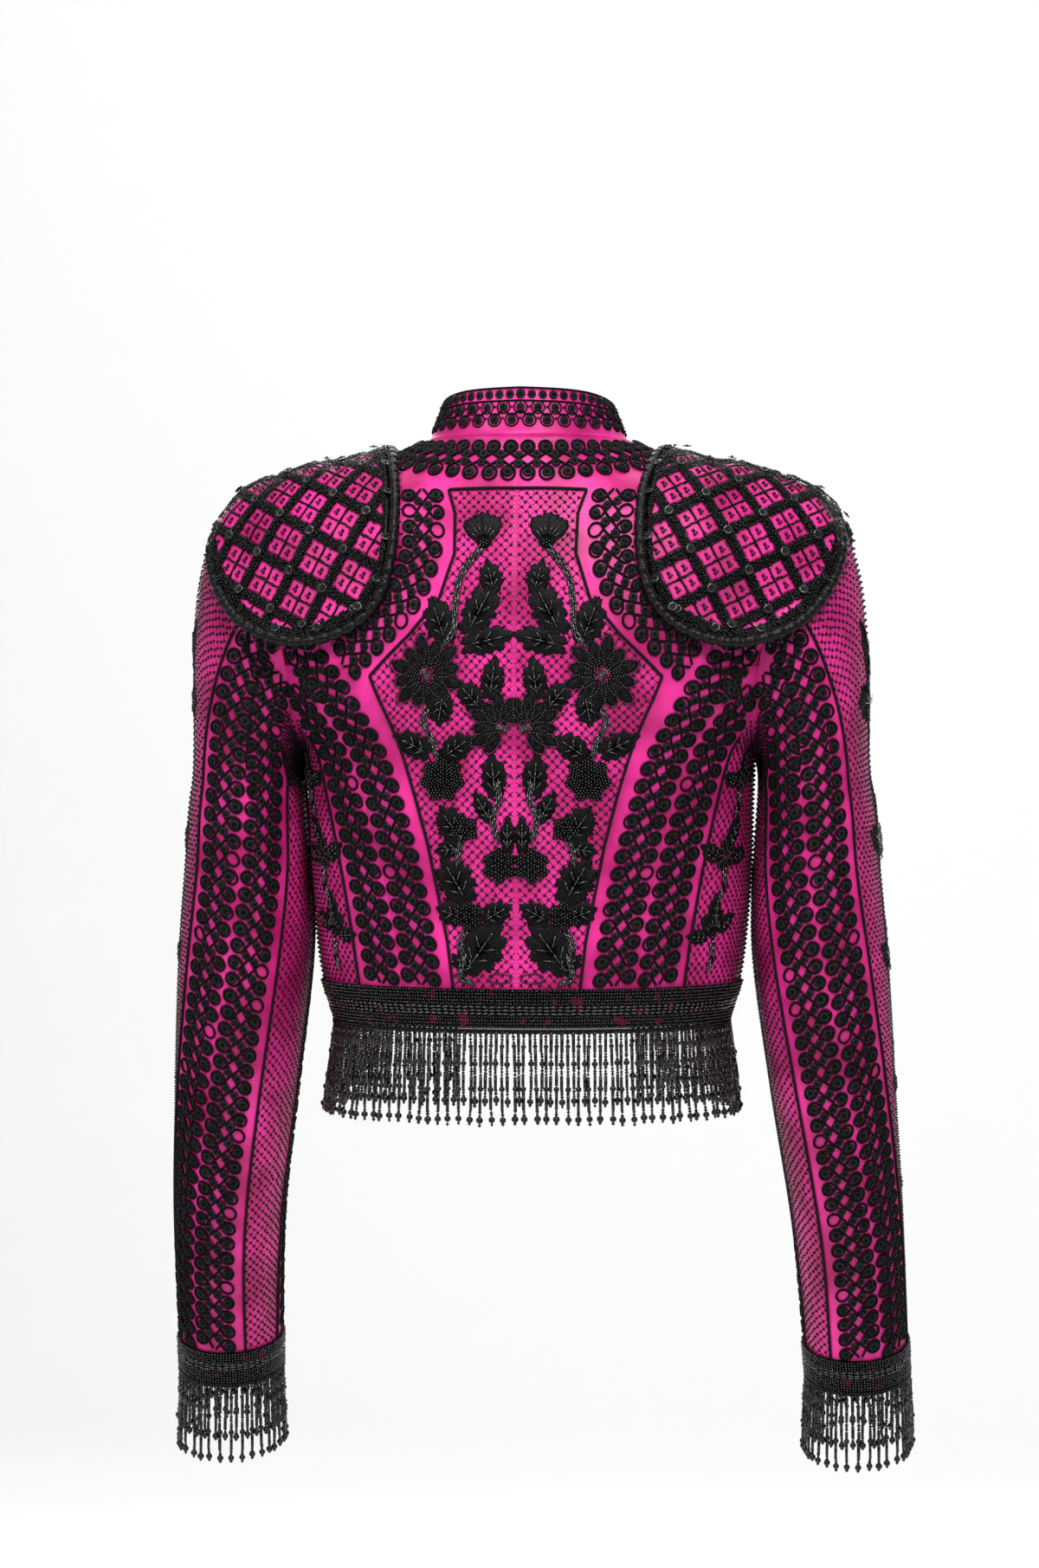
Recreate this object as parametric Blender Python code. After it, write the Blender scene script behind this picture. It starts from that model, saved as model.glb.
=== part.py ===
"""A matador jacket, worn and hollow: the solids of its cloth pieces, epaulets, bands and bead fringe.

Metres, +Z up. The wearer faces -Y, so +X is the wearer's left. The origin is midway between the two
side neck points, where the neck meets the shoulder seams. The jacket is the same on both sides: each
left piece is worked out, and its twin is mirrored in X.
"""

from collections import namedtuple
import math

import bmesh
import bpy
from mathutils import Vector
from mathutils.bvhtree import BVHTree
import numpy as np

for old in list(bpy.data.objects):
    bpy.data.objects.remove(old, do_unlink=True)

# ---------------------------------------------------------------- cloth and gaps
SATIN = 0.0020            # satin with its interlining
SEAM_INSET = 0.00015      # each panel stops this far short of its seam, so pieces lie 0.3 mm apart
BRAID = 0.0012            # how far the guipure braid strips stand up
MOUND = 0.0020            # how far the floral applique stands up in its middle
BRAID_WIDE = 0.025        # one strip of braid
BORDER = 0.010            # plain satin between a strip and the net panel
STRIP_START = 0.0025      # plain satin between a seam and its strip
STEP = 0.0015             # ground over which a strip rises

# ---------------------------------------------------------------- finishes
Finish = namedtuple("Finish", "name colour roughness metallic")
FUCHSIA = Finish("fuchsia_satin", (0.68, 0.02, 0.22, 1), 0.35, 0.0)
JET = Finish("jet_beads", (0.012, 0.012, 0.013, 1), 0.25, 0.0)
CORDING = Finish("black_satin_cord", (0.02, 0.02, 0.022, 1), 0.45, 0.0)


def material(finish):
    """The Principled material of a finish, made once."""
    made = bpy.data.materials.get(finish.name)
    if made:
        return made
    made = bpy.data.materials.new(finish.name)
    made.use_nodes = True
    shader = made.node_tree.nodes["Principled BSDF"]
    shader.inputs["Base Color"].default_value = finish.colour
    shader.inputs["Roughness"].default_value = finish.roughness
    shader.inputs["Metallic"].default_value = finish.metallic
    return made


# ---------------------------------------------------------------- curves shared by every piece
def lerp(a, b, share):
    return a + (b - a) * share


def column(values):
    """A list of numbers as a column, to multiply rows of points."""
    return np.asarray(values, float)[..., None]


def unit(vectors):
    return vectors / np.linalg.norm(vectors, axis=-1, keepdims=True)


def bezier(points, s):
    """Cubic curves: points (..., 4, 3) at the parameters s (N) give (..., N, 3)."""
    weights = np.stack([(1 - s) ** 3, 3 * s * (1 - s) ** 2, 3 * s**2 * (1 - s), s**3], axis=-1)
    return np.einsum("nk,...kc->...nc", weights, np.asarray(points, float))


def hermite(start, end, slope_start, slope_end, w):
    """The cubic from start to end with the given slopes, at the share w of the way."""
    w = column(w)
    return (
        (2 * w**3 - 3 * w**2 + 1) * start
        + (w**3 - 2 * w**2 + w) * slope_start
        + (3 * w**2 - 2 * w**3) * end
        + (w**3 - w**2) * slope_end
    )


def slopes(knots, rows):
    """The slope at each row, from its neighbours on both sides."""
    gaps = np.diff(knots)[:, None, None]
    inner = (rows[2:] - rows[:-2]) / (gaps[1:] + gaps[:-1])
    return np.concatenate([(rows[1:2] - rows[:1]) / gaps[:1], inner, (rows[-1:] - rows[-2:-1]) / gaps[-1:]])


def through_rows(knots, rows, below, above, height):
    """A smooth surface through rows (R, N, 3): slope `above` leaves a row upwards, `below` reaches it."""
    height = np.clip(height, knots[0], knots[-1])
    k = np.clip(np.searchsorted(knots, height, side="right") - 1, 0, len(knots) - 2)
    n = np.arange(height.size)
    step = column(knots[k + 1] - knots[k])
    share = (height - knots[k]) / step[:, 0]
    return hermite(rows[k, n], rows[k + 1, n], above[k, n] * step, below[k + 1, n] * step, share)


def smooth_table(table, at):
    """The later columns of a table at values of its first, each along a smooth curve through its rows."""
    table = np.array([tuple(row) for row in table], float)
    at = np.asarray(at, float)
    rows = np.repeat(table[:, None, 1:], at.size, axis=1)
    slope = slopes(table[:, 0], rows)
    found = through_rows(table[:, 0], rows, slope, slope, at.ravel())
    return np.moveaxis(found.reshape(*at.shape, -1), -1, 0)


# ---------------------------------------------------------------- body: armhole, neck, rows
SIDE_NECK = np.array([0.068, 0.0, 0.0])
SHOULDER = np.array([0.192, -0.0005, -0.043])      # outer end of the shoulder seam
UNDERARM = np.array([0.156, -0.005, -0.215])
ARMHOLE_BACK, ARMHOLE_FRONT = 0.064, 0.068         # how far the armhole swings back and forward
ARMHOLE_IN_BACK, ARMHOLE_IN_FRONT = 0.006, 0.014   # how far it cuts in between
BACK_NECK = np.array([0.0, 0.062, 0.003])
FRONT_NECK = np.array([0.040, -0.072, -0.050])
NECK_SHARE = 0.40         # share of the top row that is neckline, the rest being shoulder seam
SHOULDER_HOLLOW = 0.0055
HEM_HEIGHT, BAND_HEIGHT, TOP_HEIGHT = 0.0, 0.027, 0.420   # up the centre back, from the hem
UNDERARM_ROW = 5

# Each row runs round the body at one height. `height` is measured up the centre back. The side is a point
# below the underarm and a turn of the armhole above it (1 at the underarm, 0 at the shoulder).
# `lead` and `round` are the curve's handles, `swing` and `fall` its heading where it ends.
Row = namedtuple("Row", "height start side turn lead rise round swing fall")
BACK_ROWS = [
    Row(0.000, (0, 0.0900, -0.402), (0.1360, -0.020, -0.402), None, 0.088, 0.0, 0.058, 0, 0.0),
    Row(0.027, (0, 0.0900, -0.375), (0.1445, -0.019, -0.375), None, 0.092, 0.0, 0.060, 0, 0.0),
    Row(0.052, (0, 0.0905, -0.350), (0.1485, -0.018, -0.350), None, 0.094, 0.0, 0.062, 0, 0.0),
    Row(0.102, (0, 0.0940, -0.300), (0.1530, -0.015, -0.300), None, 0.094, 0.0, 0.064, 0, 0.0),
    Row(0.152, (0, 0.1000, -0.250), (0.1545, -0.008, -0.250), None, 0.092, 0.0, 0.064, 0, 0.0),
    Row(0.187, (0, 0.1035, -0.215), UNDERARM, None, 0.090, 0.0, 0.064, 0, 0.0),
    Row(0.232, (0, 0.1060, -0.170), None, 0.72, 0.088, 0.0, 0.042, 28, 0.0),
    Row(0.282, (0, 0.1040, -0.120), None, 0.48, 0.082, 0.0, 0.040, 55, 0.0),
    Row(0.332, (0, 0.0950, -0.070), None, 0.28, 0.075, 0.02, 0.045, 66, -0.10),
    Row(0.376, (0, 0.0790, -0.028), None, 0.12, 0.070, 0.03, 0.050, 72, -0.22),
]
FRONT_ROWS = [
    Row(0.000, (0.060, -0.110, -0.402), (0.1360, -0.020, -0.402), None, 0.040, 0.0, 0.052, 0, 0.0),
    Row(0.027, (0.059, -0.114, -0.375), (0.1445, -0.019, -0.375), None, 0.044, 0.0, 0.056, 0, 0.0),
    Row(0.052, (0.058, -0.118, -0.350), (0.1485, -0.018, -0.350), None, 0.046, 0.0, 0.060, 0, 0.0),
    Row(0.102, (0.055, -0.126, -0.300), (0.1530, -0.015, -0.300), None, 0.050, 0.0, 0.068, 0, 0.0),
    Row(0.152, (0.051, -0.133, -0.250), (0.1545, -0.008, -0.250), None, 0.054, 0.0, 0.074, 0, 0.0),
    Row(0.187, (0.048, -0.135, -0.215), UNDERARM, None, 0.056, 0.0, 0.078, 0, 0.0),
    Row(0.232, (0.045, -0.131, -0.172), None, 0.72, 0.054, 0.0, 0.046, 24, 0.0),
    Row(0.282, (0.043, -0.116, -0.128), None, 0.48, 0.050, 0.0, 0.036, 50, 0.0),
    Row(0.332, (0.041, -0.096, -0.090), None, 0.28, 0.046, 0.10, 0.038, 62, 0.0),
    Row(0.376, (0.040, -0.083, -0.067), None, 0.12, 0.042, 0.30, 0.046, 70, -0.15),
]
KNOTS = np.array([row.height for row in BACK_ROWS] + [TOP_HEIGHT])


def armhole_point(turn, side):
    """The armhole at a turn from the shoulder (0) to the underarm (1), behind (side 1) or in front (-1)."""
    angle = turn * math.pi
    swing, cut_in = (ARMHOLE_BACK, ARMHOLE_IN_BACK) if side > 0 else (ARMHOLE_FRONT, ARMHOLE_IN_FRONT)
    middle, half = (SHOULDER + UNDERARM) / 2, (SHOULDER - UNDERARM) / 2
    across = np.array([-cut_in * math.sin(angle) ** 2, side * swing * math.sin(angle), 0.0])
    return middle + half * math.cos(angle) + across


def row_controls(row, side):
    """The four control points of one row of the back (side 1) or front (side -1)."""
    start = np.array(row.start, float)
    end = np.array(row.side, float) if row.turn is None else armhole_point(row.turn, side)
    swing = math.radians(row.swing)
    heading = unit(np.array([math.sin(swing), -side * math.cos(swing), row.fall]))
    return [start, start + row.lead * np.array([1, 0, row.rise]), end - row.round * heading, end]


BACK_CONTROLS = np.array([row_controls(row, 1) for row in BACK_ROWS])
FRONT_CONTROLS = np.array([row_controls(row, -1) for row in FRONT_ROWS])


def neckline(share, side):
    """The neck seam from the centre back (or the front neck point) to the side neck point."""
    if side > 0:
        angle = share * math.pi / 2
        across, back = SIDE_NECK[0] * np.sin(angle), BACK_NECK[1:, None] * np.cos(angle.ravel())
        return np.stack([across, *back.reshape(2, *angle.shape)], axis=-1)
    leaving, reaching = np.array([0.018, 0.008, 0.011]), np.array([0, 0.030, 0.007])
    curve = bezier([FRONT_NECK, FRONT_NECK + leaving, SIDE_NECK - reaching, SIDE_NECK], np.ravel(share))
    return curve.reshape(*np.shape(share), 3)


def top_row(s, side):
    """The neck seam up to NECK_SHARE, then the shoulder seam, with its slight hollow."""
    along = np.clip((s - NECK_SHARE) / (1 - NECK_SHARE), 0, 1)
    hollow = SHOULDER_HOLLOW * np.sin(np.pi * column(along)) * [0, 0, 1]
    seam = lerp(SIDE_NECK, SHOULDER, column(along)) - hollow
    return np.where(column(s) < NECK_SHARE, neckline(np.clip(s / NECK_SHARE, 0, 1), side), seam)


def top_heading(s, side):
    """Which way the cloth reaches the top row: up at the start, and level over the shoulder."""
    start = np.array([0, -0.39, 0.92]) if side > 0 else np.array([0, 0.57, 0.82])
    corner = np.array([-0.566, -0.80 * side, 0.20])
    over = np.array([0, -1.0 * side, 0])
    blend = 0.25          # share of the top row over which the heading turns level
    rising = lerp(start, corner, column(np.clip(s / NECK_SHARE, 0, 1)))
    levelling = lerp(corner, over, column(np.clip((s - NECK_SHARE) / blend, 0, 1)))
    return unit(np.where(column(s) < NECK_SHARE, rising, levelling))


def body(s, height, side):
    """The body's outer face: s from the centre back (or front edge) to the side, height up from the hem."""
    s, height = np.broadcast_arrays(np.asarray(s, float), np.asarray(height, float))
    shape, s, height = s.shape, s.ravel(), height.ravel()
    controls = BACK_CONTROLS if side > 0 else FRONT_CONTROLS
    rows = np.concatenate([bezier(controls, s), top_row(s, side)[None]])
    below = slopes(KNOTS, rows)
    above = below.copy()
    corner = column(s) ** 6       # the side seam meets the armhole at an angle, which fades away from it
    under = UNDERARM_ROW
    reach = (rows[under] - rows[under - 1]) / (KNOTS[under] - KNOTS[under - 1])
    leave = np.linalg.norm(rows[under + 1] - rows[under], axis=-1, keepdims=True) * [0, side, 0]
    below[under] = lerp(below[under], reach, corner)
    above[under] = lerp(above[under], leave / (KNOTS[under + 1] - KNOTS[under]), corner)
    last = np.linalg.norm(rows[-1] - rows[-2], axis=-1, keepdims=True) / (KNOTS[-1] - KNOTS[-2])
    below[-1] = top_heading(s, side) * last
    return through_rows(KNOTS, rows, below, above, height).reshape(*shape, 3)


# ---------------------------------------------------------------- sleeves
# The sleeve's rings below the head. `tilt` leans a ring's back edge down, as the forearm swings forward.
Ring = namedtuple("Ring", "x y z half_width half_depth tilt")
RINGS = [
    Ring(0.1979, -0.012, -0.237, 0.0379, 0.062, 4),
    Ring(0.1989, -0.016, -0.300, 0.0434, 0.060, 4),
    Ring(0.2015, -0.021, -0.359, 0.0460, 0.058, 6),
    Ring(0.2100, -0.034, -0.451, 0.0425, 0.053, 10),
    Ring(0.2193, -0.060, -0.547, 0.0378, 0.047, 14),
    Ring(0.2245, -0.1015, -0.657, 0.0350, 0.041, 14),
]
RING_KNOTS = np.array([0.0, 1.0, 1.35, 1.70, 2.25, 2.85, 3.55])    # the armhole, then each ring
SLEEVE_END = RING_KNOTS[-1]
ARMHOLE_GAP = 0.0004
ARM_WAY = unit(np.array([UNDERARM[2] - SHOULDER[2], 0, SHOULDER[0] - UNDERARM[0]]) * -1)
HEAD_FULLNESS = 0.86      # how far the sleeve head runs out before it turns down
# Where the sleeve's two seams lie, in degrees round it from its outer side.
Turn = namedtuple("Turn", "along back front")
SLEEVE_SEAMS = [
    Turn(0.0, 100, 235), Turn(1.0, 100, 232), Turn(1.70, 83, 227), Turn(2.85, 60, 218), Turn(3.55, 56, 215),
]


def armhole_edge(angle):
    """The body's own armhole edge at an angle round the sleeve (0 outer, 90 back, 180 inner, 270 front)."""
    turned = np.abs((angle + 180) % 360 - 180) / 180
    turns = np.array([0.0] + [row.turn for row in reversed(BACK_ROWS) if row.turn] + [1.0])
    height = np.interp(turned, turns, KNOTS[: UNDERARM_ROW - 1 : -1])
    behind = np.sin(np.radians(angle)) >= 0
    side = np.ones_like(angle)
    return np.where(column(behind), body(side, height, 1), body(side, height, -1))


def ring_points(ring, angle):
    turn, tilt = np.radians(angle), math.radians(ring.tilt)
    back = np.array([0, math.cos(tilt), -math.sin(tilt)])
    return (
        np.array([ring.x, ring.y, ring.z])
        + column(ring.half_width * np.cos(turn)) * [1, 0, 0]
        + column(ring.half_depth * np.sin(turn)) * back
    )


def sleeve(angle, along):
    """The sleeve's outer face: angle round it in degrees, along it from the armhole (0) to the cuff."""
    angle, along = np.broadcast_arrays(np.asarray(angle, float), np.asarray(along, float))
    shape, angle, along = angle.shape, angle.ravel(), along.ravel()
    start = armhole_edge(angle) + ARMHOLE_GAP * ARM_WAY
    rows = np.concatenate([start[None], [ring_points(ring, angle) for ring in RINGS]])
    slope = slopes(RING_KNOTS, rows)
    down = unit(rows[2] - rows[1])
    chord = np.linalg.norm(rows[1] - rows[0], axis=-1, keepdims=True)
    top = column((1 + np.cos(np.radians(angle))) / 2)
    leaving = unit(lerp(np.array([0.55, 0, -0.83]), ARM_WAY, top ** 0.6))
    above, below = slope.copy(), slope.copy()
    above[0] = leaving * chord * HEAD_FULLNESS
    below[1] = down * chord * 0.9
    return through_rows(RING_KNOTS, rows, below, above, along).reshape(*shape, 3)


# ---------------------------------------------------------------- panels, each a face of (across, up)
# The princess seam, from the hem to the armhole: how far from the centre back at each height.
Seam = namedtuple("Seam", "height from_centre")
PRINCESS = [
    Seam(0.0, 0.0775), Seam(0.05, 0.0830), Seam(0.10, 0.0920), Seam(0.14, 0.1017), Seam(0.18, 0.1142),
    Seam(0.2186, 0.1312), Seam(0.2372, 0.1425), Seam(0.262, 0.163),
]
TIP_HEIGHT = 0.256        # where the side panel ends in a point at the armhole
SAMPLES = 81


def princess_share(height):
    """Where the princess seam crosses each row, as that row's s."""
    samples = np.linspace(0, 1, SAMPLES)
    rows = body(samples[None, :], np.asarray(height)[:, None], 1)
    wanted = smooth_table(PRINCESS, height)[0]
    share = np.array([np.interp(x, row[:, 0], samples) for x, row in zip(wanted, rows)])
    return np.where(height >= PRINCESS[-1].height, 1.0, share)


SEAM_HEIGHTS = np.linspace(HEM_HEIGHT, TOP_HEIGHT, 169)
SEAM_SHARES = princess_share(SEAM_HEIGHTS)


def back_centre(across, height):
    return body(across * np.interp(height, SEAM_HEIGHTS, SEAM_SHARES), height, 1)


def back_side(across, height):
    return body(lerp(np.interp(height, SEAM_HEIGHTS, SEAM_SHARES), 1.0, across), height, 1)


def front(across, height):
    return body(across, height, -1)


def sleeve_upper(across, along):
    """From the back seam round the outer side to the front seam."""
    back, front_turn = smooth_table(SLEEVE_SEAMS, along)
    return sleeve(lerp(back, front_turn - 360, across), along)


def sleeve_under(across, along):
    """From the back seam round the inner side to the front seam."""
    back, front_turn = smooth_table(SLEEVE_SEAMS, along)
    return sleeve(lerp(back, front_turn, across), along)


def spread(first, last, count):
    """Evenly spaced columns between two edges that vary from row to row, without the first."""
    shares = np.arange(1, count + 1) / count
    return lerp(column(first), column(last), shares)


def rises(start):
    """A strip of braid beside a seam: the columns at its foot, its two top edges and its other foot."""
    return start + np.array([0, STEP, BRAID_WIDE - STEP, BRAID_WIDE])


STRIP_LIFT = [0, 1, 1, 0]
NET_START = STRIP_START + BRAID_WIDE + BORDER      # where the net panel's outline cord lies


# The strip leaves the princess seam at the corner of the net panel and follows the epaulet up to the neck.
Away = namedtuple("Away", "height distance")
STRIP_AWAY = [
    Away(0.0, 0), Away(0.240, 0), Away(0.262, 0.026), Away(0.275, 0.055), Away(0.290, 0.080),
    Away(0.332, 0.108), Away(0.376, 0.116), Away(0.420, 0.125),
]


def squeezed(width, needed):
    """The share by which a row's columns draw together where the piece is too narrow for them."""
    return column(np.minimum(1.0, 0.94 * width / needed))


def centre_layout(width, height):
    """Net panel from the centre back, then the border, the strip and the plain yoke to the armhole."""
    away = np.interp(height, [row.height for row in STRIP_AWAY], [row.distance for row in STRIP_AWAY])
    away = np.minimum(away, width - NET_START - 0.030)
    net = width - away - NET_START
    strip = column(net) + BORDER + rises(0)
    yoke = spread(strip[:, -1], width - SEAM_INSET, 3)
    start = np.full((len(width), 1), SEAM_INSET)
    places = np.concatenate([start, spread(start[:, 0], net, 5), strip, yoke], axis=1)
    return places, [0] * 6 + STRIP_LIFT + [0] * 3


def side_layout(width, height):
    """The strip beside the princess seam, the border, then the net panel to the side seam."""
    seam = np.concatenate([[SEAM_INSET], rises(STRIP_START), [NET_START]])
    places = seam * squeezed(width, NET_START)
    net = spread(places[:, -1], width - np.minimum(SEAM_INSET, 0.1 * width), 4)
    return np.concatenate([places, net], axis=1), [0] + STRIP_LIFT + [0] * 5


# The side neck point divides the front's top row into neckline and shoulder seam.
FRONT_NECK_LINE = neckline(np.linspace(0, 1, SAMPLES), -1)
FRONT_NECK_RUN = np.linalg.norm(np.diff(FRONT_NECK_LINE, axis=0), axis=1).sum()
FRONT_KNEE = FRONT_NECK_RUN / (FRONT_NECK_RUN + np.linalg.norm(SHOULDER - SIDE_NECK))


def front_layout(width, height):
    """The strip beside the front edge, the border, then the net panel to the side."""
    strip = np.insert(rises(STRIP_START), 2, STRIP_START + BRAID_WIDE / 2)
    places = np.concatenate([[SEAM_INSET], strip, [NET_START]]) * np.ones((len(width), 1))
    knee = FRONT_KNEE * width
    net = np.concatenate([spread(places[:, -1], knee, 3), spread(knee, width - SEAM_INSET, 4)], axis=1)
    return np.concatenate([places, net], axis=1), [0, 0, 1, 1, 1, 0] + [0] * 8


def sleeve_layout(count):
    """A strip beside each seam of a sleeve piece, with the net panel between."""
    def layout(width, along):
        seam = np.concatenate([[SEAM_INSET], rises(STRIP_START), [NET_START]])
        places = seam * squeezed(width, 2 * NET_START)
        net = spread(places[:, -1], width - places[:, -1], count)
        far_places = column(width) - places[:, -2::-1]
        lift = [0] + STRIP_LIFT + [0] * (count + 1) + STRIP_LIFT + [0]
        return np.concatenate([places, net, far_places], axis=1), lift
    return layout


# Floral applique, raised as soft mounds: how far along the piece, how far across, and how wide each is.
Mound = namedtuple("Mound", "along across radius")
BACK_SPRAYS = [
    Mound(0.350, 0.022, 0.014), Mound(0.318, 0.024, 0.012), Mound(0.283, 0.030, 0.018),
    Mound(0.240, 0.056, 0.022), Mound(0.245, 0.016, 0.018), Mound(0.198, 0.050, 0.018),
    Mound(0.195, 0.012, 0.014), Mound(0.160, 0.036, 0.018), Mound(0.140, 0.012, 0.014),
    Mound(0.105, 0.030, 0.017), Mound(0.085, 0.010, 0.012), Mound(0.060, 0.026, 0.015),
]
SIDE_SPRAYS = [Mound(0.170, 0.052, 0.012), Mound(0.120, 0.056, 0.016), Mound(0.070, 0.054, 0.014)]
FRONT_SPRAYS = [
    Mound(0.320, 0.075, 0.018), Mound(0.260, 0.070, 0.022), Mound(0.195, 0.080, 0.020),
    Mound(0.130, 0.072, 0.018), Mound(0.075, 0.080, 0.018),
]
UPPER_SPRAYS = [
    Mound(0.75, 0.105, 0.020), Mound(1.25, 0.100, 0.018), Mound(1.75, 0.092, 0.018),
    Mound(2.25, 0.088, 0.018), Mound(2.85, 0.080, 0.016),
]


def share_at(face, layout_row, distance):
    """The share across a row that lies a distance from its first edge."""
    samples = np.linspace(0, 1, SAMPLES)
    line = face(samples, np.full(SAMPLES, layout_row))
    run = np.concatenate([[0], np.cumsum(np.linalg.norm(np.diff(line, axis=0), axis=1))])
    return np.interp(distance, run, samples)


def mounds(face, sprays, points):
    """How high the applique stands at each point: a smooth bump over every mound."""
    high = np.zeros(points.shape[:-1])
    for spray in sprays:
        middle = face(np.array([share_at(face, spray.along, spray.across)]), np.array([spray.along]))[0]
        near = np.linalg.norm(points - middle, axis=-1) / spray.radius
        high = np.maximum(high, MOUND * np.clip(1 - near**2, 0, 1))
    return high


def placed(face, layout, rows):
    """The grid of a piece: shares across and rows up at each point, and each column's strip lift."""
    samples = np.linspace(0, 1, SAMPLES)
    lines = face(np.tile(samples, (len(rows), 1)), np.tile(rows[:, None], (1, SAMPLES)))
    steps = np.linalg.norm(np.diff(lines, axis=1), axis=-1)
    run = np.concatenate([np.zeros((len(rows), 1)), np.cumsum(steps, axis=1)], axis=1)
    places, lift = layout(run[:, -1], rows)
    across = np.array([np.interp(place, line, samples) for place, line in zip(places, run)])
    return across, np.tile(rows[:, None], (1, across.shape[1])), np.array(lift, float)


def outward(face, across, along, sense):
    """The unit normals of a face, from small steps each way."""
    small = 1e-4
    first = face(np.clip(across + small, 0, 1), along) - face(np.clip(across - small, 0, 1), along)
    low, high = along.min(), along.max()
    before, after = np.clip(along - small, low, high), np.clip(along + small, low, high)
    second = face(across, after) - face(across, before)
    return unit(np.cross(first, second)) * sense


# ---------------------------------------------------------------- meshes
def add_object(name, points, faces, finish):
    """One named object from points and faces, with doubles merged and its normals facing out."""
    mesh = bpy.data.meshes.new(name)
    mesh.from_pydata([tuple(point) for point in points], [], [tuple(face) for face in faces])
    made = bmesh.new()
    made.from_mesh(mesh)
    bmesh.ops.remove_doubles(made, verts=made.verts, dist=1e-7)
    bmesh.ops.triangulate(made, faces=[face for face in made.faces if len(face.verts) > 4])
    bmesh.ops.recalc_face_normals(made, faces=made.faces)
    made.to_mesh(mesh)
    made.free()
    mesh.materials.append(material(finish))
    item = bpy.data.objects.new(name, mesh)
    bpy.context.scene.collection.objects.link(item)
    return item


def both_sides(name, points, faces, finish):
    """The left piece, and its twin mirrored in X."""
    points = np.asarray(points)
    add_object(f"{name}_left", points, faces, finish)
    add_object(f"{name}_right", points * [-1, 1, 1], faces, finish)


def grid_quads(ids):
    """The four-cornered faces of a grid of point numbers."""
    return np.stack([ids[:-1, :-1], ids[:-1, 1:], ids[1:, 1:], ids[1:, :-1]], axis=-1).reshape(-1, 4)


def wall(outer, inner, closed=False, pole=False):
    """Points and faces of a closed wall between two grids (rows, columns, 3).

    closed joins the last column to the first; pole says that the first row is a single point.
    """
    rows, columns = outer.shape[:2]
    ids = np.arange(rows * columns).reshape(rows, columns)
    if closed:
        ids = np.concatenate([ids, ids[:, :1]], axis=1)
    far = ids + rows * columns
    quads = grid_quads(ids)
    faces = [quads, (quads + rows * columns)[:, ::-1]]
    rims = [(ids[-1], far[-1])] + ([] if pole else [(ids[0][::-1], far[0][::-1])])
    if not closed:
        rims += [(ids[::-1, -1], far[::-1, -1]), (ids[:, 0], far[:, 0])]
    faces += [np.stack([near[1:], near[:-1], back[:-1], back[1:]], axis=-1) for near, back in rims]
    return np.concatenate([outer.reshape(-1, 3), inner.reshape(-1, 3)]), np.concatenate(faces)


OUTER_FACES = []          # the left pieces' outer grids, which the epaulet is seated on


def cloth_piece(name, face, layout, rows, sense, bare, sprays=(), row_lift=None):
    """One panel as a wall: braid strips and applique raised in its outer points, plain inside.

    bare says which rows are left plain, under a band. row_lift is the braid lift of whole rows.
    """
    across, along, strips = placed(face, layout, rows)
    points = face(across, along)
    normals = outward(face, across, along, sense)
    lift = np.tile(strips, (len(rows), 1))
    if row_lift is not None:
        lift = np.maximum(lift, row_lift[:, None])
        lift[:, [0, -1]] = 0
    lift = np.maximum(lift * BRAID, mounds(face, sprays, points))
    lift[0], lift[-1] = 0, 0
    lift[bare] = 0
    raised = points + normals * column(lift)
    OUTER_FACES.append(raised)
    both_sides(name, *wall(raised, points - normals * SATIN), FUCHSIA)


# Rows that adjoining panels share, so that their edges follow the same seam.
HEM_ROWS = [HEM_HEIGHT, BAND_HEIGHT + 0.0010, BAND_HEIGHT + 0.0030]
SIDE_ROWS = [0.050, 0.075, 0.100, 0.123, 0.145, 0.166, KNOTS[UNDERARM_ROW]]
TIP_ROWS = [0.205, 0.222, 0.240, TIP_HEIGHT]
TOP_INSET = 0.0003        # the top rows stop this far short of the neck and shoulder seams
NECK_ROWS = TOP_HEIGHT - np.array([0.0275, 0.0255, 0.0045, 0.0025])
NECK_LIFT = [0, 1, 1, 0]
PLAIN_TO = BAND_HEIGHT + 0.0020   # the cloth is plain under the hem band
CENTRE_ROWS = [0.272, 0.292, 0.318, 0.345, 0.370]
FRONT_UPPER_ROWS = [0.212, 0.242, 0.275, 0.308, 0.340, 0.370]


def neck_lift(rows):
    """The lift of each row of a piece that ends in the braid under the neck seam and the seam itself."""
    return np.array([0] * (len(rows) - len(NECK_LIFT) - 1) + NECK_LIFT + [0])


def build_body():
    """The back's four panels and the two fronts."""
    lower = HEM_ROWS + SIDE_ROWS
    top = [*NECK_ROWS, TOP_HEIGHT - TOP_INSET]
    side = np.array(lower + TIP_ROWS)
    cloth_piece("back_side", back_side, side_layout, side, -1, side < PLAIN_TO, SIDE_SPRAYS)
    rows = np.array(lower + TIP_ROWS + CENTRE_ROWS + top)
    bare = rows < PLAIN_TO
    cloth_piece("back_centre", back_centre, centre_layout, rows, -1, bare, BACK_SPRAYS, neck_lift(rows))
    rows = np.array(lower + FRONT_UPPER_ROWS + top)
    cloth_piece("front", front, front_layout, rows, 1, rows < PLAIN_TO, FRONT_SPRAYS, neck_lift(rows))


CUFF_BAND = 0.024
LAST_RUN = 0.117          # metres from the last ring but one to the cuff
CUFF_START = SLEEVE_END - CUFF_BAND / LAST_RUN * (SLEEVE_END - RING_KNOTS[-2])
CUFF_BARE = 0.02          # how far above the cuff band, in rings, its cloth is left plain


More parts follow.
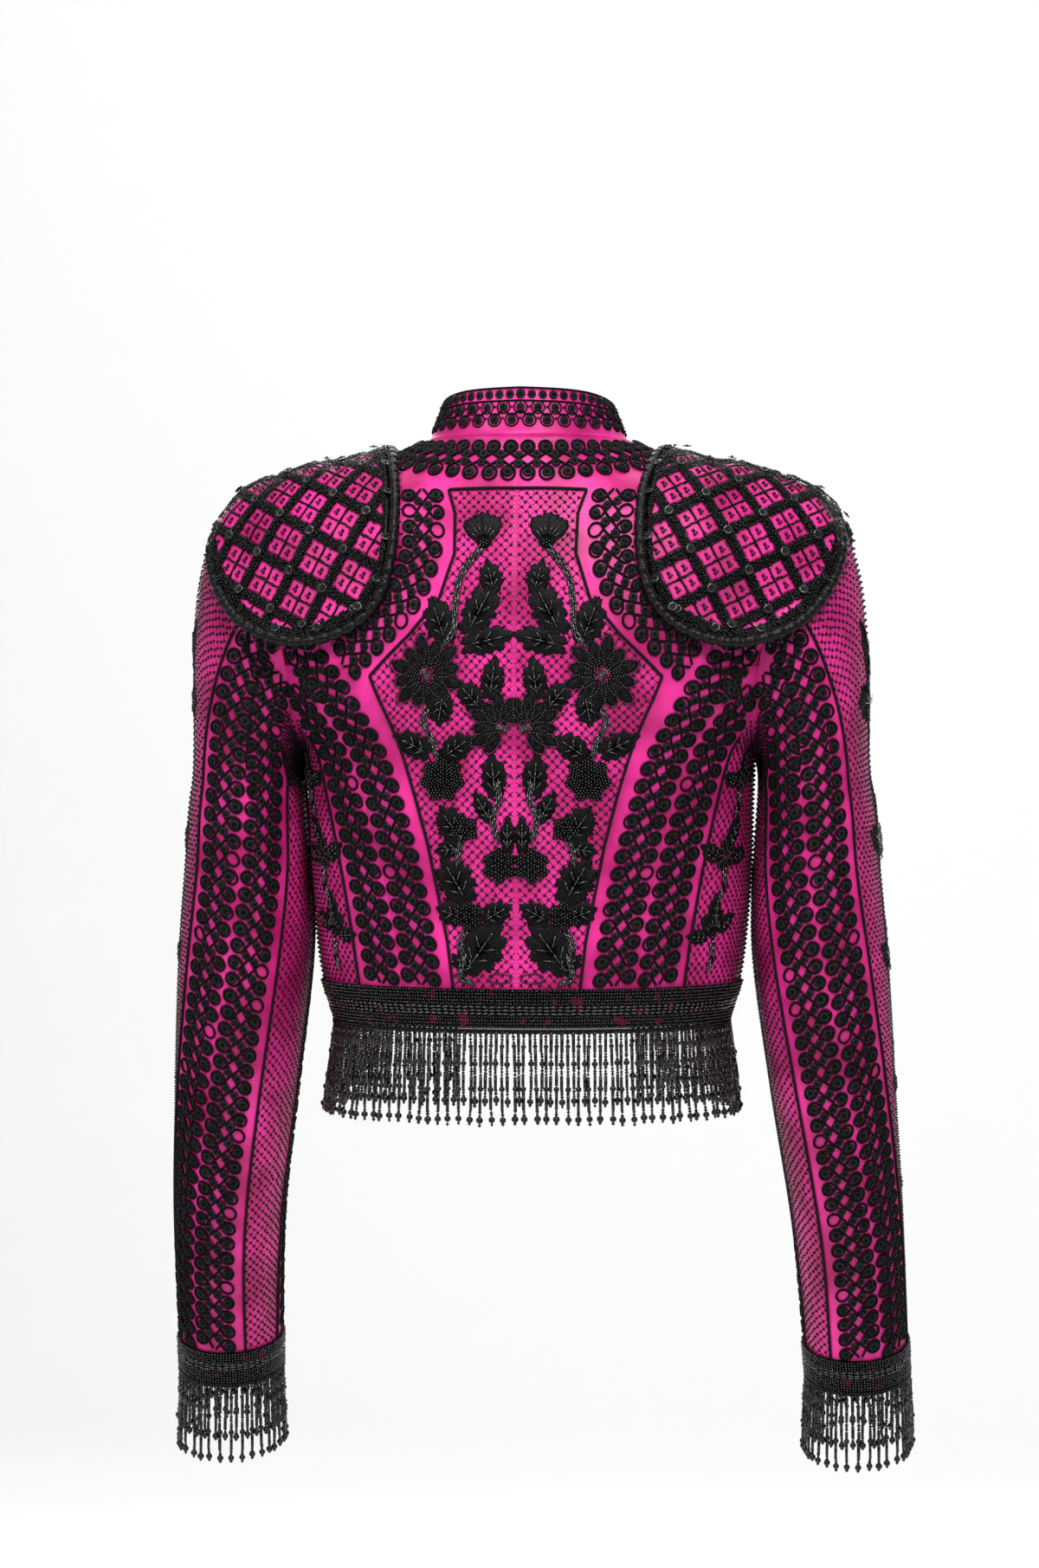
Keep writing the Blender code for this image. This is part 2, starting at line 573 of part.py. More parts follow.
def build_sleeves():
    """The two pieces of each sleeve, from the armhole to the cuff."""
    head = [0.0, 0.07, 0.17, 0.30, 0.47, 0.70]
    arm = np.linspace(0.98, CUFF_START - 0.15, 7)
    rows = np.concatenate([head, arm, [CUFF_START - 0.03, CUFF_START - 0.015, SLEEVE_END]])
    bare = rows > CUFF_START - CUFF_BARE
    cloth_piece("sleeve_upper", sleeve_upper, sleeve_layout(4), rows, 1, bare, UPPER_SPRAYS)
    cloth_piece("sleeve_under", sleeve_under, sleeve_layout(2), rows, -1, bare)


# ---------------------------------------------------------------- collar
COLLAR_WALL = 0.0025
COLLAR_GAP = 0.0007
# From the front neck point (0) through the side neck point (1) to the centre back (2).
Stand = namedtuple("Stand", "place height lean")
COLLAR = [
    Stand(0.0, 0.018, 20), Stand(0.6, 0.022, 22), Stand(1.0, 0.0245, 22), Stand(1.5, 0.0305, 14),
    Stand(2.0, 0.0320, 8),
]


def collar_face(place, up):
    """The collar's outer face: along the neck seam, and up the stand, which leans in."""
    def seam(where):
        before, behind = neckline(np.clip(where, 0, 1), -1), neckline(np.clip(2 - where, 0, 1), 1)
        return np.where(column(where) < 1, before, behind)
    small = 1e-3
    run = seam(np.clip(place + small, 0, 2)) - seam(np.clip(place - small, 0, 2))
    inward = unit(np.stack([-run[..., 1], run[..., 0], np.zeros_like(run[..., 0])], axis=-1))
    height, lean = smooth_table(COLLAR, place)
    height, lean = height * up, np.radians(lean)
    base = seam(place) + np.array([0, 0, COLLAR_GAP])
    return base + inward * column(height * np.sin(lean)) + column(height * np.cos(lean)) * [0, 0, 1]


def build_collar():
    """One strip standing on the neck seam, open at the front."""
    half = np.concatenate([np.linspace(0.0, 1.0, 7), np.linspace(1.0, 2.0, 9)[1:]])
    up = np.array([0, 0.36, 0.42, 1.0])
    lift = np.array([0, 0, 0.0010, 0.0010])
    place, rise = np.meshgrid(half, up)
    points = collar_face(place, rise)
    small = 1e-3
    run = collar_face(np.clip(place + small, 0, 2), rise) - collar_face(np.clip(place - small, 0, 2), rise)
    climb = collar_face(place, rise + small) - collar_face(place, rise - small)
    normals = unit(np.cross(run, climb))
    raised = points + normals * column(np.tile(lift[:, None], (1, len(half))))
    behind = points - normals * COLLAR_WALL
    twin = np.array([-1, 1, 1])
    outer = np.concatenate([raised, raised[:, -2::-1] * twin], axis=1)
    inner = np.concatenate([behind, behind[:, -2::-1] * twin], axis=1)
    add_object("collar", *wall(outer, inner), FUCHSIA)


# ---------------------------------------------------------------- hem and cuff bands, and their fringe
BAND_OFF = 0.0007         # the bands lie just off the cloth
BAND_THICK = 0.0022
BAND_LIFTS = (BAND_OFF + BAND_THICK, BAND_OFF)
HEM_COLUMNS, CUFF_COLUMNS = 61, 26
END_ROOM = 0.004          # from each end of the hem to its first strand
STRIP_GAP = 0.0004        # the fringe's strip hangs just under the band
STRIP_TALL = 0.0030
LONG_STRAND, SHORT_STRAND = 0.0650, 0.0520
CUFF_LONG, CUFF_SHORT = 0.0560, 0.0400
HEM_STRANDS, CUFF_STRANDS = 118, 40
ROOT_HALF = 0.0009        # half a strand's root along the strip
PEARL_RADIUS, PEARL_HALF = 0.0019, 0.0022
HEM_FLARE, CUFF_FLARE = 0.12, 0.03   # how far the fringe swings out at the sides, for each metre down
FLAT_RUN = 3              # strands to one flat face of the strip


def hem_line(where, height, lift):
    """Round the hem from the left front edge (0) by the centre back (1) to the right front edge (2)."""
    where = np.asarray(where, float)
    left = np.where(where <= 1, where, 2 - where)
    behind = left > 0.5
    s = np.where(behind, 2 - 2 * left, 2 * left)
    level = np.full_like(s, height)
    points = np.where(column(behind), body(s, level, 1), body(s, level, -1))
    small = 1e-4
    run_back = body(np.clip(s + small, 0, 1), level, 1) - body(np.clip(s - small, 0, 1), level, 1)
    run_front = body(np.clip(s + small, 0, 1), level, -1) - body(np.clip(s - small, 0, 1), level, -1)
    run = np.where(column(behind), -run_back, run_front)
    out = unit(np.stack([run[..., 1], -run[..., 0], np.zeros_like(s)], axis=-1))
    points = points + out * lift
    twin = np.where(column(where) <= 1, 1, np.array([-1, 1, 1]))
    return points * twin, out * twin


def even_places(line, count, closed):
    """The places of count points evenly spaced along a line given as a function of 0..2."""
    samples = np.linspace(0, 2, 401)
    points = line(samples)[0]
    run = np.concatenate([[0], np.cumsum(np.linalg.norm(np.diff(points, axis=0), axis=1))])
    if closed:
        return np.interp(np.linspace(0, run[-1], count + 1)[:-1], run, samples)
    return np.interp(np.linspace(END_ROOM, run[-1] - END_ROOM, count), run, samples)


def cuff_line(where, along, lift):
    """Round the cuff from its outer side (0) by the back to the outer side again (2)."""
    angle = np.asarray(where, float) * 180
    points = sleeve(angle, along)
    middle = sleeve(np.arange(0, 360, 10.0), along).mean(axis=0)
    small = 0.5
    run = sleeve(angle + small, along) - sleeve(angle - small, along)
    down = points - sleeve(angle, along - 0.01)
    out = unit(np.cross(run, down))
    out = out * np.sign(np.sum(out * (points - middle), axis=-1, keepdims=True))
    return points + out * lift, out


def band_face(line, where, levels, lift):
    """A band's face: the line round the edge at each level, moved out from the cloth."""
    return np.array([line(where, level, lift)[0] for level in levels])


def hem_edge(where):
    """The outside of the hem band's bottom edge."""
    return hem_line(where, HEM_HEIGHT, BAND_OFF + BAND_THICK)


def cuff_edge(where):
    """The outside of the cuff band's bottom edge."""
    return cuff_line(where, SLEEVE_END, BAND_OFF + BAND_THICK)


def build_bands():
    """The beaded bands over the hem and the wrists."""
    where = even_places(hem_edge, HEM_COLUMNS, False)
    where[0], where[-1] = 0.0, 2.0
    faces = [band_face(hem_line, where, (HEM_HEIGHT, BAND_HEIGHT), lift) for lift in BAND_LIFTS]
    add_object("hem_band", *wall(*faces), JET)
    where = even_places(cuff_edge, CUFF_COLUMNS, True)
    faces = [band_face(cuff_line, where, (CUFF_START, SLEEVE_END), lift) for lift in BAND_LIFTS]
    both_sides("cuff_band", *wall(*faces, closed=True), JET)


def fringe(line, down, count, lengths, closed, flare):
    """A strip with strands fused to it: their roots are cut into the strip's bottom face.

    line gives points and outward directions round the edge, down is the strip's own way down.
    Returns points and faces.
    """
    where = even_places(line, count, closed)
    top, out = line(where)
    ahead = unit(line(where + 1e-3)[0] - line(where - 1e-3)[0])
    high, low = STRIP_GAP * down, (STRIP_GAP + STRIP_TALL) * down
    top_out, top_in = top + high, top + high - out * BAND_THICK
    root_a, root_b = top + low - ahead * ROOT_HALF, top + low + ahead * ROOT_HALF
    root_in = top + low - out * BAND_THICK
    length = np.where(np.arange(count) % 2 == 0, lengths[0], lengths[1])
    way = np.array([0, 0, -1.0]) + out * [1, 1, 0] * flare * np.abs(out[:, :1])
    middle = top + low - out * BAND_THICK / 2
    pearl = middle + way * column(length - PEARL_HALF)
    sides = [-0.87 * ahead + 0.5 * out, 0.87 * ahead + 0.5 * out, -out]
    rings = [[root_a, root_b, root_in], [pearl + side * PEARL_RADIUS for side in sides]]
    tip = pearl + way * PEARL_HALF
    points = np.concatenate([top_out, top_in] + [corner for ring in rings for corner in ring] + [tip])
    ids = np.arange(len(points)).reshape(-1, count)
    t_out, t_in, strand, tips = ids[0], ids[1], ids[2:8].reshape(2, 3, count), ids[8]
    a, b, inner = strand[0]
    faces = []
    for k in range(count):
        nxt = (k + 1) % count
        for side in range(3):
            turn = (side + 1) % 3
            faces.append([strand[0, side, k], strand[0, turn, k], strand[1, turn, k], strand[1, side, k]])
            faces.append([strand[1, side, k], strand[1, turn, k], tips[k]])
        if closed or k < count - 1:
            faces.append([b[k], a[nxt], inner[nxt], inner[k]])
    stops = list(range(0, count - 1, FLAT_RUN)) + ([0] if closed else [count - 1])
    for first, last in zip(stops[:-1], stops[1:]):
        run = [k % count for k in range(first, (last if last > first else count) + 1)]
        ends = not closed and last == count - 1
        bottom = [corner for k in run[:-1] for corner in (a[k], b[k])] + [a[run[-1]]]
        bottom += [b[run[-1]]] if ends else []
        faces.append([t_out[first], *bottom, t_out[last]])
        faces.append([t_in[first], *[inner[k] for k in run], t_in[last]])
        faces.append([t_out[first], t_out[last], t_in[last], t_in[first]])
    if not closed:
        faces.append([t_out[0], t_in[0], inner[0], a[0]])
        faces.append([t_out[-1], t_in[-1], inner[-1], b[-1]])
    return points, faces


def build_fringes():
    """Strung beads under the hem band and the cuff bands."""
    lengths = (LONG_STRAND, SHORT_STRAND)
    hem = fringe(hem_edge, np.array([0, 0, -1.0]), HEM_STRANDS, lengths, False, HEM_FLARE)
    add_object("hem_fringe", *hem, JET)
    tilt = math.radians(RINGS[-1].tilt)
    down = np.array([0, -math.sin(tilt), -math.cos(tilt)])
    lengths = (CUFF_LONG, CUFF_SHORT)
    cuff = fringe(cuff_edge, down, CUFF_STRANDS, lengths, True, CUFF_FLARE)
    both_sides("cuff_fringe", *cuff, JET)


# ---------------------------------------------------------------- epaulets
EPAULET_EYE = np.array([0.140, 0.0, -0.190])       # a point inside the shoulder that sees the whole epaulet
EPAULET_GAP = 0.0019
EPAULET_EDGE, EPAULET_CROWN = 0.0050, 0.0035       # thickness at the edge, and how much more in the middle
EPAULET_TURNS = 36
EPAULET_RINGS = np.array([0.0, 0.25, 0.47, 0.66, 0.82, 0.90, 1.0])   # from its middle to its edge
FINER = 5                  # casts for each step of the pad's grid
CAST_FROM, CAST_TO = 0.5, 0.05     # casts come in towards the eye between these distances from it
SEAM_NUDGES = (0.0, 0.01, -0.01, 0.02)
SMOOTHING, LIFTING = 8, 12 # passes that draw the pad taut, then passes that only lift it clear
# The outline, seen as points near the cloth, from the middle of the outer side round the back.
Outline = namedtuple("Outline", "x y z")
EPAULET = [
    Outline(0.219, 0.000, -0.038), Outline(0.216, 0.021, -0.063), Outline(0.210, 0.038, -0.089),
    Outline(0.198, 0.052, -0.114), Outline(0.178, 0.064, -0.135), Outline(0.151, 0.076, -0.144),
    Outline(0.123, 0.086, -0.135), Outline(0.101, 0.093, -0.115), Outline(0.091, 0.091, -0.086),
    Outline(0.091, 0.077, -0.058), Outline(0.095, 0.055, -0.036), Outline(0.098, 0.029, -0.019),
    Outline(0.100, 0.000, -0.006), Outline(0.098, -0.034, -0.019), Outline(0.095, -0.064, -0.034),
    Outline(0.091, -0.090, -0.056), Outline(0.091, -0.106, -0.084), Outline(0.101, -0.108, -0.113),
    Outline(0.123, -0.100, -0.133), Outline(0.151, -0.088, -0.142), Outline(0.178, -0.074, -0.133),
    Outline(0.198, -0.061, -0.112), Outline(0.210, -0.044, -0.087), Outline(0.216, -0.024, -0.063),
]
CORD_RADIUS, CORD_WAIST = 0.0035, 0.0026
CORD_OUT = 0.0039          # how far the cord's middle lies beyond the epaulet's edge
CORD_CLEAR = 0.0007        # the cord's room over the cloth
CORD_PASSES, CORD_RISE = 12, 1.3   # passes that smooth the cord and lift it, and how much of each shortfall
BARRELS = 72


def outline_curve(turn):
    """The direction from the eye to the outline at a turn of 0..1."""
    ways = unit(np.array([tuple(point) for point in EPAULET]) - EPAULET_EYE)
    count = len(ways)
    place = (np.asarray(turn) % 1.0) * count
    k = place.astype(int) % count
    slope = (np.roll(ways, -1, axis=0) - np.roll(ways, 1, axis=0)) / 2
    after = (k + 1) % count
    return unit(hermite(ways[k], ways[after], slope[k], slope[after], place - np.floor(place)))


def outline_way(turn, wider=0.0):
    """The direction to the outline, pushed squarely out by `wider`, and the direction to its middle."""
    small = 1e-4
    way = outline_curve(turn)
    run = outline_curve(np.asarray(turn) + small) - outline_curve(np.asarray(turn) - small)
    middle = unit(outline_curve(np.arange(0, 1, 0.05)).mean(axis=0))
    away = unit(np.cross(way, run))
    away = away * np.sign(np.sum(away * (way - middle), axis=-1, keepdims=True))
    return unit(way + away * wider), middle


def cloth_tree():
    """A tree of the left pieces' outer faces, to seat the epaulet on."""
    points, faces, first = [], [], 0
    for grid in OUTER_FACES:
        rows, columns = grid.shape[:2]
        ids = np.arange(rows * columns).reshape(rows, columns) + first
        faces += grid_quads(ids).tolist()
        points += grid.reshape(-1, 3).tolist()
        first += rows * columns
    return BVHTree.FromPolygons(points, faces)


def reach(tree, way):
    """How far out from the eye the cloth's outermost face lies; a ray that slips down a seam is nudged."""
    for nudge in SEAM_NUDGES:
        toward = Vector(way + [nudge, nudge, 0]).normalized()
        hit = tree.ray_cast(Vector(EPAULET_EYE) + toward * CAST_FROM, -toward, CAST_FROM - CAST_TO)
        if hit[0] is not None:
            return CAST_FROM - hit[3]
    return CAST_TO


def filled(grid):
    """A coarse grid, closed round its columns, filled in with straight lines from point to point."""
    grid = np.concatenate([grid, grid[:, :1]], axis=1)
    share = column(np.arange(FINER) / FINER)
    across = lerp(grid[:, :-1, None], grid[:, 1:, None], share).reshape(len(grid), -1, 3)
    rows = lerp(across[:-1, None], across[1:, None], share[:, None])
    return np.concatenate([rows.reshape(-1, across.shape[1], 3), across[-1:]])


def taut(ways, far):
    """Where each ray meets the plane of its four neighbours: what stretched cloth would settle to."""
    points = ways * column(far)
    left, right = np.roll(points, 1, axis=1)[1:-1], np.roll(points, -1, axis=1)[1:-1]
    near, beyond = points[:-2], points[2:]
    middle = (left + right + near + beyond) / 4
    normal = np.cross(right - left, beyond - near)
    settled = far.copy()
    settled[1:-1] = np.sum(middle * normal, axis=-1) / np.sum(ways[1:-1] * normal, axis=-1)
    settled[0] = np.sum(points[1], axis=0) @ ways[0, 0] / points.shape[1]
    settled[-1] = (np.roll(far[-1], 1) + np.roll(far[-1], -1)) / 2
    return settled


def shortfall(cloth, ways, far):
    """How much each coarse point must rise for the flat facets round it to clear the cloth."""
    short = np.clip(cloth - np.linalg.norm(filled(ways * column(far)), axis=-1), 0, None)
    padded = np.pad(short, ((FINER, FINER), (0, 0)))
    rise = np.zeros_like(far)
    for down in range(1 - FINER, FINER):
        for across in range(1 - FINER, FINER):
            tent = [1 - abs(down) / FINER, 1 - abs(across) / FINER]
            spread_over = [weight**2 + (1 - weight) ** 2 for weight in tent]
            share = tent[0] * tent[1] / (spread_over[0] * spread_over[1])
            at = padded[FINER + down : FINER + down + len(short) : FINER]
            rise = np.maximum(rise, share * np.roll(at, -across, axis=1)[:, ::FINER])
    return rise


def epaulet_reach(tree, turns, rings):
    """The distance from the eye, on a polar grid (rings, turns), of a taut pad that clears the cloth."""
    fine_turns = (turns[:, None] + (turns[1] - turns[0]) * np.arange(FINER) / FINER).ravel()
    fine_rings = np.interp(np.arange((len(rings) - 1) * FINER + 1) / FINER, np.arange(len(rings)), rings)
    edge, middle = outline_way(fine_turns)
    fine_ways = unit(lerp(middle, edge[None], fine_rings[:, None, None]))
    cloth = np.array([[reach(tree, way) for way in row] for row in fine_ways])
    cloth[0] = cloth[0].mean()
    ways, far = fine_ways[::FINER, ::FINER], cloth[::FINER, ::FINER]
    for step in range(SMOOTHING + LIFTING):
        if step < SMOOTHING:
            far = lerp(far, taut(ways, far), 0.5)
        far = far + shortfall(cloth, ways, far)
        far[0] = far[0].max()
    return ways, far


def build_epaulets():
    """The padded oval and the barrel cord round it."""
    tree = cloth_tree()
    turns = np.arange(EPAULET_TURNS) / EPAULET_TURNS
    ways, far = epaulet_reach(tree, turns, EPAULET_RINGS)
    thick = EPAULET_EDGE + EPAULET_CROWN * np.sqrt(1 - EPAULET_RINGS**2)
    inner = EPAULET_EYE + ways * column(far + EPAULET_GAP)
    outer = EPAULET_EYE + ways * column(far + EPAULET_GAP + thick[:, None])
    both_sides("epaulet", *wall(outer, inner, closed=True, pole=True), FUCHSIA)

    cord_turns = np.arange(2 * BARRELS) / (2 * BARRELS)
    edge = np.interp(cord_turns, turns, far[-1], period=1.0) + EPAULET_GAP + EPAULET_EDGE / 2
    way = outline_way(cord_turns, column(CORD_OUT / edge))[0]
    size = edge.copy()
    for step in range(CORD_PASSES):
        middles = EPAULET_EYE + way * column(size)
        near = np.array([tree.find_nearest(Vector(point))[3] for point in middles])
        size = (np.roll(size, 1) + 2 * size + np.roll(size, -1)) / 4
        size += np.clip(CORD_RADIUS + CORD_CLEAR - near, 0, None) * CORD_RISE
    path = EPAULET_EYE + way * column(size)
    run = unit(np.roll(path, -1, axis=0) - np.roll(path, 1, axis=0))
    up = unit(way - run * np.sum(way * run, axis=-1, keepdims=True))
    beside = np.cross(run, up)
    radius = np.where(np.arange(2 * BARRELS) % 2 == 0, CORD_RADIUS, CORD_WAIST)
    angles = (np.arange(4) + 0.5) / 4 * 2 * math.pi
    way_out = np.cos(angles)[:, None, None] * beside + np.sin(angles)[:, None, None] * up
    ring = path[None] + column(radius) * way_out
    ids = np.arange(ring.shape[0] * ring.shape[1]).reshape(ring.shape[:2])
    ids = np.concatenate([ids, ids[:1]])
    ids = np.concatenate([ids, ids[:, :1]], axis=1)
    both_sides("epaulet_cord", ring.reshape(-1, 3), grid_quads(ids), CORDING)


build_body()
build_sleeves()
build_collar()
build_bands()
build_fringes()
build_epaulets()
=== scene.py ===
"""A fuchsia satin matador jacket, worn and hollow, with black guipure braid, netting and jet beads.

Metres, +Z up. The wearer faces -Y, so +X is the wearer's left. The left pieces are worked out, and the
right ones are their twins, mirrored in X.
"""
from collections import namedtuple
import math

import bpy
import numpy as np
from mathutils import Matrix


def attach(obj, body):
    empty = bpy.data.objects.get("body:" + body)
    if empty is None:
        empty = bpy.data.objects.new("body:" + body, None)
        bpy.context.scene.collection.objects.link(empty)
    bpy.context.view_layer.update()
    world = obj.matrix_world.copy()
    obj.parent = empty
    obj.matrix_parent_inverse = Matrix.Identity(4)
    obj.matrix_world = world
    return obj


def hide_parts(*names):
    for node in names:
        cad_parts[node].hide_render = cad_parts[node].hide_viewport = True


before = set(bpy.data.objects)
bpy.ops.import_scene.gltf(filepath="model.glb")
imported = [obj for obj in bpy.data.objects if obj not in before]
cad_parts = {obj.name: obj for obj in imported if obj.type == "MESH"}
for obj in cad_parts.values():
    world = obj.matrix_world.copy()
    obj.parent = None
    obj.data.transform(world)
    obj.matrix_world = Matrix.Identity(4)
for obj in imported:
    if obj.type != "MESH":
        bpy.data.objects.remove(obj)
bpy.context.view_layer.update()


# ================================================================ the satin panels
# Duchesse satin with an interlining, cut as a centre back, two side backs, two fronts and two-piece
# sleeves, and seamed to the shape of the wearer. Each panel is worked out as a function of its share
# across and its row up, so that what is sewn on it can be laid on the same surface.
TWIN = np.array([-1.0, 1.0, 1.0])


def lerp(a, b, share):
    """The share of the way from a to b."""
    return a + (b - a) * share


def column(values):
    """A list of numbers as a column, to multiply rows of points."""
    return np.asarray(values, float)[..., None]


def unit(vectors):
    """The vectors at length one."""
    return vectors / np.maximum(np.linalg.norm(vectors, axis=-1, keepdims=True), 1e-12)


def bezier(points, s):
    """Cubic curves: points (..., 4, 3) at the parameters s (N) give (..., N, 3)."""
    weights = np.stack([(1 - s) ** 3, 3 * s * (1 - s) ** 2, 3 * s**2 * (1 - s), s**3], axis=-1)
    return np.einsum("nk,...kc->...nc", weights, np.asarray(points, float))


def hermite(start, end, slope_start, slope_end, w):
    """The cubic from start to end with the given slopes, at the share w of the way."""
    w = column(w)
    return (
        (2 * w**3 - 3 * w**2 + 1) * start
        + (w**3 - 2 * w**2 + w) * slope_start
        + (3 * w**2 - 2 * w**3) * end
        + (w**3 - w**2) * slope_end
    )


def slopes(knots, rows):
    """The slope at each row, from its neighbours on both sides."""
    gaps = np.diff(knots)[:, None, None]
    inner = (rows[2:] - rows[:-2]) / (gaps[1:] + gaps[:-1])
    return np.concatenate([(rows[1:2] - rows[:1]) / gaps[:1], inner, (rows[-1:] - rows[-2:-1]) / gaps[-1:]])


def through_rows(knots, rows, below, above, height):
    """A smooth surface through rows (R, N, 3): slope `above` leaves a row upwards, `below` reaches it."""
    height = np.clip(height, knots[0], knots[-1])
    k = np.clip(np.searchsorted(knots, height, side="right") - 1, 0, len(knots) - 2)
    n = np.arange(height.size)
    step = column(knots[k + 1] - knots[k])
    share = (height - knots[k]) / step[:, 0]
    return hermite(rows[k, n], rows[k + 1, n], above[k, n] * step, below[k + 1, n] * step, share)


def smooth_table(table, at):
    """The later columns of a table at values of its first, each along a smooth curve through its rows."""
    table = np.array([tuple(row) for row in table], float)
    at = np.asarray(at, float)
    rows = np.repeat(table[:, None, 1:], at.size, axis=1)
    slope = slopes(table[:, 0], rows)
    found = through_rows(table[:, 0], rows, slope, slope, at.ravel())
    return np.moveaxis(found.reshape(*at.shape, -1), -1, 0)


SIDE_NECK = np.array([0.068, 0.0, 0.0])
SHOULDER = np.array([0.192, -0.0005, -0.043])      # outer end of the shoulder seam
UNDERARM = np.array([0.156, -0.005, -0.215])
ARMHOLE_BACK, ARMHOLE_FRONT = 0.064, 0.068         # how far the armhole swings back and forward
ARMHOLE_IN_BACK, ARMHOLE_IN_FRONT = 0.006, 0.014   # how far it cuts in between
BACK_NECK = np.array([0.0, 0.062, 0.003])
FRONT_NECK = np.array([0.040, -0.072, -0.050])
NECK_SHARE = 0.40         # share of the top row that is neckline, the rest being shoulder seam
SHOULDER_HOLLOW = 0.0055
HEM, BAND_TOP, TOP = 0.0, 0.027, 0.420             # heights up the centre back, from the hem
UNDERARM_ROW = 5

# Each row runs round the body at one height. The side is a point below the underarm and a turn of the
# armhole above it. `lead` and `round` are the curve's handles, `swing` and `fall` its heading at the side.
Row = namedtuple("Row", "height start side turn lead rise round swing fall")
BACK_ROWS = [
    Row(0.000, (0, 0.0900, -0.402), (0.1360, -0.020, -0.402), None, 0.088, 0.0, 0.058, 0, 0.0),
    Row(0.027, (0, 0.0900, -0.375), (0.1445, -0.019, -0.375), None, 0.092, 0.0, 0.060, 0, 0.0),
    Row(0.052, (0, 0.0905, -0.350), (0.1485, -0.018, -0.350), None, 0.094, 0.0, 0.062, 0, 0.0),
    Row(0.102, (0, 0.0940, -0.300), (0.1530, -0.015, -0.300), None, 0.094, 0.0, 0.064, 0, 0.0),
    Row(0.152, (0, 0.1000, -0.250), (0.1545, -0.008, -0.250), None, 0.092, 0.0, 0.064, 0, 0.0),
    Row(0.187, (0, 0.1035, -0.215), UNDERARM, None, 0.090, 0.0, 0.064, 0, 0.0),
    Row(0.232, (0, 0.1060, -0.170), None, 0.72, 0.088, 0.0, 0.042, 28, 0.0),
    Row(0.282, (0, 0.1040, -0.120), None, 0.48, 0.082, 0.0, 0.040, 55, 0.0),
    Row(0.332, (0, 0.0950, -0.070), None, 0.28, 0.075, 0.02, 0.045, 66, -0.10),
    Row(0.376, (0, 0.0790, -0.028), None, 0.12, 0.070, 0.03, 0.050, 72, -0.22),
]
FRONT_ROWS = [
    Row(0.000, (0.060, -0.110, -0.402), (0.1360, -0.020, -0.402), None, 0.040, 0.0, 0.052, 0, 0.0),
    Row(0.027, (0.059, -0.114, -0.375), (0.1445, -0.019, -0.375), None, 0.044, 0.0, 0.056, 0, 0.0),
    Row(0.052, (0.058, -0.118, -0.350), (0.1485, -0.018, -0.350), None, 0.046, 0.0, 0.060, 0, 0.0),
    Row(0.102, (0.055, -0.126, -0.300), (0.1530, -0.015, -0.300), None, 0.050, 0.0, 0.068, 0, 0.0),
    Row(0.152, (0.051, -0.133, -0.250), (0.1545, -0.008, -0.250), None, 0.054, 0.0, 0.074, 0, 0.0),
    Row(0.187, (0.048, -0.135, -0.215), UNDERARM, None, 0.056, 0.0, 0.078, 0, 0.0),
    Row(0.232, (0.045, -0.131, -0.172), None, 0.72, 0.054, 0.0, 0.046, 24, 0.0),
    Row(0.282, (0.043, -0.116, -0.128), None, 0.48, 0.050, 0.0, 0.036, 50, 0.0),
    Row(0.332, (0.041, -0.096, -0.090), None, 0.28, 0.046, 0.10, 0.038, 62, 0.0),
    Row(0.376, (0.040, -0.083, -0.067), None, 0.12, 0.042, 0.30, 0.046, 70, -0.15),
]
KNOTS = np.array([row.height for row in BACK_ROWS] + [TOP])


def armhole_point(turn, side):
    """The armhole at a turn from the shoulder (0) to the underarm (1), behind (side 1) or in front (-1).

    It is half an ellipse from the shoulder to the underarm, cut in by a squared sine.
    """
    angle = turn * math.pi
    swing, cut_in = (ARMHOLE_BACK, ARMHOLE_IN_BACK) if side > 0 else (ARMHOLE_FRONT, ARMHOLE_IN_FRONT)
    middle, half = (SHOULDER + UNDERARM) / 2, (SHOULDER - UNDERARM) / 2
    across = np.array([-cut_in * math.sin(angle) ** 2, side * swing * math.sin(angle), 0.0])
    return middle + half * math.cos(angle) + across


def row_controls(row, side):
    """The four control points of one row of the back (side 1) or front (side -1)."""
    start = np.array(row.start, float)
    end = np.array(row.side, float) if row.turn is None else armhole_point(row.turn, side)
    swing = math.radians(row.swing)
    heading = unit(np.array([math.sin(swing), -side * math.cos(swing), row.fall]))
    return [start, start + row.lead * np.array([1, 0, row.rise]), end - row.round * heading, end]


BACK_CONTROLS = np.array([row_controls(row, 1) for row in BACK_ROWS])
FRONT_CONTROLS = np.array([row_controls(row, -1) for row in FRONT_ROWS])


def neckline(share, side):
    """The neck seam from the centre back (or the front neck point) to the side neck point.

    Behind it is a quarter of an ellipse, and in front a cubic curve.
    """
    if side > 0:
        angle = share * math.pi / 2
        across, back = SIDE_NECK[0] * np.sin(angle), BACK_NECK[1:, None] * np.cos(angle.ravel())
        return np.stack([across, *back.reshape(2, *angle.shape)], axis=-1)
    leaving, reaching = np.array([0.018, 0.008, 0.011]), np.array([0, 0.030, 0.007])
    curve = bezier([FRONT_NECK, FRONT_NECK + leaving, SIDE_NECK - reaching, SIDE_NECK], np.ravel(share))
    return curve.reshape(*np.shape(share), 3)


def top_row(s, side):
    """The neck seam up to NECK_SHARE, then the shoulder seam, with its slight hollow."""
    along = np.clip((s - NECK_SHARE) / (1 - NECK_SHARE), 0, 1)
    hollow = SHOULDER_HOLLOW * np.sin(np.pi * column(along)) * [0, 0, 1]
    seam = lerp(SIDE_NECK, SHOULDER, column(along)) - hollow
    return np.where(column(s) < NECK_SHARE, neckline(np.clip(s / NECK_SHARE, 0, 1), side), seam)


